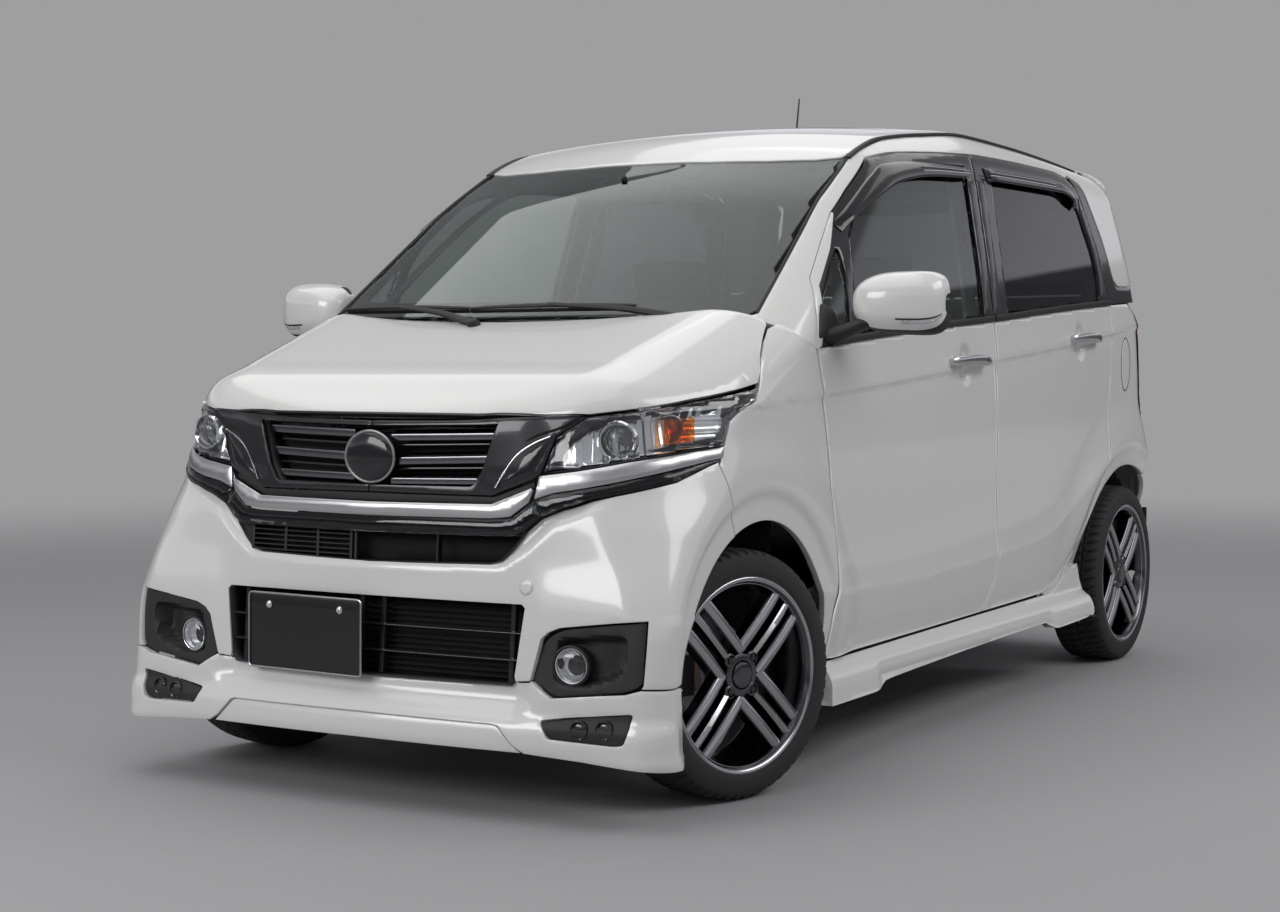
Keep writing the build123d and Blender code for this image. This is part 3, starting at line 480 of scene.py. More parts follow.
class Mesh:
    """Gathers surfaces into one mesh object."""

    def __init__(self):
        self.points, self.faces, self.count = [], [], 0

    def take(self, points, faces):
        """Add points and the faces between them."""
        self.faces += [tuple(int(k) + self.count for k in f) for f in faces]
        self.points.append(np.asarray(points, float))
        self.count += len(points)
        return self

    def panel(self, place, outline, holes=(), pitch=.012, gap=0, offset=0, crown=None, stretch=1., lines=()):
        """A trimmed surface on a form, its edges held back by half a gap. offset lifts it; crown = (height, width)
        lifts it further as it leaves its edge, eased over that width."""
        ring = inset(closed(outline, pitch), gap / 2)
        inner = [inset(closed(h, pitch), -gap / 2) for h in holes]
        p, f = fill(ring, inner, pitch, stretch, lines)
        lift = np.full(len(p), 0.) + (offset(p) if callable(offset) else offset)
        if crown:
            d = np.minimum.reduce([edge_distance(p, r) for r in [ring, *inner]])
            lift = lift + crown[0] * np.sqrt(np.maximum(0, 1 - (1 - np.clip(d / crown[1], 0, 1)) ** 2))
        points, normals = place(p)
        points = points + normals * lift[:, None]
        a, b, c = (points[f[:, k]] for k in range(3))
        if (np.cross(b - a, c - a) * normals[f[:, 0]]).sum() < 0:
            f = f[:, ::-1]
        return self.take(points, f)

    def grid(self, grid, wrap_u=False, wrap_v=False, out=None):
        """A surface of two parameters; out, a direction or a function of the faces' middles, says where it looks."""
        g = np.asarray(grid, float)
        nu, nv = g.shape[:2]
        i = np.arange(nu if wrap_u else nu - 1)[:, None]
        j = np.arange(nv if wrap_v else nv - 1)[None, :]
        i2, j2 = (i + 1) % nu, (j + 1) % nv
        f = np.stack([i * nv + j, i2 * nv + j, i2 * nv + j2, i * nv + j2], -1).reshape(-1, 4)
        p = g.reshape(-1, 3)
        flip = False
        if out is not None:
            a, b, c, d = (p[f[:, k]] for k in range(4))
            way = out((a + c) / 2) if callable(out) else np.asarray(out, float)
            flip = (np.cross(c - a, d - b) * way).sum() < 0
        return self.take(p, f[:, ::-1] if flip else f)

    def swept(self, *args, **how):
        """Add a profile swept along a path."""
        return self.grid(sweep(*args, **how), wrap_v=True)

    def lathed(self, *args, **how):
        """Add a profile turned about an axis."""
        return self.grid(lathe(*args, **how), wrap_u=True)

    def boxed(self, *args, **how):
        """Add a box with rounded edges."""
        return self.grid(block(*args, **how), wrap_v=True)

    def mirrored(self):
        """The same mesh on the other side of the car."""
        other = Mesh()
        other.points, other.count = [p * MIRROR_X for p in self.points], self.count
        other.faces = [f[::-1] for f in self.faces]
        return other

    def moved(self, turn, shift):
        """The same mesh turned by a matrix, then shifted."""
        other = Mesh()
        other.points, other.count = [p @ np.asarray(turn).T + shift for p in self.points], self.count
        other.faces = list(self.faces)
        return other

    def build(self, name, body, finish, slot=None, wall=0, edge=0, sharp=35, recalc=False, sub=0):
        """Make the object: seams welded, and a wall to the inside, turned edges or subdivision where asked.
        The slot argument is not used."""
        mesh = bpy.data.meshes.new(name)
        mesh.from_pydata(np.concatenate(self.points).tolist(), [], self.faces)
        shell = bmesh.new()
        shell.from_mesh(mesh)
        bmesh.ops.remove_doubles(shell, verts=shell.verts, dist=WELD)
        bmesh.ops.dissolve_degenerate(shell, dist=1e-6, edges=shell.edges)
        if recalc:
            bmesh.ops.recalc_face_normals(shell, faces=shell.faces)
        shell.to_mesh(mesh)
        shell.free()
        mesh.polygons.foreach_set("use_smooth", np.ones(len(mesh.polygons), bool))
        piece = bpy.data.objects.new(name, mesh)
        bpy.context.scene.collection.objects.link(piece)
        mesh.materials.append(FINISH[finish])
        if wall:
            solid = piece.modifiers.new("wall", "SOLIDIFY")
            solid.thickness, solid.offset = abs(wall), -1 if wall > 0 else 1
        if edge:
            turn = piece.modifiers.new("edge", "BEVEL")
            turn.width, turn.segments, turn.limit_method, turn.angle_limit = edge, EDGE_STEPS, "ANGLE", EDGE_ANGLE
            turn.use_clamp_overlap = True
        if sub:
            soft = piece.modifiers.new("soft", "SUBSURF")
            soft.levels = soft.render_levels = sub
        if not edge and not sub:
            mesh.set_sharp_from_angle(angle=radians(sharp))
        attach(piece, body)
        return piece


def pair(mesh, name, bodies, finish, **how):
    """Build a left piece and its mirror image on the right."""
    return (mesh.build(name + "_left", bodies[0], finish, **how),
            mesh.mirrored().build(name + "_right", bodies[1], finish, **how))


def lathe(profile, centre, axis, start, steps=64, arc_end=2 * pi):
    """A profile of (radius, height) rows turned about an axis; start is the direction of angle 0."""
    centre, axis, e1 = (np.asarray(k, float) for k in (centre, axis, start))
    axis = axis / np.linalg.norm(axis)
    e1 = e1 - axis * (e1 @ axis)
    e1 /= np.linalg.norm(e1)
    e2 = np.cross(axis, e1)
    full = arc_end >= 2 * pi - 1e-6
    a = np.linspace(0, arc_end, steps, endpoint=not full)[:, None]
    r, h = np.asarray(profile, float).T
    ring = np.cos(a)[..., None] * e1 + np.sin(a)[..., None] * e2
    return centre + ring * r[None, :, None] + h[None, :, None] * axis


def capped(g):
    """A grid with each end drawn in to the middle of its row."""
    first, last = (g[k].mean(1, keepdims=True).repeat(g.shape[1], 1) for k in (slice(0, 1), slice(-1, None)))
    return np.concatenate([first, g, last])


def sweep(path, profile, up=(0, 0, 1), scale=None, cap=True):
    """A closed profile of (across, up) rows carried along a path; scale varies its size along the way."""
    p, up = np.asarray(path, float), np.asarray(up, float)
    t = np.gradient(p, axis=0)
    t /= np.linalg.norm(t, axis=1, keepdims=True)
    side = np.cross(t, up)
    side /= np.linalg.norm(side, axis=1, keepdims=True)
    top = np.cross(side, t)
    q = np.asarray(profile, float)
    k = np.ones(len(p)) if scale is None else np.asarray(scale, float)
    g = p[:, None] + (side[:, None] * q[None, :, :1] + top[:, None] * q[None, :, 1:]) * k[:, None, None]
    return capped(g) if cap else g


def circle(radius, n=12, squash=1.):
    """A circle or an ellipse as a closed profile."""
    a = np.linspace(0, 2 * pi, n, endpoint=False)
    return np.c_[radius * np.cos(a), radius * squash * np.sin(a)]


def bar(width, height, radius=.001, n=3):
    """A rounded rectangle as a closed profile."""
    w, h = width / 2 - radius, height / 2 - radius
    a = np.linspace(0, pi / 2, n)
    parts = [np.c_[sx * w + radius * np.cos(a + t), sz * h + radius * np.sin(a + t)]
             for sx, sz, t in ((1, 1, 0), (-1, 1, pi / 2), (-1, -1, pi), (1, -1, 3 * pi / 2))]
    return np.concatenate(parts)


def block(centre, half, radius=.01, n=7):
    """A box with rounded edges: a sphere's grid with its eight parts pushed out to the corners."""
    centre, half = np.asarray(centre, float), np.asarray(half, float)
    r = min(radius, *half)
    u = np.r_[np.linspace(-pi / 2, 0, n), np.linspace(0, pi / 2, n)]
    su = np.r_[-np.ones(n), np.ones(n)]
    v = np.concatenate([np.linspace(k * pi / 2, (k + 1) * pi / 2, n) for k in range(4)])
    sx, sy = np.repeat([1, -1, -1, 1], n), np.repeat([1, 1, -1, -1], n)
    d = np.stack([np.cos(u)[:, None] * np.cos(v), np.cos(u)[:, None] * np.sin(v), np.sin(u)[:, None] + 0 * v], -1)
    s = np.stack([0 * su[:, None] + sx, 0 * su[:, None] + sy, su[:, None] + 0 * v], -1)
    return capped(centre + s * (half - r) + d * r)


# ---------------------------------------------------------------- finishes
class Value:
    """A node's output that takes part in sums: each operator adds a Math node."""

    def __init__(self, finish, socket):
        self.finish, self.socket = finish, socket

    def math(self, operation, *others):
        """A Math node with these inputs."""
        node = self.finish.tree.nodes.new("ShaderNodeMath")
        node.operation = operation
        for slot, value in zip(node.inputs, others):
            self.finish.feed(slot, value)
        return Value(self.finish, node.outputs[0])

    def __add__(self, other):
        return self.math("ADD", self, other)

    def __rsub__(self, other):
        return self.math("SUBTRACT", other, self)

    def __mul__(self, other):
        return self.math("MULTIPLY", self, other)

    __radd__, __rmul__ = __add__, __mul__

    def __pow__(self, other):
        return self.math("POWER", self, other)

    def ease(self, low, high):
        """0 below low and 1 above high."""
        return self.finish.node("ShaderNodeMapRange", {"interpolation_type": "SMOOTHSTEP"},
                                {"Value": self, "From Min": low, "From Max": high})


class Finish:
    """A material under construction."""

    def __init__(self, name):
        self.material = bpy.data.materials.new(name)
        self.material.use_nodes = True
        self.tree = self.material.node_tree
        self.tree.nodes.clear()

    def feed(self, slot, value):
        """Link a socket to a value, or set it."""
        if isinstance(value, Value):
            self.tree.links.new(value.socket, slot)
        elif value is not None:
            slot.default_value = (*value, 1.0) if slot.type == "RGBA" and len(value) == 3 else value

    def node(self, kind, settings=None, inputs=None, output=0):
        """Any node: its type, its settings, its sockets' values or links, and which output is used."""
        node = self.tree.nodes.new(kind)
        for key, value in (settings or {}).items():
            setattr(node, key, value)
        for key, value in (inputs or {}).items():
            self.feed(node.inputs[key], value)
        return Value(self, node.outputs[output])

    def place(self, size=(1, 1, 1)):
        """Object coordinates, scaled where asked."""
        where = self.node("ShaderNodeTexCoord", output="Object")
        if size == (1, 1, 1):
            return where
        return self.node("ShaderNodeMapping", None, {"Vector": where, "Scale": size})

    def part(self, vector, name):
        """One part, X, Y or Z, of a vector."""
        return self.node("ShaderNodeSeparateXYZ", None, {"Vector": vector}, name)

    def noise(self, scale, detail=2., rough=.5, where=None):
        """Clouds of a size, from 0 to 1."""
        return self.node("ShaderNodeTexNoise", None, {"Vector": where or self.place(), "Scale": scale,
                                                      "Detail": detail, "Roughness": rough}, "Fac")

    def mix(self, mask, a, b):
        """Colour a where the mask is 0 and b where it is 1."""
        node = self.tree.nodes.new("ShaderNodeMix")
        node.data_type = "RGBA"
        for key, value in ((0, mask), (6, a), (7, b)):
            self.feed(node.inputs[key], value)
        return Value(self, node.outputs[2])

    def bump(self, height, strength=.2, distance=.001):
        """A normal that follows a height."""
        return self.node("ShaderNodeBump", None, {"Height": height, "Strength": strength, "Distance": distance})

    def shade(self, colour, roughness, metallic=0., normal=None, **fixed):
        """The surface: what varies comes linked, and everything else is set on its own socket."""
        inputs = {"Base Color": colour, "Roughness": roughness, "Metallic": metallic, "Normal": normal,
                  **{key.replace("_", " "): value for key, value in fixed.items()}}
        surface = self.node("ShaderNodeBsdfPrincipled", None, {k: v for k, v in inputs.items() if v is not None})
        self.node_output(surface)
        return self.material

    def node_output(self, surface):
        """Show a surface."""
        out = self.tree.nodes.new("ShaderNodeOutputMaterial")
        self.tree.links.new(surface.socket, out.inputs["Surface"])


def scaled(colour, factor):
    """A lighter or darker colour."""
    return tuple(c * factor for c in colour)


def painted(name, colour, depth=.06, roughness=.3):
    """Pearl paint under lacquer: mica that clouds the colour a little, and the lacquer's faint ripple."""
    f = Finish(name)
    cloud, mica = f.noise(2.2, 2), f.noise(900, 1)
    tone = f.mix(cloud * .6 + mica * .4, scaled(colour, 1 - depth), colour)
    ripple = f.bump(f.noise(38, 1), .012, .0006)
    return f.shade(tone, roughness + mica * .08, 0., ripple, Coat_Weight=1., Coat_Roughness=.09, Coat_IOR=1.5)


def lacquered(name, colour, roughness=.12, metal=0.):
    """Dark gloss trim: a lacquered plastic with faint streaks of wiping."""
    f = Finish(name)
    streak = f.noise(9, 3, .6, f.place(size=(1, 1, 3.5)))
    tone = f.mix(streak, scaled(colour, .85), scaled(colour, 1.2))
    return f.shade(tone, roughness + streak * .07, metal, f.bump(f.noise(60, 1), .01, .0005),
                   Coat_Weight=.5, Coat_Roughness=.03, Specular_IOR_Level=.3)


def moulded(name, colour, grain=.35, roughness=.55, scale=520):
    """Moulded plastic with a fine pebbled grain and slight wear in its sheen."""
    f = Finish(name)
    cells = f.node("ShaderNodeTexVoronoi", {"feature": "SMOOTH_F1"}, {"Vector": f.place(), "Scale": scale})
    cloud = f.noise(6, 3)
    tone = f.mix(cloud, scaled(colour, .8), scaled(colour, 1.25))
    return f.shade(tone, roughness + cloud * .12, 0., f.bump(cells, grain, .0004))


def plated(name, colour, roughness=.07, brushed=0., metal=1.):
    """Plated or bare metal: a mirror with a little haze, or fine brushed lines."""
    f = Finish(name)
    haze = f.noise(14, 3, .6)
    lines = f.noise(70, 2, .6, f.place(size=(1, 1, 26)))
    tone = f.mix(haze, scaled(colour, .88), colour)
    return f.shade(tone, roughness + haze * .06 + lines * brushed, metal, f.bump(lines, .02 + brushed * .15, .0003))


def glazed(name, tint, roughness=.0, wave=.004):
    """Clear or tinted glass with the faintest wave."""
    f = Finish(name)
    dust = f.noise(5, 3)
    tone = f.mix(dust, scaled(tint, .96), tint)
    return f.shade(tone, roughness + dust * .015, 0., f.bump(f.noise(3, 1), wave, .002), Transmission_Weight=1.,
                   IOR=1.45)


def rubbery(name, colour, roughness=.72):
    """Tyre rubber: a dull bloom and a fine roughness."""
    f = Finish(name)
    bloom = f.noise(11, 4, .65)
    tone = f.mix(bloom, scaled(colour, .7), scaled(colour, 1.5))
    return f.shade(tone, roughness + bloom * .14, 0., f.bump(f.noise(420, 2), .16, .0006))


def woven(name, colour, thread=.0016):
    """Seat cloth: over and under threads from two crossed waves, painted darker where the threads dip under as
    painted shade, with flecks of a paler yarn.
    """
    f = Finish(name)
    where = f.place()
    warp = f.node("ShaderNodeTexWave", {"bands_direction": "X", "wave_profile": "SIN"},
                  {"Vector": where, "Scale": .31 / thread, "Distortion": .6, "Detail": 1.})
    weft = f.node("ShaderNodeTexWave", {"bands_direction": "DIAGONAL", "wave_profile": "SIN"},
                  {"Vector": where, "Scale": .31 / thread, "Distortion": .6, "Detail": 1.})
    height = warp * weft
    fleck = f.noise(380, 2).ease(.56, .7)
    # The cloth is darker where the weave is low: painted shade between the threads.
    tone = f.mix(fleck * .6, f.mix(height, scaled(colour, .55), colour), scaled(colour, 2.2))
    return f.shade(tone, .82 + height * .1, 0., f.bump(height, .5, .0008), Sheen_Weight=.35, Sheen_Roughness=.5)


def worn_metal(name, colour, roughness=.45, metal=1., rust=(.09, .05, .03), amount=.25):
    """Cast or pressed metal underneath: a blotchy surface with a little rust in patches."""
    f = Finish(name)
    blotch, grit = f.noise(7, 5, .6), f.noise(160, 3)
    patch = f.noise(17, 4, .7).ease(1 - amount * 1.4, 1.02 - amount)
    tone = f.mix(patch, f.mix(blotch, scaled(colour, .7), scaled(colour, 1.2)), rust)
    return f.shade(tone, roughness + blotch * .2, metal - patch * .7 if metal else 0., f.bump(grit, .25, .0008))


class CarColours(PropertyGroup):
    """The colours of the car's finishes."""
    body: FloatVectorProperty(name="Body paint", description="Pearl paint of the panels", subtype="COLOR",
                              default=(.69, .69, .675), min=0, max=1)
    trim: FloatVectorProperty(name="Gloss trim", description="Lacquered dark trim of the face and pillars",
                              subtype="COLOR", default=(.016, .016, .018), min=0, max=1)
    plastic: FloatVectorProperty(name="Plain plastic", description="Unpainted black plastic", subtype="COLOR",
                                 default=(.016, .016, .017), min=0, max=1)
    chrome: FloatVectorProperty(name="Bright metal", description="Plated strips and rings", subtype="COLOR",
                                default=(.78, .78, .80), min=0, max=1)
    rim: FloatVectorProperty(name="Wheel", description="Dark plated wheels", subtype="COLOR",
                             default=(.13, .13, .14), min=0, max=1)
    cloth: FloatVectorProperty(name="Seat cloth", description="Woven covers of the seats", subtype="COLOR",
                               default=(.030, .030, .033), min=0, max=1)
    caliper: FloatVectorProperty(name="Brake caliper", description="Bronze finish of the calipers", subtype="COLOR",
                                 default=(.56, .23, .07), min=0, max=1)


class CarSizes(PropertyGroup):
    """The sizes that the dressing keeps to."""
    panel_gap: FloatProperty(name="Panel gap", description="Shut line between neighbouring panels", unit="LENGTH",
                             default=.0045, min=.001, max=.01)
    panel_wall: FloatProperty(name="Panel wall", description="Thickness of a panel with its folded edge",
                              unit="LENGTH", default=.014, min=.002, max=.03)
    glass_wall: FloatProperty(name="Glass", description="Thickness of a pane", unit="LENGTH", default=.004,
                              min=.002, max=.008)
    pitch: FloatProperty(name="Surface pitch", description="Distance between the points of a panel's surface",
                         unit="LENGTH", default=.011, min=.005, max=.05)
    spokes: IntProperty(name="Spoke groups", description="Groups of three bars in each wheel", default=4, min=3,
                        max=8)


# Each finish's material, by its key.
FINISH = {}


def make_finishes(c):
    """Every finish once, from the panel's colours."""
    FINISH.update(
        paint=painted("pearl paint", tuple(c.body)),
        gloss=lacquered("gloss dark trim", tuple(c.trim)),
        graphite=lacquered("graphite trim", scaled(tuple(c.trim), 1.7), .20, .25),
        ceramic=lacquered("black glass edge", (.006, .006, .007), .08),
        black=moulded("black plastic", tuple(c.plastic)),
        smooth_black=moulded("black rubber", (.010, .010, .011), .12, .5, 900),
        # Near black: the glass's printed edges, the handle joints and the radiator fins, and also painted shade:
        # sheets laid in shut lines, grooves and deep openings to stand in for the shade there.
        void=moulded("near black and painted shade", (.004, .004, .004), .2, .8),
        visor=lacquered("smoked visor", (.010, .010, .011), .16),
        chrome=plated("bright metal", tuple(c.chrome)),
        band=plated("bright band", scaled(tuple(c.chrome), .80), .26, .04),
        satin_bright=plated("bright handle", scaled(tuple(c.chrome), .86), .16, .03),
        satin=plated("satin metal", scaled(tuple(c.chrome), .62), .2, .12),
        dark_chrome=plated("dark metal", (.20, .20, .215), .16),
        windscreen=glazed("windscreen glass", (.46, .53, .50)),
        side_glass=glazed("side glass", (.40, .47, .44)),
        privacy=glazed("dark glass", (.10, .095, .12)),
        lens=glazed("clear lens", (.96, .97, .98)),
        smoke_lens=glazed("smoked lens", (.30, .31, .33)),
        amber=glazed("amber lens", (.95, .32, .03), .08),
        red=glazed("red lens", (.75, .015, .012), .04),
        mirror=plated("mirror glass", (.75, .78, .80), .02),
        rubber=rubbery("tyre rubber", (.017, .017, .018)),
        rim=plated("dark wheel", tuple(c.rim), .17),
        machined=plated("machined wheel face", (.46, .46, .48), .16, .05),
        disc=worn_metal("brake disc", (.85, .84, .88), .34, .15, (.50, .48, .47), .1),
        caliper=worn_metal("bronze caliper", tuple(c.caliper), .3, .25, (.20, .10, .05), .12),
        cloth=woven("seat cloth", tuple(c.cloth)),
        cabin=moulded("cabin plastic", (.022, .022, .023), .4, .6, 420),
        cabin_grey=moulded("cabin lining", (.30, .29, .275), .3, .8, 700),
        plate=lacquered("blank plate", (.0075, .0075, .008), .30),
        underseal=worn_metal("underseal", (.022, .022, .024), .62, 0., (.05, .032, .024), .2),
        steel=worn_metal("suspension steel", (.10, .10, .105), .5, .6),
        exhaust=worn_metal("exhaust steel", (.38, .36, .34), .34, 1., (.14, .08, .05), .2),
        casting=worn_metal("engine casting", (.30, .30, .30), .5, .9, (.12, .09, .07), .15),
        lamp_pearl=plated("lamp reflector", (.92, .93, .97), .14, 0., .62),
        lamp_grey=lacquered("lamp shell", (.085, .085, .10), .25, .2),
    )


# ---------------------------------------------------------------- lines of the panels
# Side view lines as (y, z), on the left side.
A_LINE = [(-.874, .992), (-.851, 1.039), (-.817, 1.109), (-.791, 1.159), (-.684, 1.248), (-.587, 1.326),
          (-.491, 1.387), (-.375, 1.453), (-.332, 1.478), (-.178, 1.503), (.074, 1.520), (.287, 1.530)]
REAR_TOP = [(.287, 1.530), (.359, 1.532), (.671, 1.532), (.95, 1.526), (1.020, 1.512)]
REAR_FRAME = [(1.020, 1.512), (1.060, 1.488), (1.090, 1.445), (1.147, 1.304), (1.172, 1.18), (1.188, 1.122)]
FRONT_EDGE = [(-.874, .992), (-.850, .860), (-.815, .689), (-.795, .48), (-.789, .257)]
B_EDGE = [(.218, 1.068), (.226, .90), (.243, .636), (.247, .415), (.235, .32), (.200, .268)]
REAR_EDGE = [(1.188, 1.122), (1.190, 1.0), (1.186, .921), (1.176, .78), (1.148, .65), (1.09, .54), (.996, .435),
             (.90, .352), (.826, .305), (.770, .283), (.697, .272)]
FRONT_PANE = [(-.640, 1.024), (-.628, 1.10), (-.606, 1.205), (-.580, 1.270), (-.50, 1.338), (-.38, 1.420),
              (-.25, 1.463), (-.05, 1.484), (.226, 1.492), (.163, 1.073), (0., 1.0655), (-.30, 1.046)]
VENT_PANE = [(-.800, 1.060), (-.782, 1.118), (-.700, 1.196), (-.645, 1.238), (-.668, 1.105), (-.684, 1.030)]
REAR_PANE = [(.330, 1.088), (.402, 1.494), (.70, 1.494), (.93, 1.488), (1.010, 1.462), (1.060, 1.40), (1.100, 1.288),
             (1.112, 1.215), (1.100, 1.140), (1.083, 1.132), (.70, 1.110)]
D_EDGE = [(1.060, 1.522), (1.124, 1.500), (1.165, 1.43), (1.213, 1.338), (1.254, 1.205), (1.285, 1.186)]
# Places on the form as (x, y, z).
LAMP_TIP = (.7135, -1.161, .911)
BONNET_SIDE = [LAMP_TIP, (.706, -1.138, .945), (.694, -1.118, .972), (.676, -1.073, 1.010), (.660, -1.025, 1.040)]
SPLIT = [(.7222, -1.292, .590), (.7328, -1.330, .6726), (.715, -1.350, .7452)]
BAND_LOW = [(.7145, -1.3483, .7525), (.6751, -1.4601, .7132), (.5401, -1.5831, .6776), (.4756, -1.5993, .6575),
            (.432, -1.6083, .6391), (.3982, -1.6159, .6103)]
STRIP_LOW = [(.715, -1.337, .7598), (.6116, -1.5287, .7219), (.4595, -1.5953, .6921), (.4141, -1.6044, .6779)]
STRIP_HIGH = [(.4215, -1.5975, .7265), (.601, -1.5258, .7565), (.7135, -1.3232, .7835)]
LAMP = [(.5144, -1.5531, .8520), (.453, -1.5784, .8095), (.4259, -1.5953, .7305), (.5999, -1.524, .7589),
        (.713, -1.3225, .785), (.7116, -1.3105, .8056), (.7107, -1.2911, .8385), (.7120, -1.255, .858),
        (.7130, -1.19, .880), LAMP_TIP, (.7054, -1.2658, .8841 + .012), (.659, -1.4062, .8716 + .006)]
SEAM_X = .551
SCREEN_HALF = [(0., 1.050), (.20, 1.0505), (.40, 1.053), (.560, 1.058), (.605, 1.064), (.612, 1.075), (.594, 1.20),
               (.570, 1.35), (.551, 1.470), (.543, 1.486), (.52, 1.492), (.35, 1.4965), (0., 1.501)]
DOORS = ("door_fl", "door_fr"), ("door_rl", "door_rr")      # the front pair and the rear pair, left and right


def belt_run(y0, y1, lift=0., n=14):
    """The belt line between two places along the car."""
    y = np.linspace(y0, y1, n)
    return np.c_[y, belt(y) + lift]


def lay_side(points, form=lower_f):
    """(y, z) points as places in space on the left side."""
    return cast(*side_rays(np.asarray(points, float)), form)


def side_lines(count=4):
    """The side's sharp lines as (y, z): the crease, the foot of its step, the sculpted line, and one that keeps the
    crease's turn short."""
    y = np.linspace(-1.60, 1.66, 300)
    high, low = crease(y), sculpt(y)
    return [np.c_[y, z] for z in (high, high - .038 * (high - low), low, high - .0040)[:count]]


SIDE, WRAP, TAILWRAP = on(side_rays, lower_f), on(wrap_rays, lower_f), on(tail_rays, lower_f)
UPPER_SIDE, ARCH, SCREEN = on(side_rays, upper_f), on(arch_rays, upper_f), on(front_rays, upper_f)
TOP, HOOD = on(above_rays, upper_f), on(hood_rays, lower_f)


def make_bonnet(s):
    """The bonnet: its edge follows the face panel and the lamps' tops, then the fender and the cowl."""
    nose = curve([(0, .8505), (.27, .8515), (.396, .8545), (.470, .8560)], 40)
    lamp = wrap_flat(np.array([LAMP[0], LAMP[11], LAMP[10], LAMP_TIP]))
    lamp = curve(lamp, 40) + [0, .004]
    front = np.concatenate([WRAP(nose)[0], WRAP(lamp)[0]])
    side = np.array(BONNET_SIDE[1:4] + [(.655, -1.012, 1.05)])
    back = np.array([(.64, -1.000), (.56, -1.030), (.42, -1.074), (.22, -1.112), (0, -1.124)])
    back = cast(*above_rays(curve(back, 30)), lower_f)
    half = join(hood_flat(front), hood_flat(side), hood_flat(back))
    mesh = Mesh().panel(HOOD, whole(half), pitch=s.pitch, gap=s.panel_gap * .6)
    piece = mesh.build("bonnet_skin", "bonnet_panel", "paint", wall=s.panel_wall, edge=.0022)
    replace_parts(piece, "bonnet")


def make_fenders(s):
    """Front fenders: the outline runs round the arch, up to the lamp and bonnet, and back down the door's edge."""
    opening = lay_side(arc(FRONT_ARCH, ARCH_R, -2.5, 111.5, 60))
    edge = lay_side(curve(FRONT_EDGE, 40))
    top = [(.640, -.985, 1.052), (.700, -.905, 1.008)]
    lamp_side = [LAMP[k] for k in (8, 7, 6, 5, 4)]
    line = np.concatenate([opening, SPLIT, [(.715, -1.343, .7545), (.7135, -1.333, .776)], lamp_side[::-1],
                           BONNET_SIDE, top, edge])
    flat = wrap_flat(line)
    mesh = Mesh().panel(WRAP, flat, pitch=s.pitch, gap=s.panel_gap, lines=[side_s(k) for k in side_lines(3)])
    made = pair(mesh, "fender_skin", BOTH, "paint", wall=s.panel_wall, edge=.0012)
    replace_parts(made[0], "front_fenders")


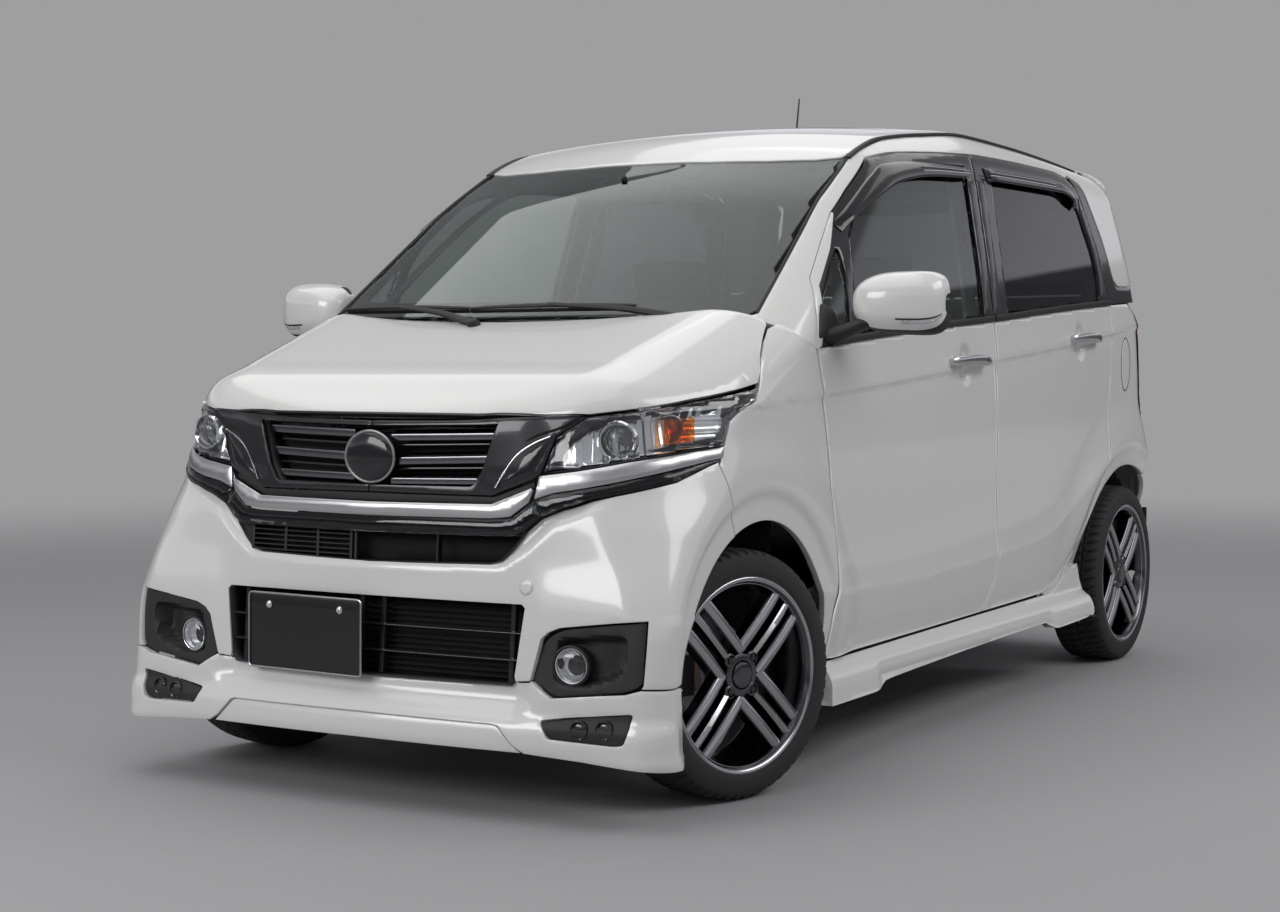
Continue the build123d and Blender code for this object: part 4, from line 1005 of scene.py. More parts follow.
def make_doors(s):
    """Four doors: the lower skin, the dark frame round the glass, the pillar trims, and an inner lining."""
    front = join(curve(FRONT_EDGE, 40)[::-1], belt_run(-.874, .218), curve(B_EDGE, 40))
    rear = join(curve(B_EDGE, 40)[::-1], belt_run(.218, 1.188), curve(REAR_EDGE, 60))
    top = np.array(A_LINE)
    frame_front = join(top, [(.218, 1.068)], belt_run(.20, -.86, n=20))
    frame_rear = join([(.218, 1.068)], REAR_TOP, curve(REAR_FRAME, 20), belt_run(1.17, .24, n=20))
    inner = [(y + dy, z + dz) for (y, z), dy, dz in zip(A_LINE[:6], (.026, .022, .017, .012, .010, .002),
                                                        (.006, -.010, -.016, -.018, -.017, -.004))]
    sliver = join(A_LINE[:6], inner[::-1])
    for name, skin, frame_line, panes, sides in (
            ("door_front", front, frame_front, [FRONT_PANE, VENT_PANE], DOORS[0]),
            ("door_rear", rear, frame_rear, [REAR_PANE], DOORS[1])):
        low = Mesh().panel(SIDE, skin, pitch=s.pitch, gap=s.panel_gap, lines=side_lines())
        made = pair(low, name + "_skin", sides, "paint", wall=s.panel_wall, edge=.0010)
        frame = Mesh().panel(UPPER_SIDE, frame_line, [rounded(p, .012, 4) for p in panes], pitch=s.pitch,
                             gap=s.panel_gap, offset=-.001)
        pair(frame, name + "_frame", sides, "gloss", wall=.022, edge=.002)
        lining = Mesh().panel(SIDE, inset(closed(skin, .03), .022), pitch=.03, offset=-.058)
        pair(lining, name + "_lining", sides, "cabin", wall=-.016, edge=.004)
        for k, side in enumerate(("left", "right")):
            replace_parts(made[k], name + "_" + side)
    # The rubber here is a near-black strip just behind the shut lines of the doors: painted shade in the gaps.
    rubber = Mesh()
    for line in (front, rear):
        shut = closed(line, .012)
        rubber.panel(SIDE, inset(shut, -.0016), [inset(shut, .0016)], pitch=.012, offset=-.0032)
    pair(rubber, "door_gap_shade", BOTH, "void", wall=.003)
    white = Mesh().panel(UPPER_SIDE, sliver, pitch=.008, offset=.0012)
    pair(white, "door_corner_sliver", DOORS[0], "paint", wall=.006, edge=.001)
    for k, name, line in ((0, "pillar_trim_front", [(.218, 1.076), (.274, 1.462), (.214, 1.455), (.158, 1.073)]),
                          (1, "pillar_trim_rear", [(.223, 1.076), (.280, 1.462), (.336, 1.460), (.275, 1.079)])):
        trim = Mesh().panel(UPPER_SIDE, line, pitch=.012, offset=.001, crown=(.003, .012))
        pair(trim, name, DOORS[k], "graphite", wall=.006, edge=.001)
    tail_trim = [(1.104, 1.140), (1.118, 1.215), (1.105, 1.292), (1.064, 1.408), (1.074, 1.452), (1.140, 1.306),
                 (1.166, 1.18), (1.178, 1.130)]
    trim = Mesh().panel(UPPER_SIDE, tail_trim, pitch=.012, offset=.001, crown=(.0025, .01))
    pair(trim, "window_tail_trim", DOORS[1], "graphite", wall=.005, edge=.001)
    for name, y0, y1, k in (("belt_moulding_front", -.80, .214, 0), ("belt_moulding_rear", .223, 1.182, 1)):
        run = lay_side(belt_run(y0, y1, .0065, 90), upper_f)
        strip = Mesh().swept(run + [.0022, 0, 0], bar(.013, .017, .004))
        pair(strip, name, DOORS[k], "smooth_black", recalc=True)


HANDLE_SPOTS = (("handle_front", -.107, .133, .9575, 0), ("handle_rear", .809, 1.041, 1.020, 1))


def make_handles(s):
    """Bright pull handles over their cups: a bowed bar with two feet, and a dark joint near its rear end."""
    for name, y0, y1, z, k in HANDLE_SPOTS:
        y = np.linspace(y0, y1, 60)
        t = (y - y0) / (y1 - y0)
        points = SIDE(np.c_[y, np.full(60, z) + .004 * np.sin(t * pi)])[0]
        base = np.interp(y, [y0, y1], [points[0, 0], points[-1, 0]])
        stand = .010 + .017 * np.sin(t * pi).clip(0) ** .45
        path = np.c_[base + stand, y, points[:, 2]]
        size = .80 + .20 * np.sin(t * pi) ** .4
        grip = Mesh().swept(path, circle(.0058, 24) * [1, 2.45], (0, 0, 1), size)
        for at in (.055, .945):
            foot = np.array([np.interp(at, t, base), y0 + at * (y1 - y0), z])
            grip.boxed(foot + [.004, 0, 0], (.013, .015, .010), .005)
        pair(grip, name, DOORS[k], "satin_bright", recalc=True)
        at = .80
        spot = np.array([np.interp(at, t, path[:, 0]), y0 + at * (y1 - y0), z + .003])
        a = np.linspace(0, 2 * pi, 24, endpoint=False)
        loop = spot + np.c_[np.sin(a) * .0058, np.zeros(24), np.cos(a) * .0118]
        joint = Mesh().grid(ring_tube(loop, .0008, 6, (0, 1, 0)), wrap_u=True, wrap_v=True)
        pair(joint, name + "_joint", DOORS[k], "void", recalc=True)
        if k == 0:
            gap = y0 + (y1 - y0) * .955
            lock = lathe([(.006, -.002), (.0062, .003), (.005, .004), (0., .0035)],
                         (np.interp(gap, y, base) + .018, gap, z), (1, 0, 0), (0, 0, 1), 20)
            Mesh().grid(lock, wrap_u=True).build("door_lock_left", DOORS[0][0], "chrome", recalc=True)


def make_side_glass(s):
    """Panes of the doors, a millimetre or two inside the frames."""
    for name, panes, bodies, finish in (("glass_front", (FRONT_PANE, VENT_PANE), DOORS[0], "side_glass"),
                                        ("glass_rear", (REAR_PANE,), DOORS[1], "privacy")):
        mesh = Mesh()
        for pane in panes:
            mesh.panel(UPPER_SIDE, inset(closed(rounded(pane, .012, 4), .014), -.004), pitch=.014, offset=-.006)
        made = pair(mesh, name + "_pane", bodies, finish, wall=s.glass_wall)
        for piece, side in zip(made, ("left", "right")):
            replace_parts(piece, name + "_" + side)


def make_side_frames(s):
    """Body sides: the pillars and rail over the doors, the rear quarters, the fuel lid and the door openings."""
    low = np.concatenate([lay_side(A_LINE, upper_f), lay_side(REAR_TOP[1:], upper_f), lay_side(D_EDGE, upper_f),
                          lay_side([(1.36, 1.186), (1.452, 1.187)], upper_f)])
    base = lay_side([(-.874, .990)], lower_f)
    foot = np.c_[[.644, .620, .612], [-.990, -1.000, -1.009], [1.052, 1.060, 1.066]]
    screen = cast(*front_rays(np.array([(.612, 1.075), (.594, 1.20), (.570, 1.35), (.551, 1.470)])), upper_f)
    seam = cast(*above_rays(np.c_[np.full(8, SEAM_X), np.linspace(-.345, 1.285, 8)]), upper_f)
    gate = cast(*rear_rays(np.array([(.5505, 1.535), (.572, 1.47), (.602, 1.35), (.628, 1.20)])), upper_f)
    line = np.concatenate([base, low[1:], gate[::-1], seam[::-1], screen[::-1], foot[::-1]])
    rail = Mesh().panel(ARCH, arch_flat(line), pitch=s.pitch, gap=s.panel_gap * .8, stretch=.72)
    made = pair(rail, "side_rail", BOTH, "paint", wall=.024, edge=.002)
    for piece, side in zip(made, ("left", "right")):
        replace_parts(piece, "side_frame_" + side)
    opening = lay_side(arc(REAR_ARCH, ARCH_R - .001, 62, 180.5, 60))
    sill = lay_side([(.96, .262), (.70, .266)])
    door = lay_side(curve(REAR_EDGE, 60)[::-1])
    edge = lay_side(belt_run(1.188, 1.43, 0., 12))
    split = lay_side([(1.530, .635), (1.556, .655)])
    lamp_low = np.array([[.605, .66], [.605, .76], [.7627, .76], [.7927, .80], [.8177, .95], [.8427, 1.135]])
    flat = join(tail_flat(opening), tail_flat(sill), tail_flat(door), tail_flat(edge), lamp_low[::-1],
                tail_flat(split)[::-1])
    quarter = Mesh().panel(TAILWRAP, flat, pitch=s.pitch, gap=s.panel_gap, lines=[side_t(k) for k in side_lines()])
    pair(quarter, "rear_quarter", BOTH, "paint", wall=s.panel_wall, edge=.0012)
    band = join(belt_run(1.192, 1.455, .002, 12), [(1.462, 1.184), (1.285, 1.182), (1.262, 1.190)],
                [(1.216, 1.330), (1.176, 1.420), (1.128, 1.494), (1.064, 1.516)],
                [(1.066, 1.490), (1.096, 1.447), (1.153, 1.304), (1.178, 1.18), (1.192, 1.13)])
    tail_band = Mesh().panel(UPPER_SIDE, band, pitch=.012, offset=-.002)
    pair(tail_band, "quarter_trim", BOTH, "gloss", wall=.012, edge=.0015)
    lid = arc((0, 0), 1., 0, 360, 49)[:-1] * [.040, .0815] + [1.320, .9405]
    # The groove is a near-black ring round the fuel lid, just proud of the side: painted shade in the lid's gap.
    groove = Mesh().panel(SIDE, inset(lid, -.0035), [lid], pitch=.012, offset=.0004)
    groove.build("fuel_lid_gap_shade", "body", "void", wall=.002)
    flap = Mesh().panel(SIDE, lid, pitch=.010, gap=.002, offset=.0012)
    piece = flap.build("fuel_lid_skin", "fuel_flap", "paint", wall=.012, edge=.0015)
    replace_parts(piece, "fuel_lid")
    front = join(curve(FRONT_EDGE, 40)[::-1], A_LINE[1:], [(.218, 1.068)], curve(B_EDGE, 40)[1:])
    rear = join(curve(B_EDGE, 40)[::-1], REAR_TOP, curve(REAR_FRAME, 20)[1:], curve(REAR_EDGE, 60)[1:])
    for name, line in (("door_jamb_front", front), ("door_jamb_rear", rear)):
        shut = closed(line, .02)
        frame = Mesh().panel(on(side_rays, body_f), inset(shut, -.012), [inset(shut, .034)], pitch=.02, offset=-.064)
        pair(frame, name, BOTH, "paint", wall=.012, edge=.003)


def tail_flat(points):
    """Points of space as (t, z) of the rear wrap."""
    return wrap_flat(points, FAN_REAR, 1.)


def body_f(x, y, z):
    """Distance outside the whole body: the lower part up to the belt and the glasshouse over it."""
    return np.minimum(np.maximum(lower_f(x, y, z), z - 1.10), np.maximum(upper_f(x, y, z), .95 - z))


def make_roof(s):
    """The roof between its two seams, the mouldings that fill them, and the aerial."""
    half = [(0, -.466), (.20, -.458), (.36, -.435), (.48, -.402), (.535, -.372), (.548, -.345), (.548, 1.24),
            (.545, 1.292), (.50, 1.297), (0, 1.305)]
    mesh = Mesh().panel(TOP, whole(half), pitch=.014, gap=.003)
    piece = mesh.build("roof_skin", "body", "paint", wall=.016, edge=.0025)
    seam = cast(*above_rays(np.c_[np.full(70, SEAM_X), np.linspace(-.372, 1.285, 70)]), upper_f)
    strip = Mesh().swept(seam + [0, 0, .0005], bar(.015, .011, .003))
    pair(strip, "roof_moulding", BOTH, "smooth_black", recalc=True)
    foot = np.array([-.410, 1.225, 0.])
    foot[2] = cast(*above_rays(foot[None, :2]), upper_f)[0, 2]
    base = [(.031, 0.), (.030, .006), (.024, .018), (.017, .028), (.010, .033), (.0, .034)]
    cone = lathe(base, foot - [0, 0, .003], (0, .08, 1), (1, 0, 0), 28)
    tip = np.array([-.424, 1.300, 1.840])
    t = np.linspace(0, 1, 40)[:, None]
    rod = foot + [0, .002, .028] + (tip - foot - [0, .002, .028]) * t
    turn = sweep(rod, circle(1., 10), (1, 0, 0), .0042 - .0020 * t[:, 0] + .0006 * (np.arange(40) % 2))
    aerial = Mesh().grid(cone, wrap_u=True).grid(turn, wrap_v=True)
    aerial.build("aerial", "body", "smooth_black", recalc=True)
    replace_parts(piece, "roof")
    lining = Mesh().panel(TOP, whole([(0, -.44), (.50, -.36), (.53, -.30), (.53, 1.25), (0, 1.28)]), pitch=.05,
                          offset=-.052)
    lining.build("roof_lining", "body", "cabin_grey", wall=-.012, edge=.003)


def make_front(s):
    """The front: bumper, lip, face panel with its grille, bands, openings, lamps' surrounds and a blank plate."""
    arch = wrap_flat(lay_side(arc(FRONT_ARCH, ARCH_R, 111.5, 175, 40)))
    arch[:, 0] -= .022 * (1 - step(arch[:, 1], .34, .50))
    split = wrap_flat(SPLIT)
    band_low = wrap_flat(BAND_LOW)
    slot_side = [(.3958, .608), (.3642, .5698), (.340, .5475), (.3124, .5397)]
    opening = [(.0, .4573), (.3985, .4573), (.4066, .450), (.3881, .3072), (.3914, .2965)]
    bezel = [(.4257, .2992), (.429, .3038), (.4535, .389), (.470, .4035), (.4963, .4139), (.6767, .4371),
             (.6667, .3052), (.6629, .2985)]
    half = join(opening, bezel, [(.7096, .2975), (.7340, .2980)], arch[::-1], split, band_low, slot_side,
                [(0, .5318)])
    skin = Mesh().panel(WRAP, whole(half), pitch=.010, gap=.0012, offset=bumper_relief)
    piece = skin.build("bumper_skin", "body", "paint", wall=.012, edge=.0022)
    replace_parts(piece, "front_bumper")

    # The lip under it, with a flatter middle plate set back in a step.
    lip = [(0, .2845), (.376, .2872), (.3881, .3005), (.3914, .2935), (.4257, .2962), (.429, .2995), (.482, .2672),
           (.6371, .2855), (.6629, .2955), (.7096, .2945), (.7430, .2945), (.7470, .2400), (.7500, .1500),
           (.7420, .1260), (.70, .130), (.56, .143), (.4300, .1515), (.404, .1671), (.366, .2045), (.354, .2085),
           (0, .2105)]
    spot = inset(closed(insert_line(), .01), -.001)
    mesh = Mesh().panel(WRAP, whole(lip), [spot, (spot * [-1, 1])[::-1]], pitch=.010, gap=.001, offset=lip_relief)
    piece = mesh.build("lip_skin", "body", "paint", wall=.016, edge=.003)
    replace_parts(piece, "front_spoiler")
    plate = [(0, .2085), (.353, .2065), (.363, .2025), (.400, .1660), (.418, .1505), (0, .1525)]
    Mesh().panel(WRAP, whole(plate), pitch=.012, gap=.0006, offset=-.005).build(
        "lip_middle", "body", "paint", wall=.014, edge=.003)
    for name, line, relief in (("fog_surround", bezel_line(), fog_relief),
                               ("lip_insert", insert_line(), insert_relief)):
        mesh = Mesh().panel(WRAP, line, pitch=.008, gap=.002, offset=relief)
        pair(mesh, name, BOTH, "black", wall=.006, edge=.0015)
    make_fog_lamps()

    # Face panel: a dark gloss frame round the grille, out to the lamps.
    inner = wrap_flat(np.array(LAMP)[:3])
    top = [(.5075, .8535), (.45, .853), (.3322, .8455), (.20, .8405), (0, .838)]
    face = join(top, [(0, .6835), (.3143, .6825), (.4085, .7185)], inner[::-1])
    hole = whole([(0, .700), (.262, .702), (.272, .708), (.2885, .737), (.3165, .8212), (.322, .832), (0, .826)])
    skin = Mesh().panel(WRAP, whole(face), [hole], pitch=.010, gap=.003, offset=face_relief)
    piece = skin.build("face_panel", "body", "graphite", wall=.012, edge=.003)
    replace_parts(piece, "upper_grille")
    wing = rounded([(.4460, .8085), (.4140, .7950), (.3765, .7700), (.3440, .7260), (.3280, .7010), (.3620, .7060),
                    (.4080, .7225)], .010, 4)
    mesh = Mesh().panel(WRAP, wing, pitch=.008, offset=.004, crown=(.006, .03))
    pair(mesh, "face_wing", BOTH, "gloss", wall=.008, edge=.001)
    for name, line, count, setback, section, finish in (
            ("wing_edge", [(.4440, .8105), (.4130, .7975), (.3745, .7720), (.3410, .7270), (.3255, .7005)], 40,
             -.0085, bar(.0035, .0035, .001), "chrome"),
            # The face groove is a near-black strip laid along the face panel's upper line: painted shade in a groove.
            ("face_groove_shade", [(.5015, .852), (.462, .8285), (.4133, .8125), (.372, .7850), (.3480, .7560),
                             (.3290, .7080)], 50, -.0045, bar(.0075, .005, .001), "void")):
        run = WRAP(curve(line, count))[0] + [0, setback, 0]
        pair(Mesh().swept(run, section), name, BOTH, finish, recalc=True)
    make_grille(s)

    # Bright band with its wings, and the smoked clear band below it.
    for name, half, finish, lift in (
            ("bright_band", [(0, .6625), (.3150, .6653), (.4070, .7010), (.4120, .6960), (.4034, .6703),
                             (.3623, .6395), (.3174, .6351), (0, .6320)], "band", .006),
            ("smoked_band", [(0, .6300), (.3174, .6330), (.3640, .6370), (.4045, .6670), (.4150, .6755),
                             (.4320, .6400), (.3982, .6113), (.3700, .5985), (0, .5950)], "smoke_lens", .004)):
        mesh = Mesh().panel(WRAP, whole(half), pitch=.010, gap=.001, offset=lift, crown=(.004, .014))
        piece = mesh.build(name, "body", finish, wall=.008, edge=.001)
        if name == "bright_band":
            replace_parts(piece, "chrome_band")
    # A near-black sheet behind the smoked band: painted shade under it.
    back = whole([(0, .628), (.36, .632), (.41, .668), (.425, .645), (.395, .612), (0, .597)])
    Mesh().panel(WRAP, back, pitch=.02, offset=-.012).build("band_shade_backing", "body", "void", wall=.004)
    ledge = whole([(0, .6815), (.3150, .6805), (.4070, .7150), (.4110, .7030), (.3160, .6665), (0, .6640)])
    Mesh().panel(WRAP, ledge, pitch=.012, offset=-.006).build(
        "face_step", "body", "smooth_black", wall=.01, edge=.001)
    make_openings(s)
    make_lamps(s)


def bumper_relief(p):
    """The bumper's own forms: a rolled crease under the slot and a raised cheek beside the openings."""
    x, z = np.abs(p[:, 0]), p[:, 1]
    crease_z = np.interp(x, [0, .34, .40, .46, .55, .65], [.523, .528, .566, .620, .652, .664])
    d = z - crease_z
    roll = np.where(d > 0, -.012 * step(d, 0, .022), 0.) * (1 - step(x, .50, .62))
    cheek = .008 * step(x, .40, .46) * (1 - step(x, .62, .70)) * (1 - step(z, .44, .56))
    return roll + cheek


def lip_relief(p):
    """The lip's shelf: proud low down, hollow under the bumper, with a raised cheek at each end of the opening."""
    x, z = np.abs(p[:, 0]), p[:, 1]
    shelf = -.014 * step(z, .232, .262) * (1 - step(x, .40, .46))
    cheek = .010 * step(x, .38, .44) * (1 - step(x, .62, .72)) * step(z, .20, .27)
    wing = .006 * (1 - step(z, .140, .165)) * step(x, .50, .70)
    return shelf + cheek + wing


def bezel_line():
    """The outline of the fog lamp's surround."""
    return rounded([(.432, .3020), (.4560, .3870), (.4980, .4115), (.6740, .4345), (.6640, .3040), (.6360, .2885),
                    (.4830, .2705)], [.006, .03, .03, .003, .02, .02, .012], 5)


def insert_line():
    """The outline of the lip's dark insert."""
    return rounded([(.4630, .2204), (.6500, .2450), (.6300, .1840), (.6120, .1815), (.4840, .1870)], .006, 4)


def insert_relief(p):
    """The lip's insert: a flat dark panel a little below the lip, its lower edge tucked in."""
    return lip_relief(p) - .004 - .006 * (1 - step(p[:, 1], .186, .205))


def fog_relief(p):
    """The fog lamp's surround: a rim at the edge that falls to a deep pocket, deeper on its outer side."""
    inner = rounded([(.487, .392), (.640, .4085), (.6290, .3215), (.560, .2935), (.478, .2985)], .02, 5)
    d = np.where(within(p, inner), edge_distance(p, inner), 0)
    return -.004 - .030 * step(d, 0, .012) - .010 * step(p[:, 0], .57, .62) * step(d, 0, .01)


def face_relief(p):
    """The face panel is proud beside the grille and falls away to its outline."""
    x, z = np.abs(p[:, 0]), p[:, 1]
    return .004 + .006 * step(x, .27, .33) * (1 - step(x, .36, .44)) * step(z, .70, .74)


def turned_pair(name, profile, centre, way, steps, finish, out=None, **how):
    """A profile turned about a slanting axis, on both sides."""
    mesh = Mesh().grid(lathe(profile, centre, way, (0, 0, 1), steps), wrap_u=True, out=out)
    return pair(mesh, name, BOTH, finish, **how)


def make_fog_lamps():
    """Fog lamps and the pairs of small lamps in the lip: a cup, a lens and a ring each."""
    centre = WRAP(np.array([[.5186, .3358]]))[0][0]
    way = np.array([.10, -.995, 0])
    ring = [(.034, -.030), (.041, -.030), (.044, -.012), (.0435, -.004), (.040, -.002), (.037, -.006), (.036, -.016)]
    lens = [(.0365, -.010), (.033, -.004), (.024, .0005), (.012, .0025), (0., .003)]
    cup = [(.036, -.006), (.032, -.022), (.022, -.034), (.008, -.040), (0., -.041)]
    made = turned_pair("fog_ring", ring, centre, way, 40, "black", recalc=True)
    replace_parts(made[0], "fog_lamps")
    turned_pair("fog_lens", lens, centre, way, 40, "lens", wall=.002, recalc=True)
    turned_pair("fog_reflector", cup, centre, way, 40, "lamp_pearl", way, wall=.002)
    rings, lenses, cups = Mesh(), Mesh(), Mesh()
    for x, z in ((.5471, .2076), (.5962, .2109)):
        centre = WRAP(np.array([[x, z]]))[0][0] - way * .004
        rings.lathed([(.0165, -.010), (.0200, -.010), (.0205, .000), (.0190, .0025), (.0170, .0015),
                      (.0165, -.004)], centre, way, (0, 0, 1), 32)
        lenses.lathed([(.0168, -.004), (.012, -.001), (0., .0005)], centre, way, (0, 0, 1), 32)
        cups.grid(lathe([(.0165, -.004), (.013, -.014), (.005, -.019), (0., -.020)], centre, way, (0, 0, 1), 32),
                  wrap_u=True, out=way)
    pair(rings, "lip_lamp_rings", BOTH, "gloss", recalc=True)
    pair(lenses, "lip_lamp_lenses", BOTH, "lens", wall=.0015, recalc=True)
    pair(cups, "lip_lamp_cups", BOTH, "dark_chrome", slot="chrome_trim", wall=.0015)


def across(z0, z1, x0, x1, depth, height, setback):
    """A bar across the nose between two places, a wedge section carried along the form."""
    x = np.linspace(x0, x1, 44)
    run = WRAP(np.c_[x, np.linspace(z0, z1, 44)])[0] + [0, setback, 0]
    prof = [(depth / 2, -height / 2), (depth / 2, height * .1), (-depth / 2, height / 2), (-depth / 2, -height * .2)]
    return sweep(run, rounded(prof, .002, 3))


def make_grille(s):
    """The grille: three stepped bars each side of a bare oval pad, a near-black backing deep behind them that is
    painted shade, and thin bars between.
    """
    bars, thin = Mesh(), Mesh()
    for z_in, z_out, x_out, h in ((.8070, .8130, .303, .024), (.7560, .7640, .290, .026), (.7120, .7160, .268, .022)):
        for sign in (-1, 1):
            bars.grid(across(z_in, z_out, sign * .050, sign * x_out, .022, h, .020), wrap_v=True)
    for z in (.7860, .7350):
        for sign in (-1, 1):
            thin.grid(across(z, z + .006, sign * .05, sign * .285, .010, .007, .030), wrap_v=True)
    bars.build("grille_bars", "body", "dark_chrome", recalc=True)
    thin.build("grille_thin_bars", "body", "graphite", recalc=True)
    # A near-black sheet deep behind the grille: painted shade inside it.
    back = whole([(0, .690), (.28, .690), (.34, .840), (0, .836)])
    Mesh().panel(WRAP, back, pitch=.02, offset=-.055).build("grille_shade_backing", "body", "void", wall=.004)
    side = [(0, .698), (.264, .700), (.291, .737), (.320, .824), (.324, .834), (0, .828)]
    Mesh().grid(tunnel(side, .056, .012, .006), wrap_u=True).build(
        "grille_tunnel", "body", "black", wall=-.002, recalc=True)
    oval = arc((0, 0), 1., 0, 360, 65)[:-1] * [.066, .056] + [0, .7600]
    pad = Mesh().panel(plane((0, -1.6290, 0), (1, 0, 0), (0, 0, 1)), oval, pitch=.006, crown=(.014, .05))
    pad.build("bare_pad", "body", "gloss", wall=.018, edge=.002)
    path = np.c_[oval[:, 0], np.full(len(oval), -1.6305), oval[:, 1]]
    Mesh().grid(ring_tube(path, .0035), wrap_u=True, wrap_v=True).build(
        "pad_rim", "body", "satin", recalc=True)


def ring_tube(path, radius, n=10, normal=(0, -1, 0)):
    """A round tube along a closed flat path."""
    t = np.roll(path, -1, axis=0) - np.roll(path, 1, axis=0)
    t /= np.linalg.norm(t, axis=1, keepdims=True)
    up = np.asarray(normal, float)
    side = np.cross(t, up)
    side /= np.linalg.norm(side, axis=1, keepdims=True)
    a = np.linspace(0, 2 * pi, n, endpoint=False)
    return path[:, None] + radius * (side[:, None] * np.cos(a)[None, :, None] + up * np.sin(a)[None, :, None])


def tunnel(half, depth, pitch=.014, front=.004):
    """The inner wall behind an opening, straight back into the car."""
    ring = WRAP(closed(whole(half), pitch))[0]
    return np.stack([ring + [0, front, 0], ring + [0, depth, 0]], 1)


def make_openings(s):
    """The slot and the lower opening: dark inner walls, slats on the right, bars, radiator fins, and the plate."""
    slot = [(0, .5318), (.3124, .5397), (.340, .5475), (.3642, .5698), (.3958, .608), (.385, .600), (0, .596)]
    lower = [(0, .2858), (.376, .2882), (.3881, .3072), (.4066, .450), (.3985, .4573), (0, .4573)]
    wells = Mesh().grid(tunnel(slot, .050), wrap_u=True).grid(tunnel(lower, .060), wrap_u=True)
    wells.build("opening_walls", "body", "black", wall=-.002, recalc=True)
    # Near-black sheets deep inside the slot and the lower opening: painted shade in them.
    back = Mesh().panel(WRAP, whole(slot), pitch=.02, offset=-.046)
    back.panel(WRAP, whole(lower), pitch=.02, offset=-.056)
    piece = back.build("opening_shade_backs", "body", "void", wall=.003)
    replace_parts(piece, "lower_grilles")
    slats, frame = Mesh(), Mesh()
    for z in (.5890, .5780, .5670, .5560, .5450):
        slats.grid(across(z, z - .001, -.345, -.055, .010, .005, .012), wrap_v=True)
    for x in (-.345, -.245, -.150, -.055, -.042):
        run = WRAP(np.array([[x, .5960], [x, .5420 if x < -.2 else .5340]]))[0] + [0, .012, 0]
        slats.swept(run, bar(.008, .010, .002), (0, 1, 0))
    cover = [(-.402, .6075), (-.345, .5985), (-.345, .5480), (-.3642, .5698)]
    slats.panel(WRAP, cover, pitch=.02, offset=-.012)
    run = WRAP(np.array([[.178, .5960], [.178, .5350]]))[0] + [0, .014, 0]
    slats.swept(run, bar(.004, .016, .001), (0, 1, 0))
    slats.build("slot_slats", "body", "smooth_black", recalc=True)
    for z in (.3960, .3395):
        frame.grid(across(z, z, -.396, .396, .014, .0045, .016), wrap_v=True)
    for sign in (-1, 1):
        for x in (.030, .365):
            run = WRAP(np.array([[sign * x, .4560], [sign * x, .2880]]))[0] + [0, .030, 0]
            frame.swept(run, bar(.012, .014, .002), (0, 1, 0))
    frame.build("lower_bars", "body", "graphite", slot="black_matte", recalc=True)
    rows = Mesh()
    for z in np.arange(.297, .452, .012):
        rows.grid(across(z, z, -.36, .36, .006, .003, .044), wrap_v=True)
    rows.build("radiator_fins", "body", "void", recalc=True)
    lay = plane((-.1560, -1.6700, .3660), (.9980, -.0640, 0), (0, .02, .9998))
    board = rounded([(-.167, -.0835), (.167, -.0835), (.167, .0835), (-.167, .0835)], .010, 6)
    Mesh().panel(lay, board, pitch=.03).build("number_plate", "body", "plate", wall=.0035, edge=.0008)
    ring = lay(board)[0] + [0, -.0015, 0]
    Mesh().grid(ring_tube(ring, .0024, 8), wrap_u=True, wrap_v=True).build(
        "plate_frame", "body", "satin", recalc=True)
    bolts = Mesh()
    for u in (-.105, .105):
        at = lay(np.array([[u, .058]]))[0][0]
        bolts.lathed([(.0085, -.002), (.0085, .001), (.006, .0035), (.004, .0040), (.0035, .0022), (0., .0020)],
                     at + [0, -.002, 0], (0, -1, 0), (1, 0, 0), 12)
    bolts.build("plate_bolts", "body", "chrome", recalc=True)
    disc = arc((.408, .4944), .0175, 0, 360, 41)[:-1]
    Mesh().panel(WRAP, disc, pitch=.006, offset=bumper_relief, crown=(.0016, .004)).build(
        "tow_eye_cover", "body", "paint", wall=.003)


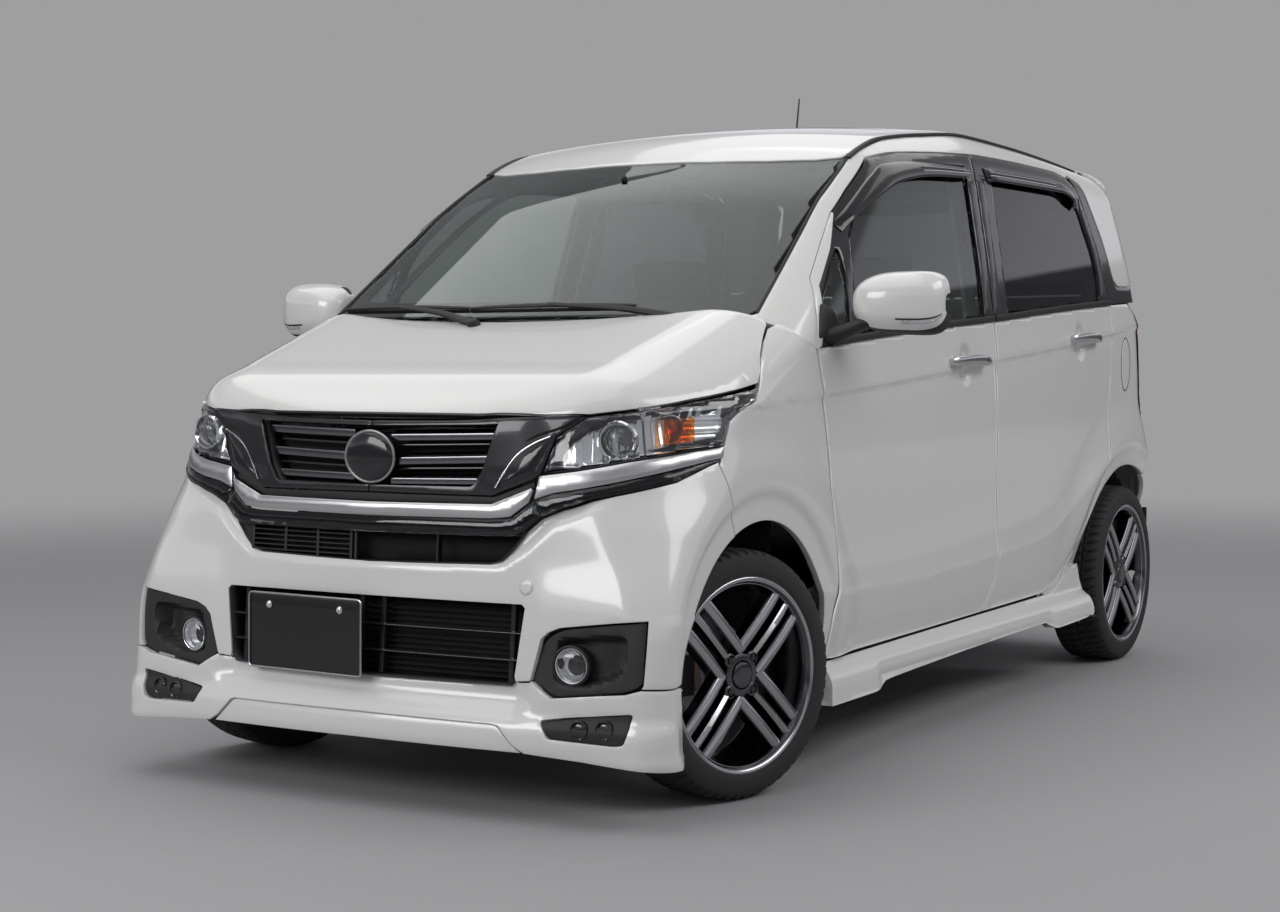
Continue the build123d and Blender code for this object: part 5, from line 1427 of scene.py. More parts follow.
def make_lamps(s):
    """Headlamps: a dark shell, reflectors, a projector, an amber cluster, ribs, a clear cover and a bright strip."""
    line = wrap_flat(LAMP)
    cover = Mesh().panel(WRAP, line, pitch=.010, gap=.006, offset=.001, crown=(.002, .02))
    made = pair(cover, "lamp_cover", BOTH, "lens", wall=.0025)
    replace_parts(made[0], "headlamps")
    shell = Mesh().panel(WRAP, line, pitch=.010, gap=.007, offset=lamp_depth)
    pair(shell, "lamp_shell", BOTH, "lamp_grey", wall=.003)
    bowl = wrap_flat([(.509, -1.556, .824), (.462, -1.577, .786), (.447, -1.590, .748), (.5999, -1.524, .776),
                      (.665, -1.44, .795), (.672, -1.40, .852), (.610, -1.48, .846), (.560, -1.525, .840)])
    reflector = Mesh().panel(WRAP, rounded(bowl, .012, 4), pitch=.007, offset=bowl_depth)
    pair(reflector, "lamp_reflector", BOTH, "lamp_pearl", wall=.002)
    rib_zone = wrap_flat([(.676, -1.395, .850), (.668, -1.43, .795), (.7105, -1.330, .806), (.7095, -1.300, .830),
                          (.7050, -1.300, .868)])
    ribs = Mesh().panel(WRAP, rib_zone, pitch=.004,
                        offset=lambda p: -.014 - .003 * np.abs(np.sin(p[:, 1] * pi / .0095)))
    pair(ribs, "lamp_ribs", BOTH, "lamp_pearl", wall=.002)
    way = np.array([.16, -.985, -.04])
    eye = WRAP(wrap_flat([(.567, -1.535, .801)]))[0][0] + [0, .016, 0]
    ring = [(.0355, -.016), (.0420, -.014), (.0445, -.004), (.0435, .003), (.0400, .006), (.0370, .004),
            (.0345, -.006)]
    ball = [(.0350, -.010), (.033, -.003), (.026, .006), (.016, .0115), (.006, .0138), (0., .0142)]
    well = [(.0350, -.008), (.033, -.024), (.022, -.034), (0., -.036)]
    turned_pair("projector_ring", ring, eye, way, 48, "chrome", recalc=True)
    turned_pair("projector_lens", ball, eye, way, 48, "lens", wall=.004, recalc=True)
    turned_pair("projector_well", well, eye, way, 48, "dark_chrome", way, wall=.002)
    amber = WRAP(wrap_flat([(.6445, -1.448, .822)]))[0][0] + [-.010, .030, 0]
    out = np.array([.62, -.78, 0])
    cup = [(.030, -.004), (.027, -.018), (.018, -.028), (.008, -.031), (0., -.032)]
    bulb = [(.012, -.030), (.012, -.014), (.009, -.004), (.004, .000), (0., .001)]
    turned_pair("indicator_cup", cup, amber, out, 36, "lamp_pearl", out, wall=.002)
    turned_pair("indicator_bulb", bulb, amber, out, 28, "amber", recalc=True)
    flutes = wrap_flat([(.648, -1.458, .792), (.693, -1.392, .800), (.692, -1.380, .850), (.646, -1.450, .844)])
    lens = Mesh().panel(WRAP, flutes, pitch=.0035, offset=lambda p: -.009 + .0012 * np.sin(p[:, 0] * 2 * pi / .008))
    pair(lens, "indicator_lens", BOTH, "amber", wall=.0015)
    strip = join(wrap_flat(STRIP_HIGH), wrap_flat(STRIP_LOW))
    bright = Mesh().panel(WRAP, strip, pitch=.009, gap=.001, offset=.004, crown=(.003, .012))
    pair(bright, "lamp_strip", BOTH, "band", wall=.008, edge=.001)
    dark = join(wrap_flat(STRIP_LOW) - [0, .002], [(.4150, .6755)], wrap_flat(BAND_LOW)[:-1][::-1] + [0, .0015])
    smoke = Mesh().panel(WRAP, dark, pitch=.009, gap=.001, offset=.0035, crown=(.003, .010))
    pair(smoke, "lamp_smoked_strip", BOTH, "smoke_lens", wall=.003, edge=.0008)
    # A near-black sheet behind the smoked strip: painted shade under it.
    under = Mesh().panel(WRAP, dark, pitch=.014, gap=.004, offset=-.006)
    pair(under, "lamp_strip_shade_backing", BOTH, "void", wall=.003)


def lamp_depth(p):
    """The lamp's shell falls steeply from the outline to its floor."""
    return -.004 - .050 * step(edge_distance(p, wrap_flat(LAMP)), .002, .024)


def bowl_depth(p):
    """The reflector's bowl about the projector, with two upright steps."""
    centre = wrap_flat([(.567, -1.535, .801)])[0]
    r = np.hypot(p[:, 0] - centre[0], p[:, 1] - centre[1])
    return -.046 + .34 * np.minimum(r, .14) ** 1.25 * .55 - .004 * np.floor((p[:, 0] + .004) / .030 % 2)


def make_windscreen(s):
    """The windscreen with its black edge and seals, the cowl's cover with its ribs, and the wipers."""
    outline = whole(SCREEN_HALF)
    glass = Mesh().panel(SCREEN, inset(closed(outline, .014), .003), pitch=.014, offset=-.003)
    piece = glass.build("windscreen_pane", "body", "windscreen", wall=.005)
    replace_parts(piece, "windscreen")
    clear = rounded(whole([(0, 1.112), (.30, 1.113), (.520, 1.118), (.560, 1.130), (.553, 1.20), (.530, 1.35),
                           (.514, 1.435), (.495, 1.452), (.35, 1.460), (.090, 1.463), (.070, 1.425), (0, 1.422)]),
                    .02, 4)
    edge = Mesh().panel(SCREEN, inset(closed(outline, .014), .006), [clear], pitch=.014, offset=-.0098)
    edge.build("windscreen_edge", "body", "void", slot="black_gloss", wall=.0012)
    seal = Mesh()
    side = np.array(SCREEN_HALF[5:10])
    for sign in (-1, 1):
        run, way = SCREEN(curve(side * [sign, 1], 40))
        seal.swept(run - way * .002, circle(.0050, 10), (0, 1, 0))
    seal.build("windscreen_seal", "body", "smooth_black", recalc=True)
    half = [(0, 1.000), (.30, 1.003), (.52, 1.010), (.60, 1.022), (.628, 1.052), (.606, 1.066), (.560, 1.0585),
            (.40, 1.0535), (.20, 1.051), (0, 1.0505)]
    cowl = Mesh().panel(SCREEN, whole(half), pitch=.014,
                        offset=lambda p: -.004 - .012 * (1 - step(p[:, 1], 1.02, 1.05)))
    piece = cowl.build("cowl_cover", "body", "black", wall=.005, edge=.001)
    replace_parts(piece, "cowl")
    slots = Mesh()
    for x in np.arange(-.50, .51, .025):
        run = SCREEN(np.array([[x - .008, 1.030], [x + .008, 1.030]]))[0] + [0, -.008, .002]
        slots.swept(run, bar(.004, .012, .001))
    slots.build("cowl_ribs", "body", "smooth_black", recalc=True)
    make_wipers()


def make_wipers():
    """Two wipers at rest along the foot of the screen: a tapered arm, a blade holder and a rubber edge."""
    arms, rubbers = Mesh(), Mesh()
    for pivot, elbow, tip, start in (((.50, 1.050), (.30, 1.074), (.120, 1.080), (-.10, 1.078)),
                                     ((-.06, 1.046), (-.20, 1.070), (-.330, 1.078), (-.555, 1.082))):
        way = curve([pivot, elbow, tip], 30)
        arm = SCREEN(way)[0] + SCREEN(way)[1] * np.linspace(.010, .024, 30)[:, None]
        arms.swept(arm, bar(.016, .009, .003), (0, -.7, .7), np.linspace(1.25, .62, 30))
        hub = SCREEN(np.array([pivot]))
        arms.lathed([(0., .024), (.011, .022), (.015, .014), (.017, 0.), (.017, -.02)], hub[0][0], hub[1][0],
                    (1, 0, 0), 20)
        span = np.linspace(0, 1, 40)[:, None]
        line = np.array(start) + (np.array([2 * tip[0] - start[0], tip[1] + .001]) - start) * span
        bow = .017 + .004 * np.sin(span * pi)
        blade = SCREEN(line)[0] + SCREEN(line)[1] * bow
        size = .55 + .45 * np.sin(np.linspace(.15, pi - .15, 40))
        arms.swept(blade, bar(.011, .007, .003), (0, -.7, .7), size)
        rubber = SCREEN(line)[0] + SCREEN(line)[1] * .008
        rubbers.swept(rubber, bar(.003, .011, .001), (0, -.7, .7))
    arms.build("wiper_arms", "body", "smooth_black", recalc=True)
    rubbers.build("wiper_rubbers", "body", "smooth_black", recalc=True)


VISOR_FRONT = ([(-.612, 1.296), (-.50, 1.362), (-.375, 1.430), (-.30, 1.462), (-.10, 1.482), (.222, 1.489)],
               [(-.600, 1.276), (-.448, 1.350), (-.249, 1.416), (-.05, 1.442), (.222, 1.454)])
VISOR_REAR = ([(.350, 1.496), (.70, 1.497), (.93, 1.491), (1.010, 1.470), (1.052, 1.430)],
              [(.361, 1.457), (.71, 1.456), (.90, 1.455), (.972, 1.443), (1.010, 1.412)])


def make_visors(s):
    """Rain visors over the side windows: a smoked strip that stands off at its lower edge, with a bright line."""
    for k, (name, (top, low)) in enumerate((("visor_front", VISOR_FRONT), ("visor_rear", VISOR_REAR))):
        a, b = curve(top, 70), curve(low, 70)
        rows = []
        along = np.linspace(0, 1, 70)
        ends = (step(along, 0, .07) * (1 - step(along, .95, 1)))[:, None]
        for t, lift in ((0, .002), (.10, .008), (.3, .0125), (.6, .0155), (.9, .0165), (1., .0145)):
            points, normals = UPPER_SIDE(a + (b - a) * t)
            rows.append(points + normals * (.002 + (lift - .002) * ends))
        visor = Mesh().grid(np.stack(rows, 1), out=(1, 0, .2))
        pair(visor, name, DOORS[k], "visor", wall=.003, edge=.0008)
        strip = Mesh()
        first, last = ((.62, .995), (.005, .74))[k]
        for t in (.40, .66):
            path = a + (b - a) * t
            part = slice(int(70 * first), int(70 * last))
            points, normals = UPPER_SIDE(path[part])
            strip.swept(points + normals * .0158, bar(.0030, .0030 + .0030 * (t > .5), .001))
        pair(strip, name + "_line", DOORS[k], "chrome", recalc=True)


def mirror_point(u, v, grow=0.):
    """The door mirror's shell: a rounded box across x with a bowed front; u runs outwards and v from below over the
    front to the top."""
    k = np.abs(2 * u - 1)
    fall = np.where(u < .5, (1 - k ** 2.6) ** (1 / 2.6), (1 - k ** 4.2) ** (1 / 4.2))
    c, q = np.cos(v), np.sin(v)
    high = (.0730 + grow) * fall * (1 + .10 * u)
    z = 1.0985 - np.sign(c) * np.abs(c) ** .66 * np.where(c > 0, high * .94, high) - .004 * u
    y = -.7150 - np.abs(q) ** .80 * (.0980 + grow) * fall ** .8 * (1 - .30 * u ** 2.2)
    return np.stack([.7480 + .2255 * u + 0 * v, y + .010 * u, z], -1)


def mirror_patch(u0, u1, v0, v1, grow, nu=40, nv=24):
    """A part of the mirror's shell between two places out along it and two angles round it."""
    u = .5 - .5 * np.cos(np.linspace(np.arccos(1 - 2 * u0), np.arccos(1 - 2 * u1), nu))
    v = np.radians(np.linspace(v0, v1, nv))
    return Mesh().grid(mirror_point(u[:, None], v[None, :], grow), out=lambda m: m - [.87, -.735, 1.10])


def make_mirrors(s):
    """Door mirrors: a white cap with an indicator strip, a black foot and underside, and the mirror itself."""
    bodies = DOORS[0]
    made = pair(mirror_patch(.001, .999, 40, 180, 0), "mirror_cap", bodies, "paint", wall=.004, edge=.0012)
    for piece, side in zip(made, ("left", "right")):
        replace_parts(piece, "mirror_" + side)
    pair(mirror_patch(.001, .999, 0, 38, -.0008), "mirror_underside", bodies, "black", wall=.004, edge=.001)
    pair(mirror_patch(.62, .992, 60, 68, .0016), "mirror_indicator", bodies, "lens", wall=.003, edge=.0008)
    # A near-black band of the shell between the cap and the indicator: painted shade in the groove there.
    pair(mirror_patch(.56, .985, 69, 72, .0010, nv=4), "mirror_groove_shade", bodies, "void", wall=.001)
    pair(mirror_patch(.63, .985, 61, 67, .0005), "mirror_indicator_back", bodies, "lamp_pearl", wall=.001)
    lay = plane((.861, -.7165, 1.0965), (-.9988, -.0480, 0), (0, 0, 1))
    frame = rounded([(-.101, -.063), (.103, -.061), (.103, .066), (-.094, .073)], [.03, .024, .036, .036], 7)
    inner = inset(closed(frame, .01), .007)
    back = Mesh().panel(lay, closed(frame, .01), [inner], pitch=.012)
    pair(back, "mirror_frame", bodies, "black", wall=.010, edge=.002)
    glass = Mesh().panel(lay, inset(inner, -.001), pitch=.02, offset=-.005, crown=(.0012, .04))
    pair(glass, "mirror_glass", bodies, "mirror", wall=.003)
    foot = np.array([(.700, -.772, 1.020), (.728, -.772, 1.030), (.752, -.768, 1.040), (.782, -.762, 1.052),
                     (.820, -.758, 1.060)])
    run = curve(foot, 24)
    size = np.interp(np.linspace(0, 1, 24), [0, .35, .7, 1], [1.5, 1.05, .95, .8])
    stem = Mesh().swept(run, circle(.036, 28, .45), (0, 0, 1), size)
    pair(stem, "mirror_foot", bodies, "black", recalc=True)
    sail = rounded([(-.858, 1.016), (-.8325, 1.062), (-.806, 1.100), (-.760, 1.085), (-.722, 1.033), (-.76, 1.024)],
                   .012, 4)
    plate = Mesh().panel(UPPER_SIDE, sail, pitch=.01, offset=.002, crown=(.004, .012))
    pair(plate, "mirror_base", bodies, "black", wall=.006, edge=.001)


def skirt_f(x, y, z):
    """Distance outside the sill skirt: upright low down, rolled in at the top, with proud ends."""
    fin = (1 - step(y, -.58, -.53)) + step(y, .63, .67)
    face = skirt(z) + fin * np.maximum(0, .7350 - skirt(z)) * (1 - step(z, .200, .232))
    return x - np.maximum(face, side_x(y, z) + .006 * step(y, .62, .70) - .02 * (1 - step(y, .60, .66)))


SKIRT = [(.140, .716), (.155, .722), (.165, .7275), (.175, .7285), (.184, .7245), (.190, .7220), (.200, .7265),
         (.215, .7275), (.232, .7245), (.241, .7170), (.249, .7050), (.262, .6930), (.30, .686), (.345, .680)]
skirt = smooth_curve(SKIRT)
SILL = on(side_rays, skirt_f)


def make_skirts(s):
    """Sill skirts with a shelf along the top and a lower fin at each end."""
    top = [(-.832, .2545), (-.70, .2555), (.20, .2645), (.697, .2685), (.770, .2775), (.826, .2990), (.868, .3280),
           (.990, .3360)]
    line = join(top, [(.996, .1830), (.905, .1780), (.70, .1740), (.668, .1755), (.610, .1965), (.560, .1980),
                      (-.470, .1800), (-.520, .1765), (-.552, .1605), (-.60, .1580), (-.832, .1570)])
    shelf = [np.c_[np.linspace(-.82, .98, 180), np.full(180, z)] for z in (.1840, .1900, .2430)]
    panel = Mesh().panel(SILL, line, pitch=.0085, lines=shelf)
    made = pair(panel, "skirt_skin", BOTH, "paint", wall=.030, edge=.003)
    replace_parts(made[0], "side_skirts")
    # A near-black strip set back behind the line between the doors and the skirt: painted shade in that gap.
    strip = Mesh().panel(SIDE, [(-.828, .240), (-.828, .266), (.69, .276), (.69, .250)], pitch=.02, offset=-.012)
    pair(strip, "sill_gap_shade", BOTH, "void", wall=.006)


LAMP_BACK = [(.607, .764), (.7615, .764), (.7900, .803), (.8155, .951), (.8405, 1.128), (.8405, 1.184), (.607, 1.184)]


def make_rear(s):
    """The rear end: tailgate, its glass, lamps, spoiler and bumper."""
    body = on(rear_rays, body_f)
    gate = join([(0, .500), (.455, .500), (.556, .602), (.5965, .680), (.5995, 1.182), (.622, 1.198), (.598, 1.35),
                 (.568, 1.47), (.548, 1.532), (.30, 1.553), (0, 1.561)])
    hole = join([(0, 1.162), (.498, 1.166), (.541, 1.192), (.528, 1.320), (.499, 1.447), (.468, 1.487), (0, 1.497)])
    recess = [(-.31, .690), (.31, .690), (.335, .720), (.335, .832), (.31, .850), (-.31, .850), (-.335, .832),
              (-.335, .720)]
    well = rounded(recess, .02, 5)

    def relief(p):
        """The tailgate's recess for the plate and the ledge under the glass."""
        d = np.where(within(p, well), edge_distance(p, well), 0)
        ledge = .004 * step(p[:, 1], .86, .90) * (1 - step(p[:, 1], 1.10, 1.14))
        return ledge - .026 * step(d, 0, .030)

    skin = Mesh().panel(body, whole(gate), [whole(hole)], pitch=.012, gap=.0045, offset=relief)
    piece = skin.build("tailgate_skin", "tail_door", "paint", wall=.020, edge=.0022)
    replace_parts(piece, "tailgate")
    pane = Mesh().panel(body, inset(closed(whole(hole), .03), .0035), pitch=.04, offset=-.002)
    piece = pane.build("tailgate_pane", "tail_door", "privacy", wall=.004)
    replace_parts(piece, "tailgate_glass")
    clear = rounded(inset(closed(whole(hole), .06), .045), .02, 3)
    edge = Mesh().panel(body, inset(closed(whole(hole), .02), .004), [clear], pitch=.02, offset=-.0075)
    edge.build("tailgate_glass_edge", "tail_door", "void", slot="black_gloss", wall=.001)
    bar_line = rounded([(-.315, .868), (.315, .868), (.330, .880), (.322, .912), (-.322, .912), (-.330, .880)],
                       .008, 4)
    garnish = Mesh().panel(body, bar_line, pitch=.012, offset=.006, crown=(.006, .018))
    garnish.build("tailgate_garnish", "tail_door", "gloss", wall=.012, edge=.0015)
    bright = Mesh().panel(body, rounded([(-.318, .9145), (.318, .9145), (.316, .9215), (-.316, .9215)], .003, 3),
                          pitch=.012, offset=.009, crown=(.002, .004))
    bright.build("tailgate_bright_line", "tail_door", "chrome", wall=.010)
    grip = Mesh().swept(body(np.c_[np.linspace(-.11, .11, 30), np.full(30, .858)])[0] + [0, -.004, 0],
                        bar(.018, .016, .004))
    grip.build("tailgate_grip", "tail_door", "black", recalc=True)
    lights = Mesh()
    for x in (-.19, .19):
        at = body(np.array([[x, .846]]))[0][0]
        lights.boxed(at + [0, -.008, .002], (.032, .012, .007), .004)
    lights.build("plate_lights", "tail_door", "lens", recalc=True)
    wiper = body(np.c_[np.linspace(.02, -.30, 30), 1.182 + .010 * np.sin(np.linspace(0, pi, 30))])
    arm = Mesh().swept(wiper[0] + wiper[1] * .016, bar(.014, .008, .003), (0, 1, 0), np.linspace(1.2, .6, 30))
    hub = body(np.array([[.02, 1.180]]))
    arm.lathed([(0., .026), (.012, .024), (.018, .014), (.020, -.004)], hub[0][0], hub[1][0], (1, 0, 0), 24)
    blade = body(np.c_[np.linspace(-.10, -.42, 30), np.full(30, 1.196)])
    arm.swept(blade[0] + blade[1] * .009, bar(.005, .014, .002), (0, 1, 0))
    arm.build("rear_wiper", "tail_door", "smooth_black", recalc=True)
    make_tail_lamps(s)
    make_rear_bumper(s)
    make_spoiler(s)


def make_tail_lamps(s):
    """Upright tail lamps: a red cover and a clear band over a housing with rings."""
    cover = Mesh().panel(TAILWRAP, LAMP_BACK, pitch=.010, gap=.003, offset=.003, crown=(.005, .014))
    made = pair(cover, "tail_lamp_cover", BOTH, "red", wall=.003, edge=.001)
    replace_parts(made[0], "tail_lamps")
    clear = [(.628, .846), (.776, .846), (.790, .922), (.628, .922)]
    band = Mesh().panel(TAILWRAP, rounded(clear, .006, 3), pitch=.010, offset=.0095)
    pair(band, "tail_lamp_clear", BOTH, "lens", wall=.002, edge=.0006)
    shell = Mesh().panel(TAILWRAP, LAMP_BACK, pitch=.009, gap=.005,
                         offset=lambda p: -.003 - .032 * step(edge_distance(p, np.array(LAMP_BACK)), .002, .018))
    pair(shell, "tail_lamp_shell", BOTH, "satin", wall=.002)
    rings = Mesh()
    for t, z, r in ((.705, 1.090, .050), (.700, .985, .044)):
        at, way = (k[0] for k in TAILWRAP(np.array([[t, z]])))
        rings.lathed([(r, -.028), (r + .003, -.010), (r - .003, -.006), (r - .008, -.026), (r * .5, -.030)],
                     at, way, (0, 0, 1), 40)
    pair(rings, "tail_lamp_rings", BOTH, "lamp_pearl", recalc=True)


def make_rear_bumper(s):
    """The rear bumper: a broad skin, a dark lower insert with fins, a guard at each end, and reflectors."""
    arch = tail_flat(lay_side(arc(REAR_ARCH, ARCH_R, 62, 2, 40)))
    split = tail_flat(lay_side([(1.493, .5816), (1.530, .635), (1.556, .655)]))
    half = join([(0, .496), (.457, .496), (.558, .600), (.5990, .6575)], split[::-1], arch,
                [(.9200, .245), (.80, .232), (.40, .222), (.36, .250), (.32, .300), (0, .304)])

    def relief(p):
        """The bumper stands out over a band low down and tucks in at its lower edge."""
        z = p[:, 1]
        return .010 * step(z, .30, .34) * (1 - step(z, .40, .46)) - .006 * (1 - step(z, .24, .27))

    skin = Mesh().panel(TAILWRAP, whole(half), pitch=.012, gap=.004, offset=lambda p: relief(p) - .010)
    piece = skin.build("rear_bumper_skin", "body", "paint", wall=.014, edge=.003)
    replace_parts(piece, "rear_bumper")
    insert = whole([(0, .301), (.318, .297), (.357, .247), (.397, .2195), (0, .2100)])
    dark = Mesh().panel(TAILWRAP, insert, pitch=.012, gap=.002, offset=-.020)
    dark.build("rear_insert", "body", "black", wall=.010, edge=.002)
    fins = Mesh()
    for x in (-.24, -.12, 0, .12, .24):
        run = TAILWRAP(np.array([[x, .295], [x, .215]]))[0] - [0, .010, 0]
        fins.swept(run, bar(.006, .022, .002), (0, 1, 0))
    fins.build("rear_fins", "body", "smooth_black", recalc=True)
    guard = curve(tail_flat([(.712, 1.600, .470), (.712, 1.606, .330), (.712, 1.600, .205)]), 30)
    run, way = TAILWRAP(guard)
    flap = Mesh().swept(run - way * .002, bar(.014, .012, .003), (0, 1, 0))
    flap.boxed(run[-1] + [-.012, .008, .004], (.016, .020, .014), .004)
    pair(flap, "rear_guard", BOTH, "smooth_black", recalc=True)
    line = rounded([(.42, .345), (.56, .350), (.556, .374), (.42, .368)], .008, 4)
    mark = Mesh().panel(TAILWRAP, line, pitch=.010, offset=.0005, crown=(.0015, .006))
    pair(mark, "rear_reflector", BOTH, "red", wall=.004, edge=.0008)


def make_spoiler(s):
    """The roof spoiler: a wing section that follows the roof's crown, with a fin down each side of the glass."""
    x = np.linspace(-.556, .556, 57)
    high = cast(*above_rays(np.c_[x, np.full(57, 1.285)]), upper_f)[:, 2]
    sag = high - high[28]
    section = rounded([(1.312, 1.5885), (1.400, 1.5905), (1.560, 1.5630), (1.640, 1.5300), (1.6465, 1.5190),
                       (1.6380, 1.5130), (1.545, 1.5180), (1.440, 1.5280), (1.330, 1.5480)], .004, 3)
    k = np.abs(x) / .556
    grid = np.stack([np.broadcast_to(x[:, None], (57, len(section))),
                     section[None, :, 0] - .045 * k[:, None] ** 3 * (section[None, :, 0] > 1.5),
                     section[None, :, 1] + sag[:, None] - .004 * k[:, None] ** 4], -1)
    wing = Mesh().grid(capped(grid)[:-1], wrap_v=True)      # the end at +X stays open, beside its fin
    piece = wing.build("spoiler_wing", "tail_door", "paint", recalc=True)
    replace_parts(piece, "rear_spoiler")
    line = rounded([(1.330, 1.556), (1.440, 1.552), (1.545, 1.536), (1.592, 1.518), (1.600, 1.440), (1.588, 1.372),
                    (1.566, 1.360), (1.540, 1.430), (1.470, 1.520)], .012, 4)
    fin = Mesh().panel(on(side_rays, lambda x, y, z: x - .5560 - .06 * np.maximum(0, 1.52 - z)), line, pitch=.012,
                       crown=(.003, .01))
    pair(fin, "spoiler_fin", ("tail_door", "tail_door"), "paint", wall=.012, edge=.003)
    lamp = rounded([(-.13, 1.5255), (.13, 1.5255), (.13, 1.5155), (-.13, 1.5155)], .003, 3)
    glow = Mesh().panel(plane((0, 1.6445, 0), (-1, 0, 0), (0, 0, 1)), lamp, pitch=.02)
    glow.build("high_stop_lamp", "tail_door", "red", wall=.006, edge=.001)


# ---------------------------------------------------------------- wheels
# Each axle's end: x, y, the angle the wheel is turned by, and the side it looks to.
AXLES = {"front_left": (.597, -1.185, STEER, 1), "front_right": (-.597, -1.185, STEER, -1),
         "rear_left": (.597, 1.335, 0., 1), "rear_right": (-.597, 1.335, 0., -1)}
AXLE_Z, WHEEL_SHIFT = .2775, .040         # height of the axles, and how far out of them a wheel's middle is


def tyre_mesh():
    """A low tyre: its section turned round the axle, with cut grooves round and across the tread."""
    section = [(-.0780, .2150), (-.0822, .2215), (-.0826, .2350), (-.0818, .2480), (-.0790, .2600), (-.0755, .2670),
               (-.0700, .2716), (-.0630, .2745), (-.0545, .2762)]
    tread = [(x, .2762 + .0012 * (1 - (x / .055) ** 2)) for x in np.linspace(-.050, .050, 29)]
    rows = np.array(section + tread + [(-a, b) for a, b in section[::-1]])
    x, r = rows.T
    n = 600
    a = np.linspace(0, 2 * pi, n, endpoint=False)[:, None]
    ax = np.abs(x)[None, :]
    groove = sum(np.exp(-((x[None, :] - c) / .0034) ** 4) for c in (-.031, 0., .031))
    slant = a * 60 / (2 * pi) + np.sign(x)[None, :] * (ax - .05) * 9
    across = (np.abs((slant % 1) - .5) > .36) * ((ax > .036) & (ax < .0795) | (ax < .026) & (ax > .006))
    shoulder = np.interp(ax, [0, .05, .072, .0795], [.0045, .0052, .0046, .0])
    ring = .0010 * (np.exp(-((r - .2405) / .0016) ** 4) + np.exp(-((r - .2200) / .0014) ** 4))[None, :]
    depth = np.maximum(.0062 * groove, across * shoulder * (r > .257)[None, :])
    radius = r[None, :] - depth
    side = x[None, :] + np.sign(x)[None, :] * ring * (ax > .07)
    return Mesh().grid(np.stack([side + 0 * a, -np.sin(a) * radius, np.cos(a) * radius], -1), wrap_u=True,
                       out=lambda m: m)


def turned(profile, steps=96, start=(0, 0, 1)):
    """A profile of (x, radius) rows turned round the axle."""
    return lathe([(r, x) for x, r in profile], (0, 0, 0), (1, 0, 0), start, steps)


def turn_x(points, angle):
    """Points turned about the axle's line."""
    c, q = cos(angle), sin(angle)
    return np.asarray(points) @ np.array([[1, 0, 0], [0, c, -q], [0, q, c]]).T


def spoke(shift, width, high, lift, r0, r1, shoulder=.7, ridge=.36, n=26):
    """One bar of a wheel along +Z: a six-sided section whose top narrows to a ridge, carried along a slight bow."""
    z = np.linspace(r0, r1, n)
    t = (z - r0) / (r1 - r0)
    face = lift + .0030 * np.sin(t * pi) + .004 * t
    k = width * (1 + .10 * t)
    prof = np.array([(-.5, 0), (-.5, shoulder), (-ridge, 1.), (ridge, 1.), (.5, shoulder), (.5, 0)])
    g = np.stack([face[:, None] + (prof[None, :, 1] - 1) * high + 0 * z[:, None],
                  shift + prof[None, :, 0] * k[:, None], z[:, None] + 0 * prof[None, :, 0]], -1)
    return capped(g)


def rim_meshes(s):
    """A wheel's parts: the dark body, the machined faces, the cap and the nuts."""
    dark, bright, cap, nuts = Mesh(), Mesh(), Mesh(), Mesh()
    lip = [(-.079, .2130), (-.0795, .2185), (-.0765, .2190), (-.0740, .2130), (-.060, .2040), (-.030, .1975),
           (.030, .1960), (.060, .2000), (.0735, .2085), (.0770, .2150), (.0790, .2180), (.0805, .2185),
           (.0812, .2160), (.0800, .2110), (.0765, .2065), (.0700, .2015), (.0560, .1965), (.0300, .1925),
           (-.030, .1940), (-.060, .2000), (-.0740, .2080)]
    dark.grid(turned(lip, 128), wrap_u=True, wrap_v=True)
    bright.grid(turned([(.0812, .2163), (.0818, .2150), (.0812, .2118), (.0788, .2085), (.0790, .2078)], 128),
                wrap_u=True)
    hub = [(-.030, .030), (-.030, .046), (.040, .048), (.0600, .0480), (.0645, .0465), (.0662, .0430), (.0664, .0330),
           (.0640, .0310), (.0600, .0305)]
    dark.grid(turned(hub, 72), wrap_u=True)
    for group in range(s.spokes):
        angle = (group + .5) * 2 * pi / s.spokes
        for shift in (-.0405, 0., .0405):
            start = .032 if shift else .057
            end = sqrt(.2065 ** 2 - shift ** 2)
            wide = .0250 if shift else .0190
            bar_body = spoke(shift, wide, .034, .0630, start, end, .86)
            strip = spoke(shift, wide * .86, .0062, .0680, start + .004, end - .002, .12, .05)
            dark.grid(turn_x(bar_body, angle), wrap_v=True)
            bright.grid(turn_x(strip, angle), wrap_v=True)
    bright.grid(turned([(.0690, .2005), (.0712, .2012), (.0712, .2026), (.0690, .2034)], 128), wrap_u=True)
    cap.grid(turned([(.0600, .0300), (.0660, .0300), (.0690, .0280), (.0705, .0240), (.0712, .0150),
                     (.0714, 0.)], 64), wrap_u=True)
    for k in range(4):
        a = radians(45 + 90 * k)
        at = np.array([0, -.0490 * sin(a), .0490 * cos(a)])
        well = [(.0300, .0175), (.0610, .0175), (.0650, .0160), (.0668, .0135), (.0668, .0118), (.0560, .0110),
                (.0560, .0)]
        nuts.grid(turned([(.0500, .0092), (.0640, .0092), (.0668, .0078), (.0676, .0045), (.0672, .0030),
                          (.0668, .0)], 6) + at, wrap_u=True)
        dark.grid(turned(well, 24) + at, wrap_u=True)
    return dark, bright, cap, nuts


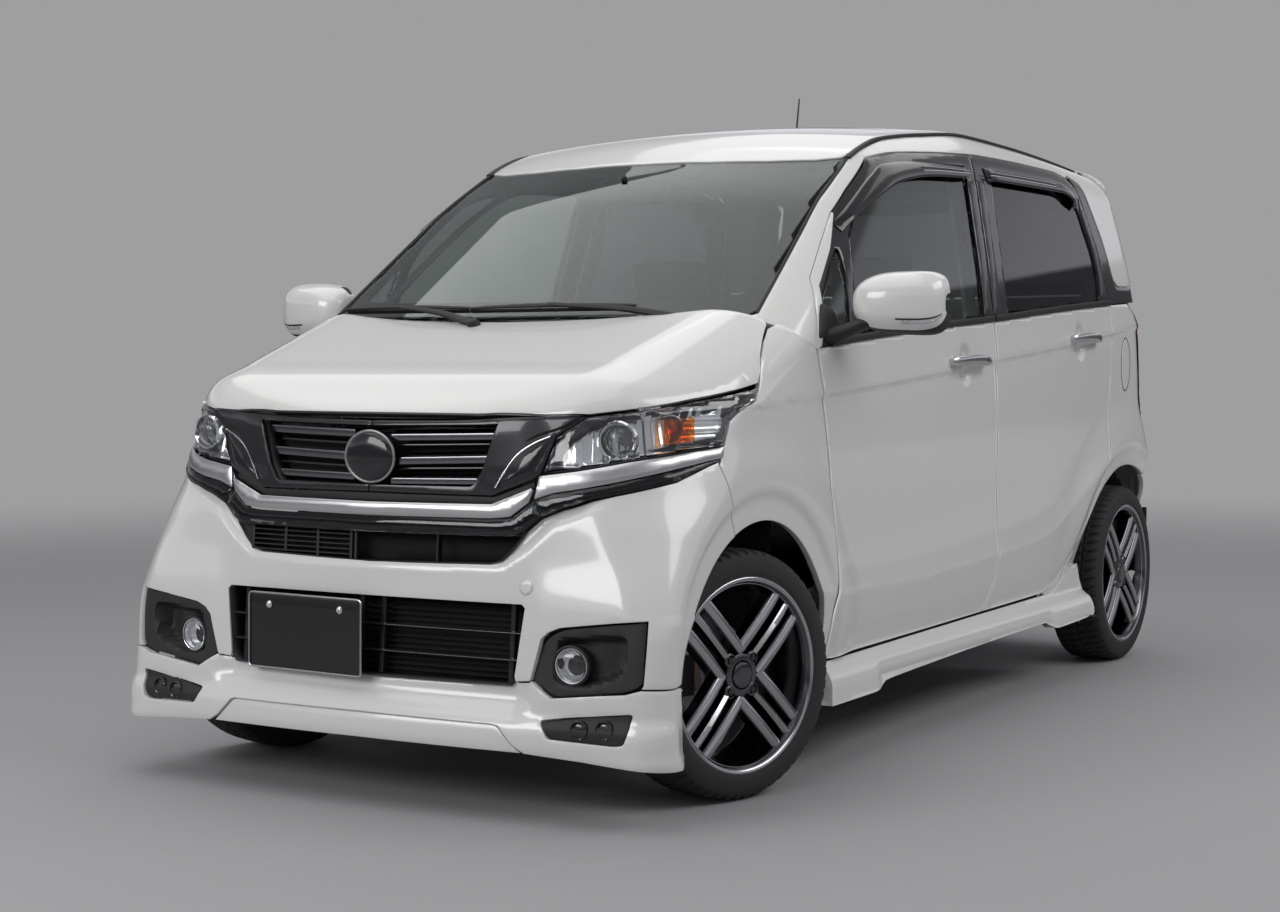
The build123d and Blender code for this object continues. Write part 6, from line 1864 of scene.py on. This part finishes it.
def brake_meshes():
    """The disc with its hat, and the caliper that grips its front."""
    disc = Mesh().grid(turned([(-.0280, .060), (-.0260, .062), (-.0260, .110), (-.0280, .1118), (-.0330, .1118),
                               (-.0345, .106), (-.0365, .106), (-.0380, .1118), (-.0420, .1118), (-.0420, .060)], 96),
                       wrap_u=True)
    disc.grid(turned([(-.0280, .061), (-.0040, .058), (.000, .054), (.000, .030)], 64), wrap_u=True)
    a = np.radians(np.linspace(62, 118, 22))
    rows = []
    outline = rounded([(-.0690, .072), (-.0690, .148), (-.010, .150), (-.0090, .128), (-.0220, .124), (-.0235, .078),
                       (-.010, .076), (-.0100, .070), (-.030, .066)], .006, 3)
    bulge = 1 - .10 * np.abs(np.linspace(-1, 1, 22)) ** 4
    for angle, k in zip(a, bulge):
        x, r = outline[:, 0], .108 + (outline[:, 1] - .108) * k
        rows.append(np.stack([x, -np.sin(angle) * r, np.cos(angle) * r], -1))
    caliper = Mesh().grid(capped(np.array(rows)), wrap_v=True)
    for angle in (72, 108):
        c = np.array([0, -sin(radians(angle)) * .108, cos(radians(angle)) * .108])
        caliper.grid(turned([(-.0240, .014), (-.0120, .014), (-.0090, .012), (-.0080, .0)], 20) + c, wrap_u=True)
    return disc, caliper


def make_wheels(s):
    """The four wheels with tyres, and the front brakes on their uprights."""
    tyre = tyre_mesh()
    parts = rim_meshes(s)
    disc, caliper = brake_meshes()
    drum = Mesh().grid(turned([(-.088, .040), (-.088, .098), (-.080, .101), (-.040, .101), (-.0300, .098),
                               (-.0280, .090), (-.0240, .060), (-.0240, .030)], 64), wrap_u=True)
    for place, (x, y, steer, sign) in AXLES.items():
        wheel, side = "wheel_" + place, place.split("_")[1]
        c, q = cos(radians(steer)), sin(radians(steer))
        turn = np.array([[c, -q, 0], [q, c, 0], [0, 0, 1]])
        out = np.diag([sign, 1, 1.])
        shift = np.array([x, y, AXLE_Z])

        def put(mesh, name, body, finish, **how):
            """Lay a part, made about the axle's line with +X outwards, at this end of the axle."""
            laid = mesh.moved(np.eye(3), np.array([WHEEL_SHIFT, 0, 0]))
            if sign < 0:
                laid.faces = [f[::-1] for f in laid.faces]
            return laid.moved(turn @ out, shift).build(name + "_" + place, body, finish, **how)

        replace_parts(put(tyre, "tyre_skin", wheel, "rubber", recalc=True), "tyre_" + place)
        made = put(parts[0], "wheel_body", wheel, "rim", recalc=True)
        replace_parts(made, "rim_" + place)
        put(parts[1], "wheel_faces", wheel, "machined", recalc=True)
        put(parts[2], "wheel_cap", wheel, "rim", recalc=True)
        put(parts[3], "wheel_nuts", wheel, "gloss", recalc=True, sharp=20)
        if place.startswith("front"):
            put(disc, "brake_disc", wheel, "disc", recalc=True)
            put(caliper, "brake_caliper", "upright_" + side, "caliper", recalc=True)
        else:
            put(drum, "brake_drum", wheel, "casting", recalc=True)


# ---------------------------------------------------------------- cabin
def pad_points(half, bolster, n=34):
    """A cushion's coarse closed form before it swells: a rounded slab with raised side bolsters.
    x runs across, y from front to back, z upwards; the top sinks by the bolster's height in its middle."""
    hx, hy, hz = half
    u = np.linspace(-1, 1, n)
    gx, gy = np.meshgrid(u, u, indexing="ij")
    round_off = (1 - np.abs(gx) ** 6) ** .5 * (1 - np.abs(gy) ** 6) ** .5
    side = np.clip((np.abs(gx) - .62) / .22, 0, 1)
    top = hz * (.35 + .65 * round_off) * (1 - bolster * (1 - side * side * (3 - 2 * side)) * (1 - gy * .12))
    low = -hz * (.35 + .65 * round_off)
    pull = 1 - .030 * (1 - np.abs(gy) ** 2) * (np.abs(gx) > .999)
    x, y = gx * hx * pull, gy * hy
    return np.stack([x, y, top], -1), np.stack([x, y, low], -1)


def pad_mesh(half, bolster):
    """The slab as one closed mesh: its top and its underside joined round the rim."""
    top, low = pad_points(half, bolster)
    n = len(top)
    mesh = Mesh().grid(top, out=(0, 0, 1)).grid(low, out=(0, 0, -1))
    rim = [(i, 0) for i in range(n)] + [(n - 1, j) for j in range(1, n)] + [(i, n - 1) for i in range(n - 2, -1, -1)]
    rim += [(0, j) for j in range(n - 2, 0, -1)]
    i, j = np.array(rim).T
    a, b = top[i, j], low[i, j]
    wall = np.stack([a + (b - a) * t + (a - a.mean(0)) * [.02, .02, 0] * np.sin(t * pi)
                     for t in np.linspace(0, 1, 6)], 1)
    return mesh.grid(wall, wrap_u=True, out=lambda m: m - a.mean(0))


CLOTH_STEPS, CLOTH_QUALITY, CLOTH_STIFFNESS = 20, 4, 25


def swell(mesh, voxel, pressure, cap):
    """Cloth filled under pressure: remesh, simulate with gravity off, and cap how far each point moves."""
    data = bpy.data.meshes.new("pad")
    data.from_pydata(np.concatenate(mesh.points).tolist(), [], mesh.faces)
    shell = bmesh.new()
    shell.from_mesh(data)
    bmesh.ops.remove_doubles(shell, verts=shell.verts, dist=1e-4)
    bmesh.ops.recalc_face_normals(shell, faces=shell.faces)
    shell.to_mesh(data)
    shell.free()
    pad = bpy.data.objects.new("pad", data)
    scene = bpy.context.scene
    scene.collection.objects.link(pad)
    even = pad.modifiers.new("even", "REMESH")
    even.mode, even.voxel_size = "VOXEL", voxel
    start, faces = coordinates(pad)
    even_mesh = bpy.data.meshes.new("pad_even")
    even_mesh.from_pydata(start.tolist(), [], faces)
    pad.modifiers.clear()
    pad.data = even_mesh
    end = start
    cloth = pad.modifiers.new("cloth", "CLOTH")
    cloth.settings.use_pressure, cloth.settings.uniform_pressure_force = True, pressure
    cloth.settings.effector_weights.gravity = 0
    cloth.settings.quality = CLOTH_QUALITY
    cloth.settings.tension_stiffness = cloth.settings.compression_stiffness = CLOTH_STIFFNESS
    for at in range(1, CLOTH_STEPS + 1):
        scene.frame_set(at)
    end = coordinates(pad)[0]
    scene.frame_set(1)
    bpy.data.objects.remove(pad)
    move = end - start
    far = np.linalg.norm(move, axis=1, keepdims=True)
    return start + move * np.minimum(1, cap / np.maximum(far, 1e-9)), faces


def coordinates(piece):
    """An object's points and faces as its modifiers leave them."""
    graph = bpy.context.evaluated_depsgraph_get()
    graph.update()
    shown = piece.evaluated_get(graph)
    mesh = shown.to_mesh()
    p = np.empty(len(mesh.vertices) * 3)
    mesh.vertices.foreach_get("co", p)
    faces = [tuple(f.vertices) for f in mesh.polygons]
    shown.to_mesh_clear()
    return p.reshape(-1, 3), faces


def channels(pad, lines, depth, width):
    """Sewn lines pressed into the top of a pad: each line is (axis, place, low, high)."""
    p = pad[0].copy()
    top = np.clip(p[:, 2] / .02, 0, 1)
    for axis, at, low, high in lines:
        other = 1 - axis
        d = np.abs(p[:, axis] - at)
        span = step(p[:, other], low - .01, low + .01) * (1 - step(p[:, other], high - .01, high + .01))
        p[:, 2] -= depth * np.exp(-(d / width) ** 2) * span * top
    return p, pad[1]


def tilt(points, angle, place):
    """A pad's own frame to the car's: turned about X by an angle in degrees, then moved."""
    c, q = cos(radians(angle)), sin(radians(angle))
    return points @ np.array([[1, 0, 0], [0, c, -q], [0, q, c]]).T + place


def pad_piece(name, pad, angle, place, flip=False):
    """Lay a swollen pad in its seat, mirrored where asked, as a soft piece."""
    points, faces = pad
    mesh = Mesh().take(tilt(points * ([-1, 1, 1] if flip else [1, 1, 1]), angle, place),
                       [f[::-1] for f in faces] if flip else faces)
    piece = mesh.build(name, "body", "cloth", recalc=True, sub=1)
    return piece


def make_seats(s):
    """Front seats and the rear bench: swollen cushions and backs with sewn channels, headrests, posts and bases."""
    seat = swell(pad_mesh((.232, .245, .052), .30), .009, 4., .012)
    back = swell(pad_mesh((.225, .285, .044), .34), .009, 4., .012)
    rest = swell(pad_mesh((.122, .078, .036), .05), .006, 4., .010)
    bench = swell(pad_mesh((.565, .240, .050), .10), .012, 4., .012)
    upper = swell(pad_mesh((.485, .225, .040), .12), .012, 4., .012)
    seam = [(0, -.150, -.20, .19), (0, .150, -.20, .19), (1, -.085, -.15, .15), (1, .055, -.15, .15)]
    seat = channels(seat, seam, .007, .006)
    seam = [(0, -.148, -.24, .23), (0, .148, -.24, .23), (1, -.12, -.15, .15), (1, .02, -.15, .15),
            (1, .15, -.15, .15)]
    back = channels(back, seam, .007, .006)
    seam = [(0, 0., -.22, .22), (0, -.28, -.20, .20), (0, .28, -.20, .20), (1, -.05, -.5, .5)]
    bench, upper = (channels(pad, seam, .007, .008) for pad in (bench, upper))
    steel, shells = Mesh(), Mesh()
    for side, x in (("left", .330), ("right", -.330)):
        one = pad_piece("front_cushion_" + side, seat, 4., (x, -.150, .500), flip=x < 0)
        pad_piece("front_back_" + side, back, 104., (x, .168, .800), flip=x < 0)
        pad_piece("front_headrest_" + side, rest, 102., (x, .262, 1.172), flip=x < 0)
        if x > 0:
            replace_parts(one, "front_seats")
        for dx in (-.045, .045):
            run = np.linspace([x + dx, .234, 1.03], [x + dx, .262, 1.15], 8)
            steel.swept(run, circle(.006, 12), (0, 1, 0))
        shells.boxed((x, -.145, .405), (.185, .19, .055), .03)
        shells.boxed((x, .2265, .72), (.195, .018, .22), .015)
        for dx in (-.17, .17):
            shells.boxed((x + dx, -.14, .310), (.018, .20, .035), .01)
    one = pad_piece("rear_cushion", bench, 2., (0, .730, .500))
    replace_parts(one, "rear_seat")
    pad_piece("rear_back", upper, 108., (0, 1.035, .745))
    for side, x in (("left", .29), ("right", -.29)):
        pad_piece("rear_headrest_" + side, rest, 106., (x, 1.115, 1.045), flip=x < 0)
        for dx in (-.04, .04):
            run = np.linspace([x + dx, 1.09, .95], [x + dx, 1.112, 1.03], 8)
            steel.swept(run, circle(.006, 12), (0, 1, 0))
    shells.boxed((0, .72, .415), (.54, .17, .04), .02)
    steel.build("headrest_posts", "body", "satin", recalc=True)
    shells.build("seat_shells", "body", "cabin", recalc=True)


def make_dashboard(s):
    """The dashboard: a swept cover with a hood over the dials, a gloss middle panel, vents, and a shift lever."""
    section = np.array([(-.878, .988), (-.760, .990), (-.660, .980), (-.610, .958), (-.588, .925), (-.586, .880),
                        (-.600, .830), (-.640, .790), (-.660, .730), (-.655, .665), (-.700, .648)])
    run = curve(section, 40)
    x = np.linspace(-.594, .594, 121)
    hood = np.exp(-(np.abs(x + .33) / .175) ** 4)
    t = np.linspace(0, 1, 40)
    lift = np.exp(-((t - .36) / .13) ** 2)
    y = run[None, :, 0] + (.012 * hood[:, None]) * lift + .010 * np.cos(x * 2.4)[:, None]
    z = run[None, :, 1] + (.034 * hood[:, None]) * lift
    tray = -.022 * np.exp(-((t[None, :] - .63) / .055) ** 2) * (1 - np.exp(-(np.abs(x) / .19) ** 6))[:, None]
    cover = Mesh().grid(np.stack([x[:, None] + 0 * t, y + tray, z], -1), out=(0, .4, 1))
    piece = cover.build("dashboard_cover", "body", "cabin", wall=.012, edge=.003)
    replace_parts(piece, "dashboard")
    face = plane((0, -.566, .862), (-1, 0, 0), (0, .10, .995))
    panel = rounded([(-.135, -.105), (.135, -.105), (.150, .085), (-.150, .085)], .015, 5)
    Mesh().panel(face, panel, pitch=.02, crown=(.004, .02)).build(
        "middle_panel", "body", "gloss", wall=.02, edge=.003)
    screen = rounded([(-.095, -.030), (.095, -.030), (.098, .070), (-.098, .070)], .006, 4)
    Mesh().panel(face, screen, pitch=.03, offset=.0055).build(
        "middle_screen", "body", "ceramic", wall=.003, edge=.0008)
    trims, slats, knobs = Mesh(), Mesh(), Mesh()
    for cx, cz in ((-.52, .930), (.52, .930), (-.195, .905), (.195, .905)):
        ring = arc((cx, cz), .038, 0, 360, 41)[:-1]
        path = np.c_[ring[:, 0], np.full(40, -.576), ring[:, 1]]
        trims.grid(ring_tube(path, .0035), wrap_u=True, wrap_v=True)
        for dz in (-.022, -.011, 0, .011, .022):
            w = sqrt(.034 ** 2 - dz ** 2)
            run = np.linspace([cx - w, -.582, cz + dz], [cx + w, -.582, cz + dz], 6)
            slats.swept(run, bar(.012, .002, .0008))
    for k in (-.07, 0., .07):
        knobs.lathed([(.018, -.004), (.018, .010), (.015, .013), (0., .0135)], (k, -.560, .800), (0, 1, .1),
                     (1, 0, 0), 28)
    lever = np.array([(-.115, -.570, .800), (-.120, -.530, .812), (-.124, -.500, .826)])
    knobs.swept(curve(lever, 14), circle(.007, 14))
    knobs.boxed((-.125, -.492, .830), (.017, .014, .026), .012)
    trims.build("vent_rings", "body", "satin", recalc=True)
    slats.build("vent_slats", "body", "smooth_black", recalc=True)
    knobs.build("dash_knobs", "body", "cabin", slot="chrome_trim", recalc=True)
    dials = Mesh()
    for k, r in ((-.415, .030), (-.33, .040), (-.245, .030)):
        dials.lathed([(r, .0), (r, .008), (r - .004, .009), (r - .006, .002), (0., .001)], (k, -.592, .955),
                     (0, .92, .39), (1, 0, 0), 40)
    dials.build("dials", "body", "satin", slot="black_gloss", recalc=True)


def make_steering_wheel(s):
    """The steering wheel, turned as the front wheels are: a thick rim, three spokes and a soft middle."""
    axis = np.array([0, cos(radians(25)), sin(radians(25))])
    centre = np.array([-.330, -.395, .880])
    turn = radians(STEER * STEER_RATIO)
    across = np.array([1., 0, 0])
    up = np.cross(axis, across)
    e1 = across * cos(turn) + up * sin(turn)
    e2 = np.cross(axis, e1)

    def lay(points):
        """The wheel's own points, its axis last, as places in the car."""
        p = np.asarray(points, float)
        return centre + p[..., :1] * e1 + p[..., 1:2] * e2 + p[..., 2:] * axis

    a = np.linspace(0, 2 * pi, 120, endpoint=False)[:, None]
    b = np.linspace(0, 2 * pi, 20, endpoint=False)[None, :]
    thick = .0145 * (1 + .07 * np.cos(4 * a))
    ring = np.stack([(.180 + thick * np.cos(b)) * np.cos(a), (.180 + thick * np.cos(b)) * np.sin(a),
                     thick * 1.04 * np.sin(b)], -1)
    rim = Mesh().grid(lay(ring), wrap_u=True, wrap_v=True)
    piece = rim.build("steering_rim", "steering", "smooth_black", recalc=True)
    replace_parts(piece, "steering_wheel")
    hub = Mesh()
    u = np.linspace(0, 2 * pi, 60, endpoint=False)[:, None]
    r = np.array([[.0, .030, .052, .066, .070, .066, .04, .0]])
    h = np.array([[.014, .013, .008, -.002, -.014, -.026, -.032, -.034]])
    k = 1 + .16 * np.abs(np.cos(u)) ** 3 - .04 * np.sin(u)
    hub.grid(lay(np.stack([r * k * np.cos(u), r * k * np.sin(u) * .92, h + 0 * u], -1)), wrap_u=True)
    for angle in (0, 180, 270):
        t = np.linspace(.055, .178, 16)
        way = np.array([cos(radians(angle)), sin(radians(angle))])
        path = lay(np.c_[t[:, None] * way, -.010 + .008 * (t / .178) ** 2])
        section = bar(.040 if angle != 270 else .030, .014, .005)
        hub.swept(path, section, axis, np.linspace(1.15, .78, 16))
    column = lathe([(.028, -.030), (.032, -.060), (.034, -.150), (.030, -.205)], centre, axis, across, 32)
    hub.grid(column, wrap_u=True)
    hub.build("steering_middle", "steering", "cabin", recalc=True)
    stalks = Mesh()
    for sign in (-1, 1):
        path = curve([centre + axis * -.085 + across * sign * .035, centre + axis * -.078 + across * sign * .10,
                      centre + axis * -.070 + across * sign * .165 + [0, 0, .008]], 16)
        stalks.swept(path, circle(.006, 12), scale=np.linspace(1., 1.5, 16))
    stalks.build("steering_stalks", "body", "cabin", recalc=True)


def make_inside(s):
    """What else shows through the glass: a mirror on its stem."""
    mirror = Mesh().boxed((0, -.520, 1.395), (.115, .012, .032), .018)
    stem = [(0, -.560, 1.440), (0, -.545, 1.425), (0, -.528, 1.405)]
    mirror.swept(stem, circle(.008, 12))
    mirror.build("cabin_mirror", "body", "cabin", recalc=True)
    glass = Mesh().panel(plane((0, -.5065, 1.395), (-1, 0, 0), (0, 0, 1)),
                         rounded([(-.107, -.024), (.107, -.024), (.107, .026), (-.107, .026)], .014, 5), pitch=.03)
    glass.build("cabin_mirror_glass", "body", "mirror", wall=.003)


PLAIN = {"floor_pan": "underseal", "front_crossmember": "steel", "rear_axle": "steel", "knuckle_left": "steel",
         "knuckle_right": "steel", "exhaust": "exhaust", "engine_block": "casting"}


def finish_plain(s):
    """Procedural finishes for the plain parts that are carried over as they are."""
    for name, key in PLAIN.items():
        piece = bpy.data.objects.get(name)
        if piece is None:
            raise RuntimeError("no node named " + name)
        piece.data.materials.clear()
        piece.data.materials.append(FINISH[key])


# ---------------------------------------------------------------- stage
class StageSettings(PropertyGroup):
    """The floor, the lights and the camera."""
    floor: FloatVectorProperty(name="Floor", description="Colour of the plain floor", subtype="COLOR",
                               default=(.33, .33, .335), min=0, max=1)
    backdrop: FloatVectorProperty(name="Backdrop", description="Colour seen behind the car", subtype="COLOR",
                                  default=(.345, .345, .35), min=0, max=1)
    key_light: FloatProperty(name="Key light", description="Power of the large light overhead", default=112.,
                             subtype="POWER", min=0)
    fill_light: FloatProperty(name="Fill light", description="Power of the light at the side", default=125.,
                              subtype="POWER", min=0)
    lens: FloatProperty(name="Lens", description="Focal length of the camera on a 36 mm sensor", default=62.03,
                        subtype="DISTANCE_CAMERA", min=1)


def aim(piece, place, target, roll=0.):
    """Put an object at a place and turn its -Z to a target."""
    piece.location = place
    way = Vector(target) - Vector(place)
    piece.rotation_mode = "QUATERNION"
    turn = way.to_track_quat("-Z", "Y")
    turn.rotate(Quaternion(way.normalized(), roll))
    piece.rotation_quaternion = turn


def area_light(name, place, target, size, power):
    """A rectangular light at a place, turned to a target."""
    data = bpy.data.lights.new(name, "AREA")
    data.shape, data.size, data.size_y, data.energy = "RECTANGLE", *size, power
    lamp = bpy.data.objects.new(name, data)
    bpy.context.scene.collection.objects.link(lamp)
    aim(lamp, place, target)
    return lamp


LIGHT_PATH = "ShaderNodeLightPath"
FLOOR_HALF = 14.
# The camera's place, and its heading, dip and roll in degrees.
VIEW_PLACE, VIEW_TURN = (2.9727, -5.4671, .9944), (30.78, 2.79, .14)


def make_stage(p):
    """A plain floor, a backdrop, soft studio light from above and the sides, and the camera."""
    n = FLOOR_HALF
    floor = Mesh().grid([[(-n, -n, 0), (n, -n, 0)], [(-n, n, 0), (n, n, 0)]], out=(0, 0, 1))
    f = Finish("studio floor")
    tone = f.mix(f.noise(.8, 2), scaled(tuple(p.floor), .985), tuple(p.floor))
    body = f.node("ShaderNodeBsdfPrincipled", None, {"Base Color": tone, "Roughness": .75})
    glow = f.node("ShaderNodeEmission", None, {"Color": tuple(p.backdrop), "Strength": 1.})
    where = f.place()
    far = ((f.part(where, "X") ** 2 + f.part(where, "Y") ** 2) ** .5).ease(3.2, 9.5)
    rays = [f.node(LIGHT_PATH, output=k) for k in ("Is Camera Ray", "Is Glossy Ray", "Is Transmission Ray")]
    seen = rays[0].math("MAXIMUM", rays[0].math("MAXIMUM", rays[0], rays[1]), rays[2])
    f.node_output(f.node("ShaderNodeMixShader", None, {0: seen * far, 1: body, 2: glow}))
    ground = plain_object(floor, "studio_floor", f.material)
    world = bpy.data.worlds.new("studio")
    world.use_nodes = True
    bpy.context.scene.world = world
    tree = world.node_tree
    tree.nodes.clear()
    g = Finish.__new__(Finish)
    g.tree = tree
    up = g.part(g.node("ShaderNodeTexCoord", output="Generated"), "Z")
    glow = g.mix(up.ease(.17, .36), (.74, .74, .80), (.27, .27, .28))
    sky = g.mix(up.ease(.156, .166), (.10, .10, .105), glow)
    rays = [g.node(LIGHT_PATH, output=k) for k in ("Is Camera Ray", "Is Transmission Ray")]
    seen = rays[0].math("MAXIMUM", rays[0], rays[1])
    tone = g.mix(seen, sky, tuple(p.backdrop))
    back = g.node("ShaderNodeBackground", None, {"Color": tone, "Strength": 1.})
    out = tree.nodes.new("ShaderNodeOutputWorld")
    tree.links.new(back.socket, out.inputs["Surface"])
    lamps = [area_light("key", (-1.2, -1.7, 4.3), (-1.0, -1.6, 0), (7.2, 4.6), p.key_light),
             area_light("back", (0, 3.6, 4.2), (0, 2.8, 0), (5.0, 3.0), p.key_light * .35),
             area_light("side", (4.6, .2, 3.9), (.5, .2, .8), (5.2, 2.2), p.fill_light),
             area_light("front", (-1.6, -6.0, 2.6), (0, -1.4, .6), (3.2, 1.6), p.fill_light * .75)]
    data = bpy.data.cameras.new("view")
    data.lens, data.sensor_width = p.lens, 36.
    camera = bpy.data.objects.new("view", data)
    bpy.context.scene.collection.objects.link(camera)
    yaw, pitch, roll = (radians(k) for k in VIEW_TURN)
    way = Vector((-sin(yaw) * cos(pitch), cos(yaw) * cos(pitch), -sin(pitch)))
    aim(camera, VIEW_PLACE, Vector(VIEW_PLACE) + way, roll)
    bpy.context.scene.camera = camera
    bpy.context.scene.view_settings.view_transform = "Standard"


def plain_object(mesh, name, material):
    """A mesh object that rides on nothing."""
    data = bpy.data.meshes.new(name)
    data.from_pydata(np.concatenate(mesh.points).tolist(), [], mesh.faces)
    data.materials.append(material)
    piece = bpy.data.objects.new(name, data)
    bpy.context.scene.collection.objects.link(piece)
    return piece


# ---------------------------------------------------------------- add-on
class CAR_OT_finishes(Operator):
    """Make the finishes from the panel's colours."""
    bl_idname, bl_label = "car.finishes", "Finishes"

    def execute(self, context):
        make_finishes(context.scene.car_colours)
        return {"FINISHED"}


class CAR_OT_body(Operator):
    """Make the painted panels, the door frames, the side glass and the roof."""
    bl_idname, bl_label = "car.body", "Body"

    def execute(self, context):
        for make in (make_bonnet, make_fenders, make_doors, make_handles, make_side_glass, make_side_frames,
                     make_roof):
            make(context.scene.car_sizes)
        return {"FINISHED"}


class CAR_OT_front(Operator):
    """Make the front end with its lamps, grille and blank plate."""
    bl_idname, bl_label = "car.front", "Front"

    def execute(self, context):
        make_front(context.scene.car_sizes)
        return {"FINISHED"}


class CAR_OT_glass(Operator):
    """Make the windscreen, the wipers, the visors, the mirrors and the sill skirts."""
    bl_idname, bl_label = "car.glass", "Glass and mirrors"

    def execute(self, context):
        for make in (make_windscreen, make_visors, make_mirrors, make_skirts):
            make(context.scene.car_sizes)
        return {"FINISHED"}


class CAR_OT_rear(Operator):
    """Make the rear end."""
    bl_idname, bl_label = "car.rear", "Rear"

    def execute(self, context):
        make_rear(context.scene.car_sizes)
        return {"FINISHED"}


class CAR_OT_wheels(Operator):
    """Make the wheels, tyres and brakes."""
    bl_idname, bl_label = "car.wheels", "Wheels"

    def execute(self, context):
        make_wheels(context.scene.car_sizes)
        return {"FINISHED"}


class CAR_OT_cabin(Operator):
    """Make the seats, the dashboard and the steering wheel, and finish the plain parts."""
    bl_idname, bl_label = "car.cabin", "Cabin"

    def execute(self, context):
        for make in (make_seats, make_dashboard, make_steering_wheel, make_inside, finish_plain):
            make(context.scene.car_sizes)
        return {"FINISHED"}


class CAR_OT_stage(Operator):
    """Make the floor, the lights and the camera."""
    bl_idname, bl_label = "car.stage", "Stage"

    def execute(self, context):
        make_stage(context.scene.car_stage)
        return {"FINISHED"}


class CAR_PT_panel(Panel):
    """Colours, sizes and stage of the car, and the buttons that make each part of it."""
    bl_idname, bl_label, bl_space_type, bl_region_type, bl_category = "CAR_PT_panel", "Car", "VIEW_3D", "UI", "Car"

    def draw(self, context):
        for group in (context.scene.car_colours, context.scene.car_sizes, context.scene.car_stage):
            box = self.layout.box()
            for key in group.__annotations__:
                box.prop(group, key)
        for name in STEPS:
            self.layout.operator("car." + name)


STEPS = ("finishes", "body", "front", "glass", "rear", "wheels", "cabin", "stage")
CLASSES = (CarColours, CarSizes, StageSettings, CAR_OT_finishes, CAR_OT_body, CAR_OT_front,
           CAR_OT_glass, CAR_OT_rear, CAR_OT_wheels, CAR_OT_cabin, CAR_OT_stage, CAR_PT_panel)


def register():
    """Add the panel, the buttons and the properties they read."""
    for kind in CLASSES:
        bpy.utils.register_class(kind)
    bpy.types.Scene.car_colours = PointerProperty(type=CarColours)
    bpy.types.Scene.car_sizes = PointerProperty(type=CarSizes)
    bpy.types.Scene.car_stage = PointerProperty(type=StageSettings)


def unregister():
    """Take them away again."""
    del bpy.types.Scene.car_colours, bpy.types.Scene.car_sizes, bpy.types.Scene.car_stage
    for kind in reversed(CLASSES):
        bpy.utils.unregister_class(kind)


def main():
    """Make the car by its buttons, in order."""
    register()
    for name in STEPS:
        getattr(bpy.ops.car, name)()


if __name__ == "__main__":
    main()
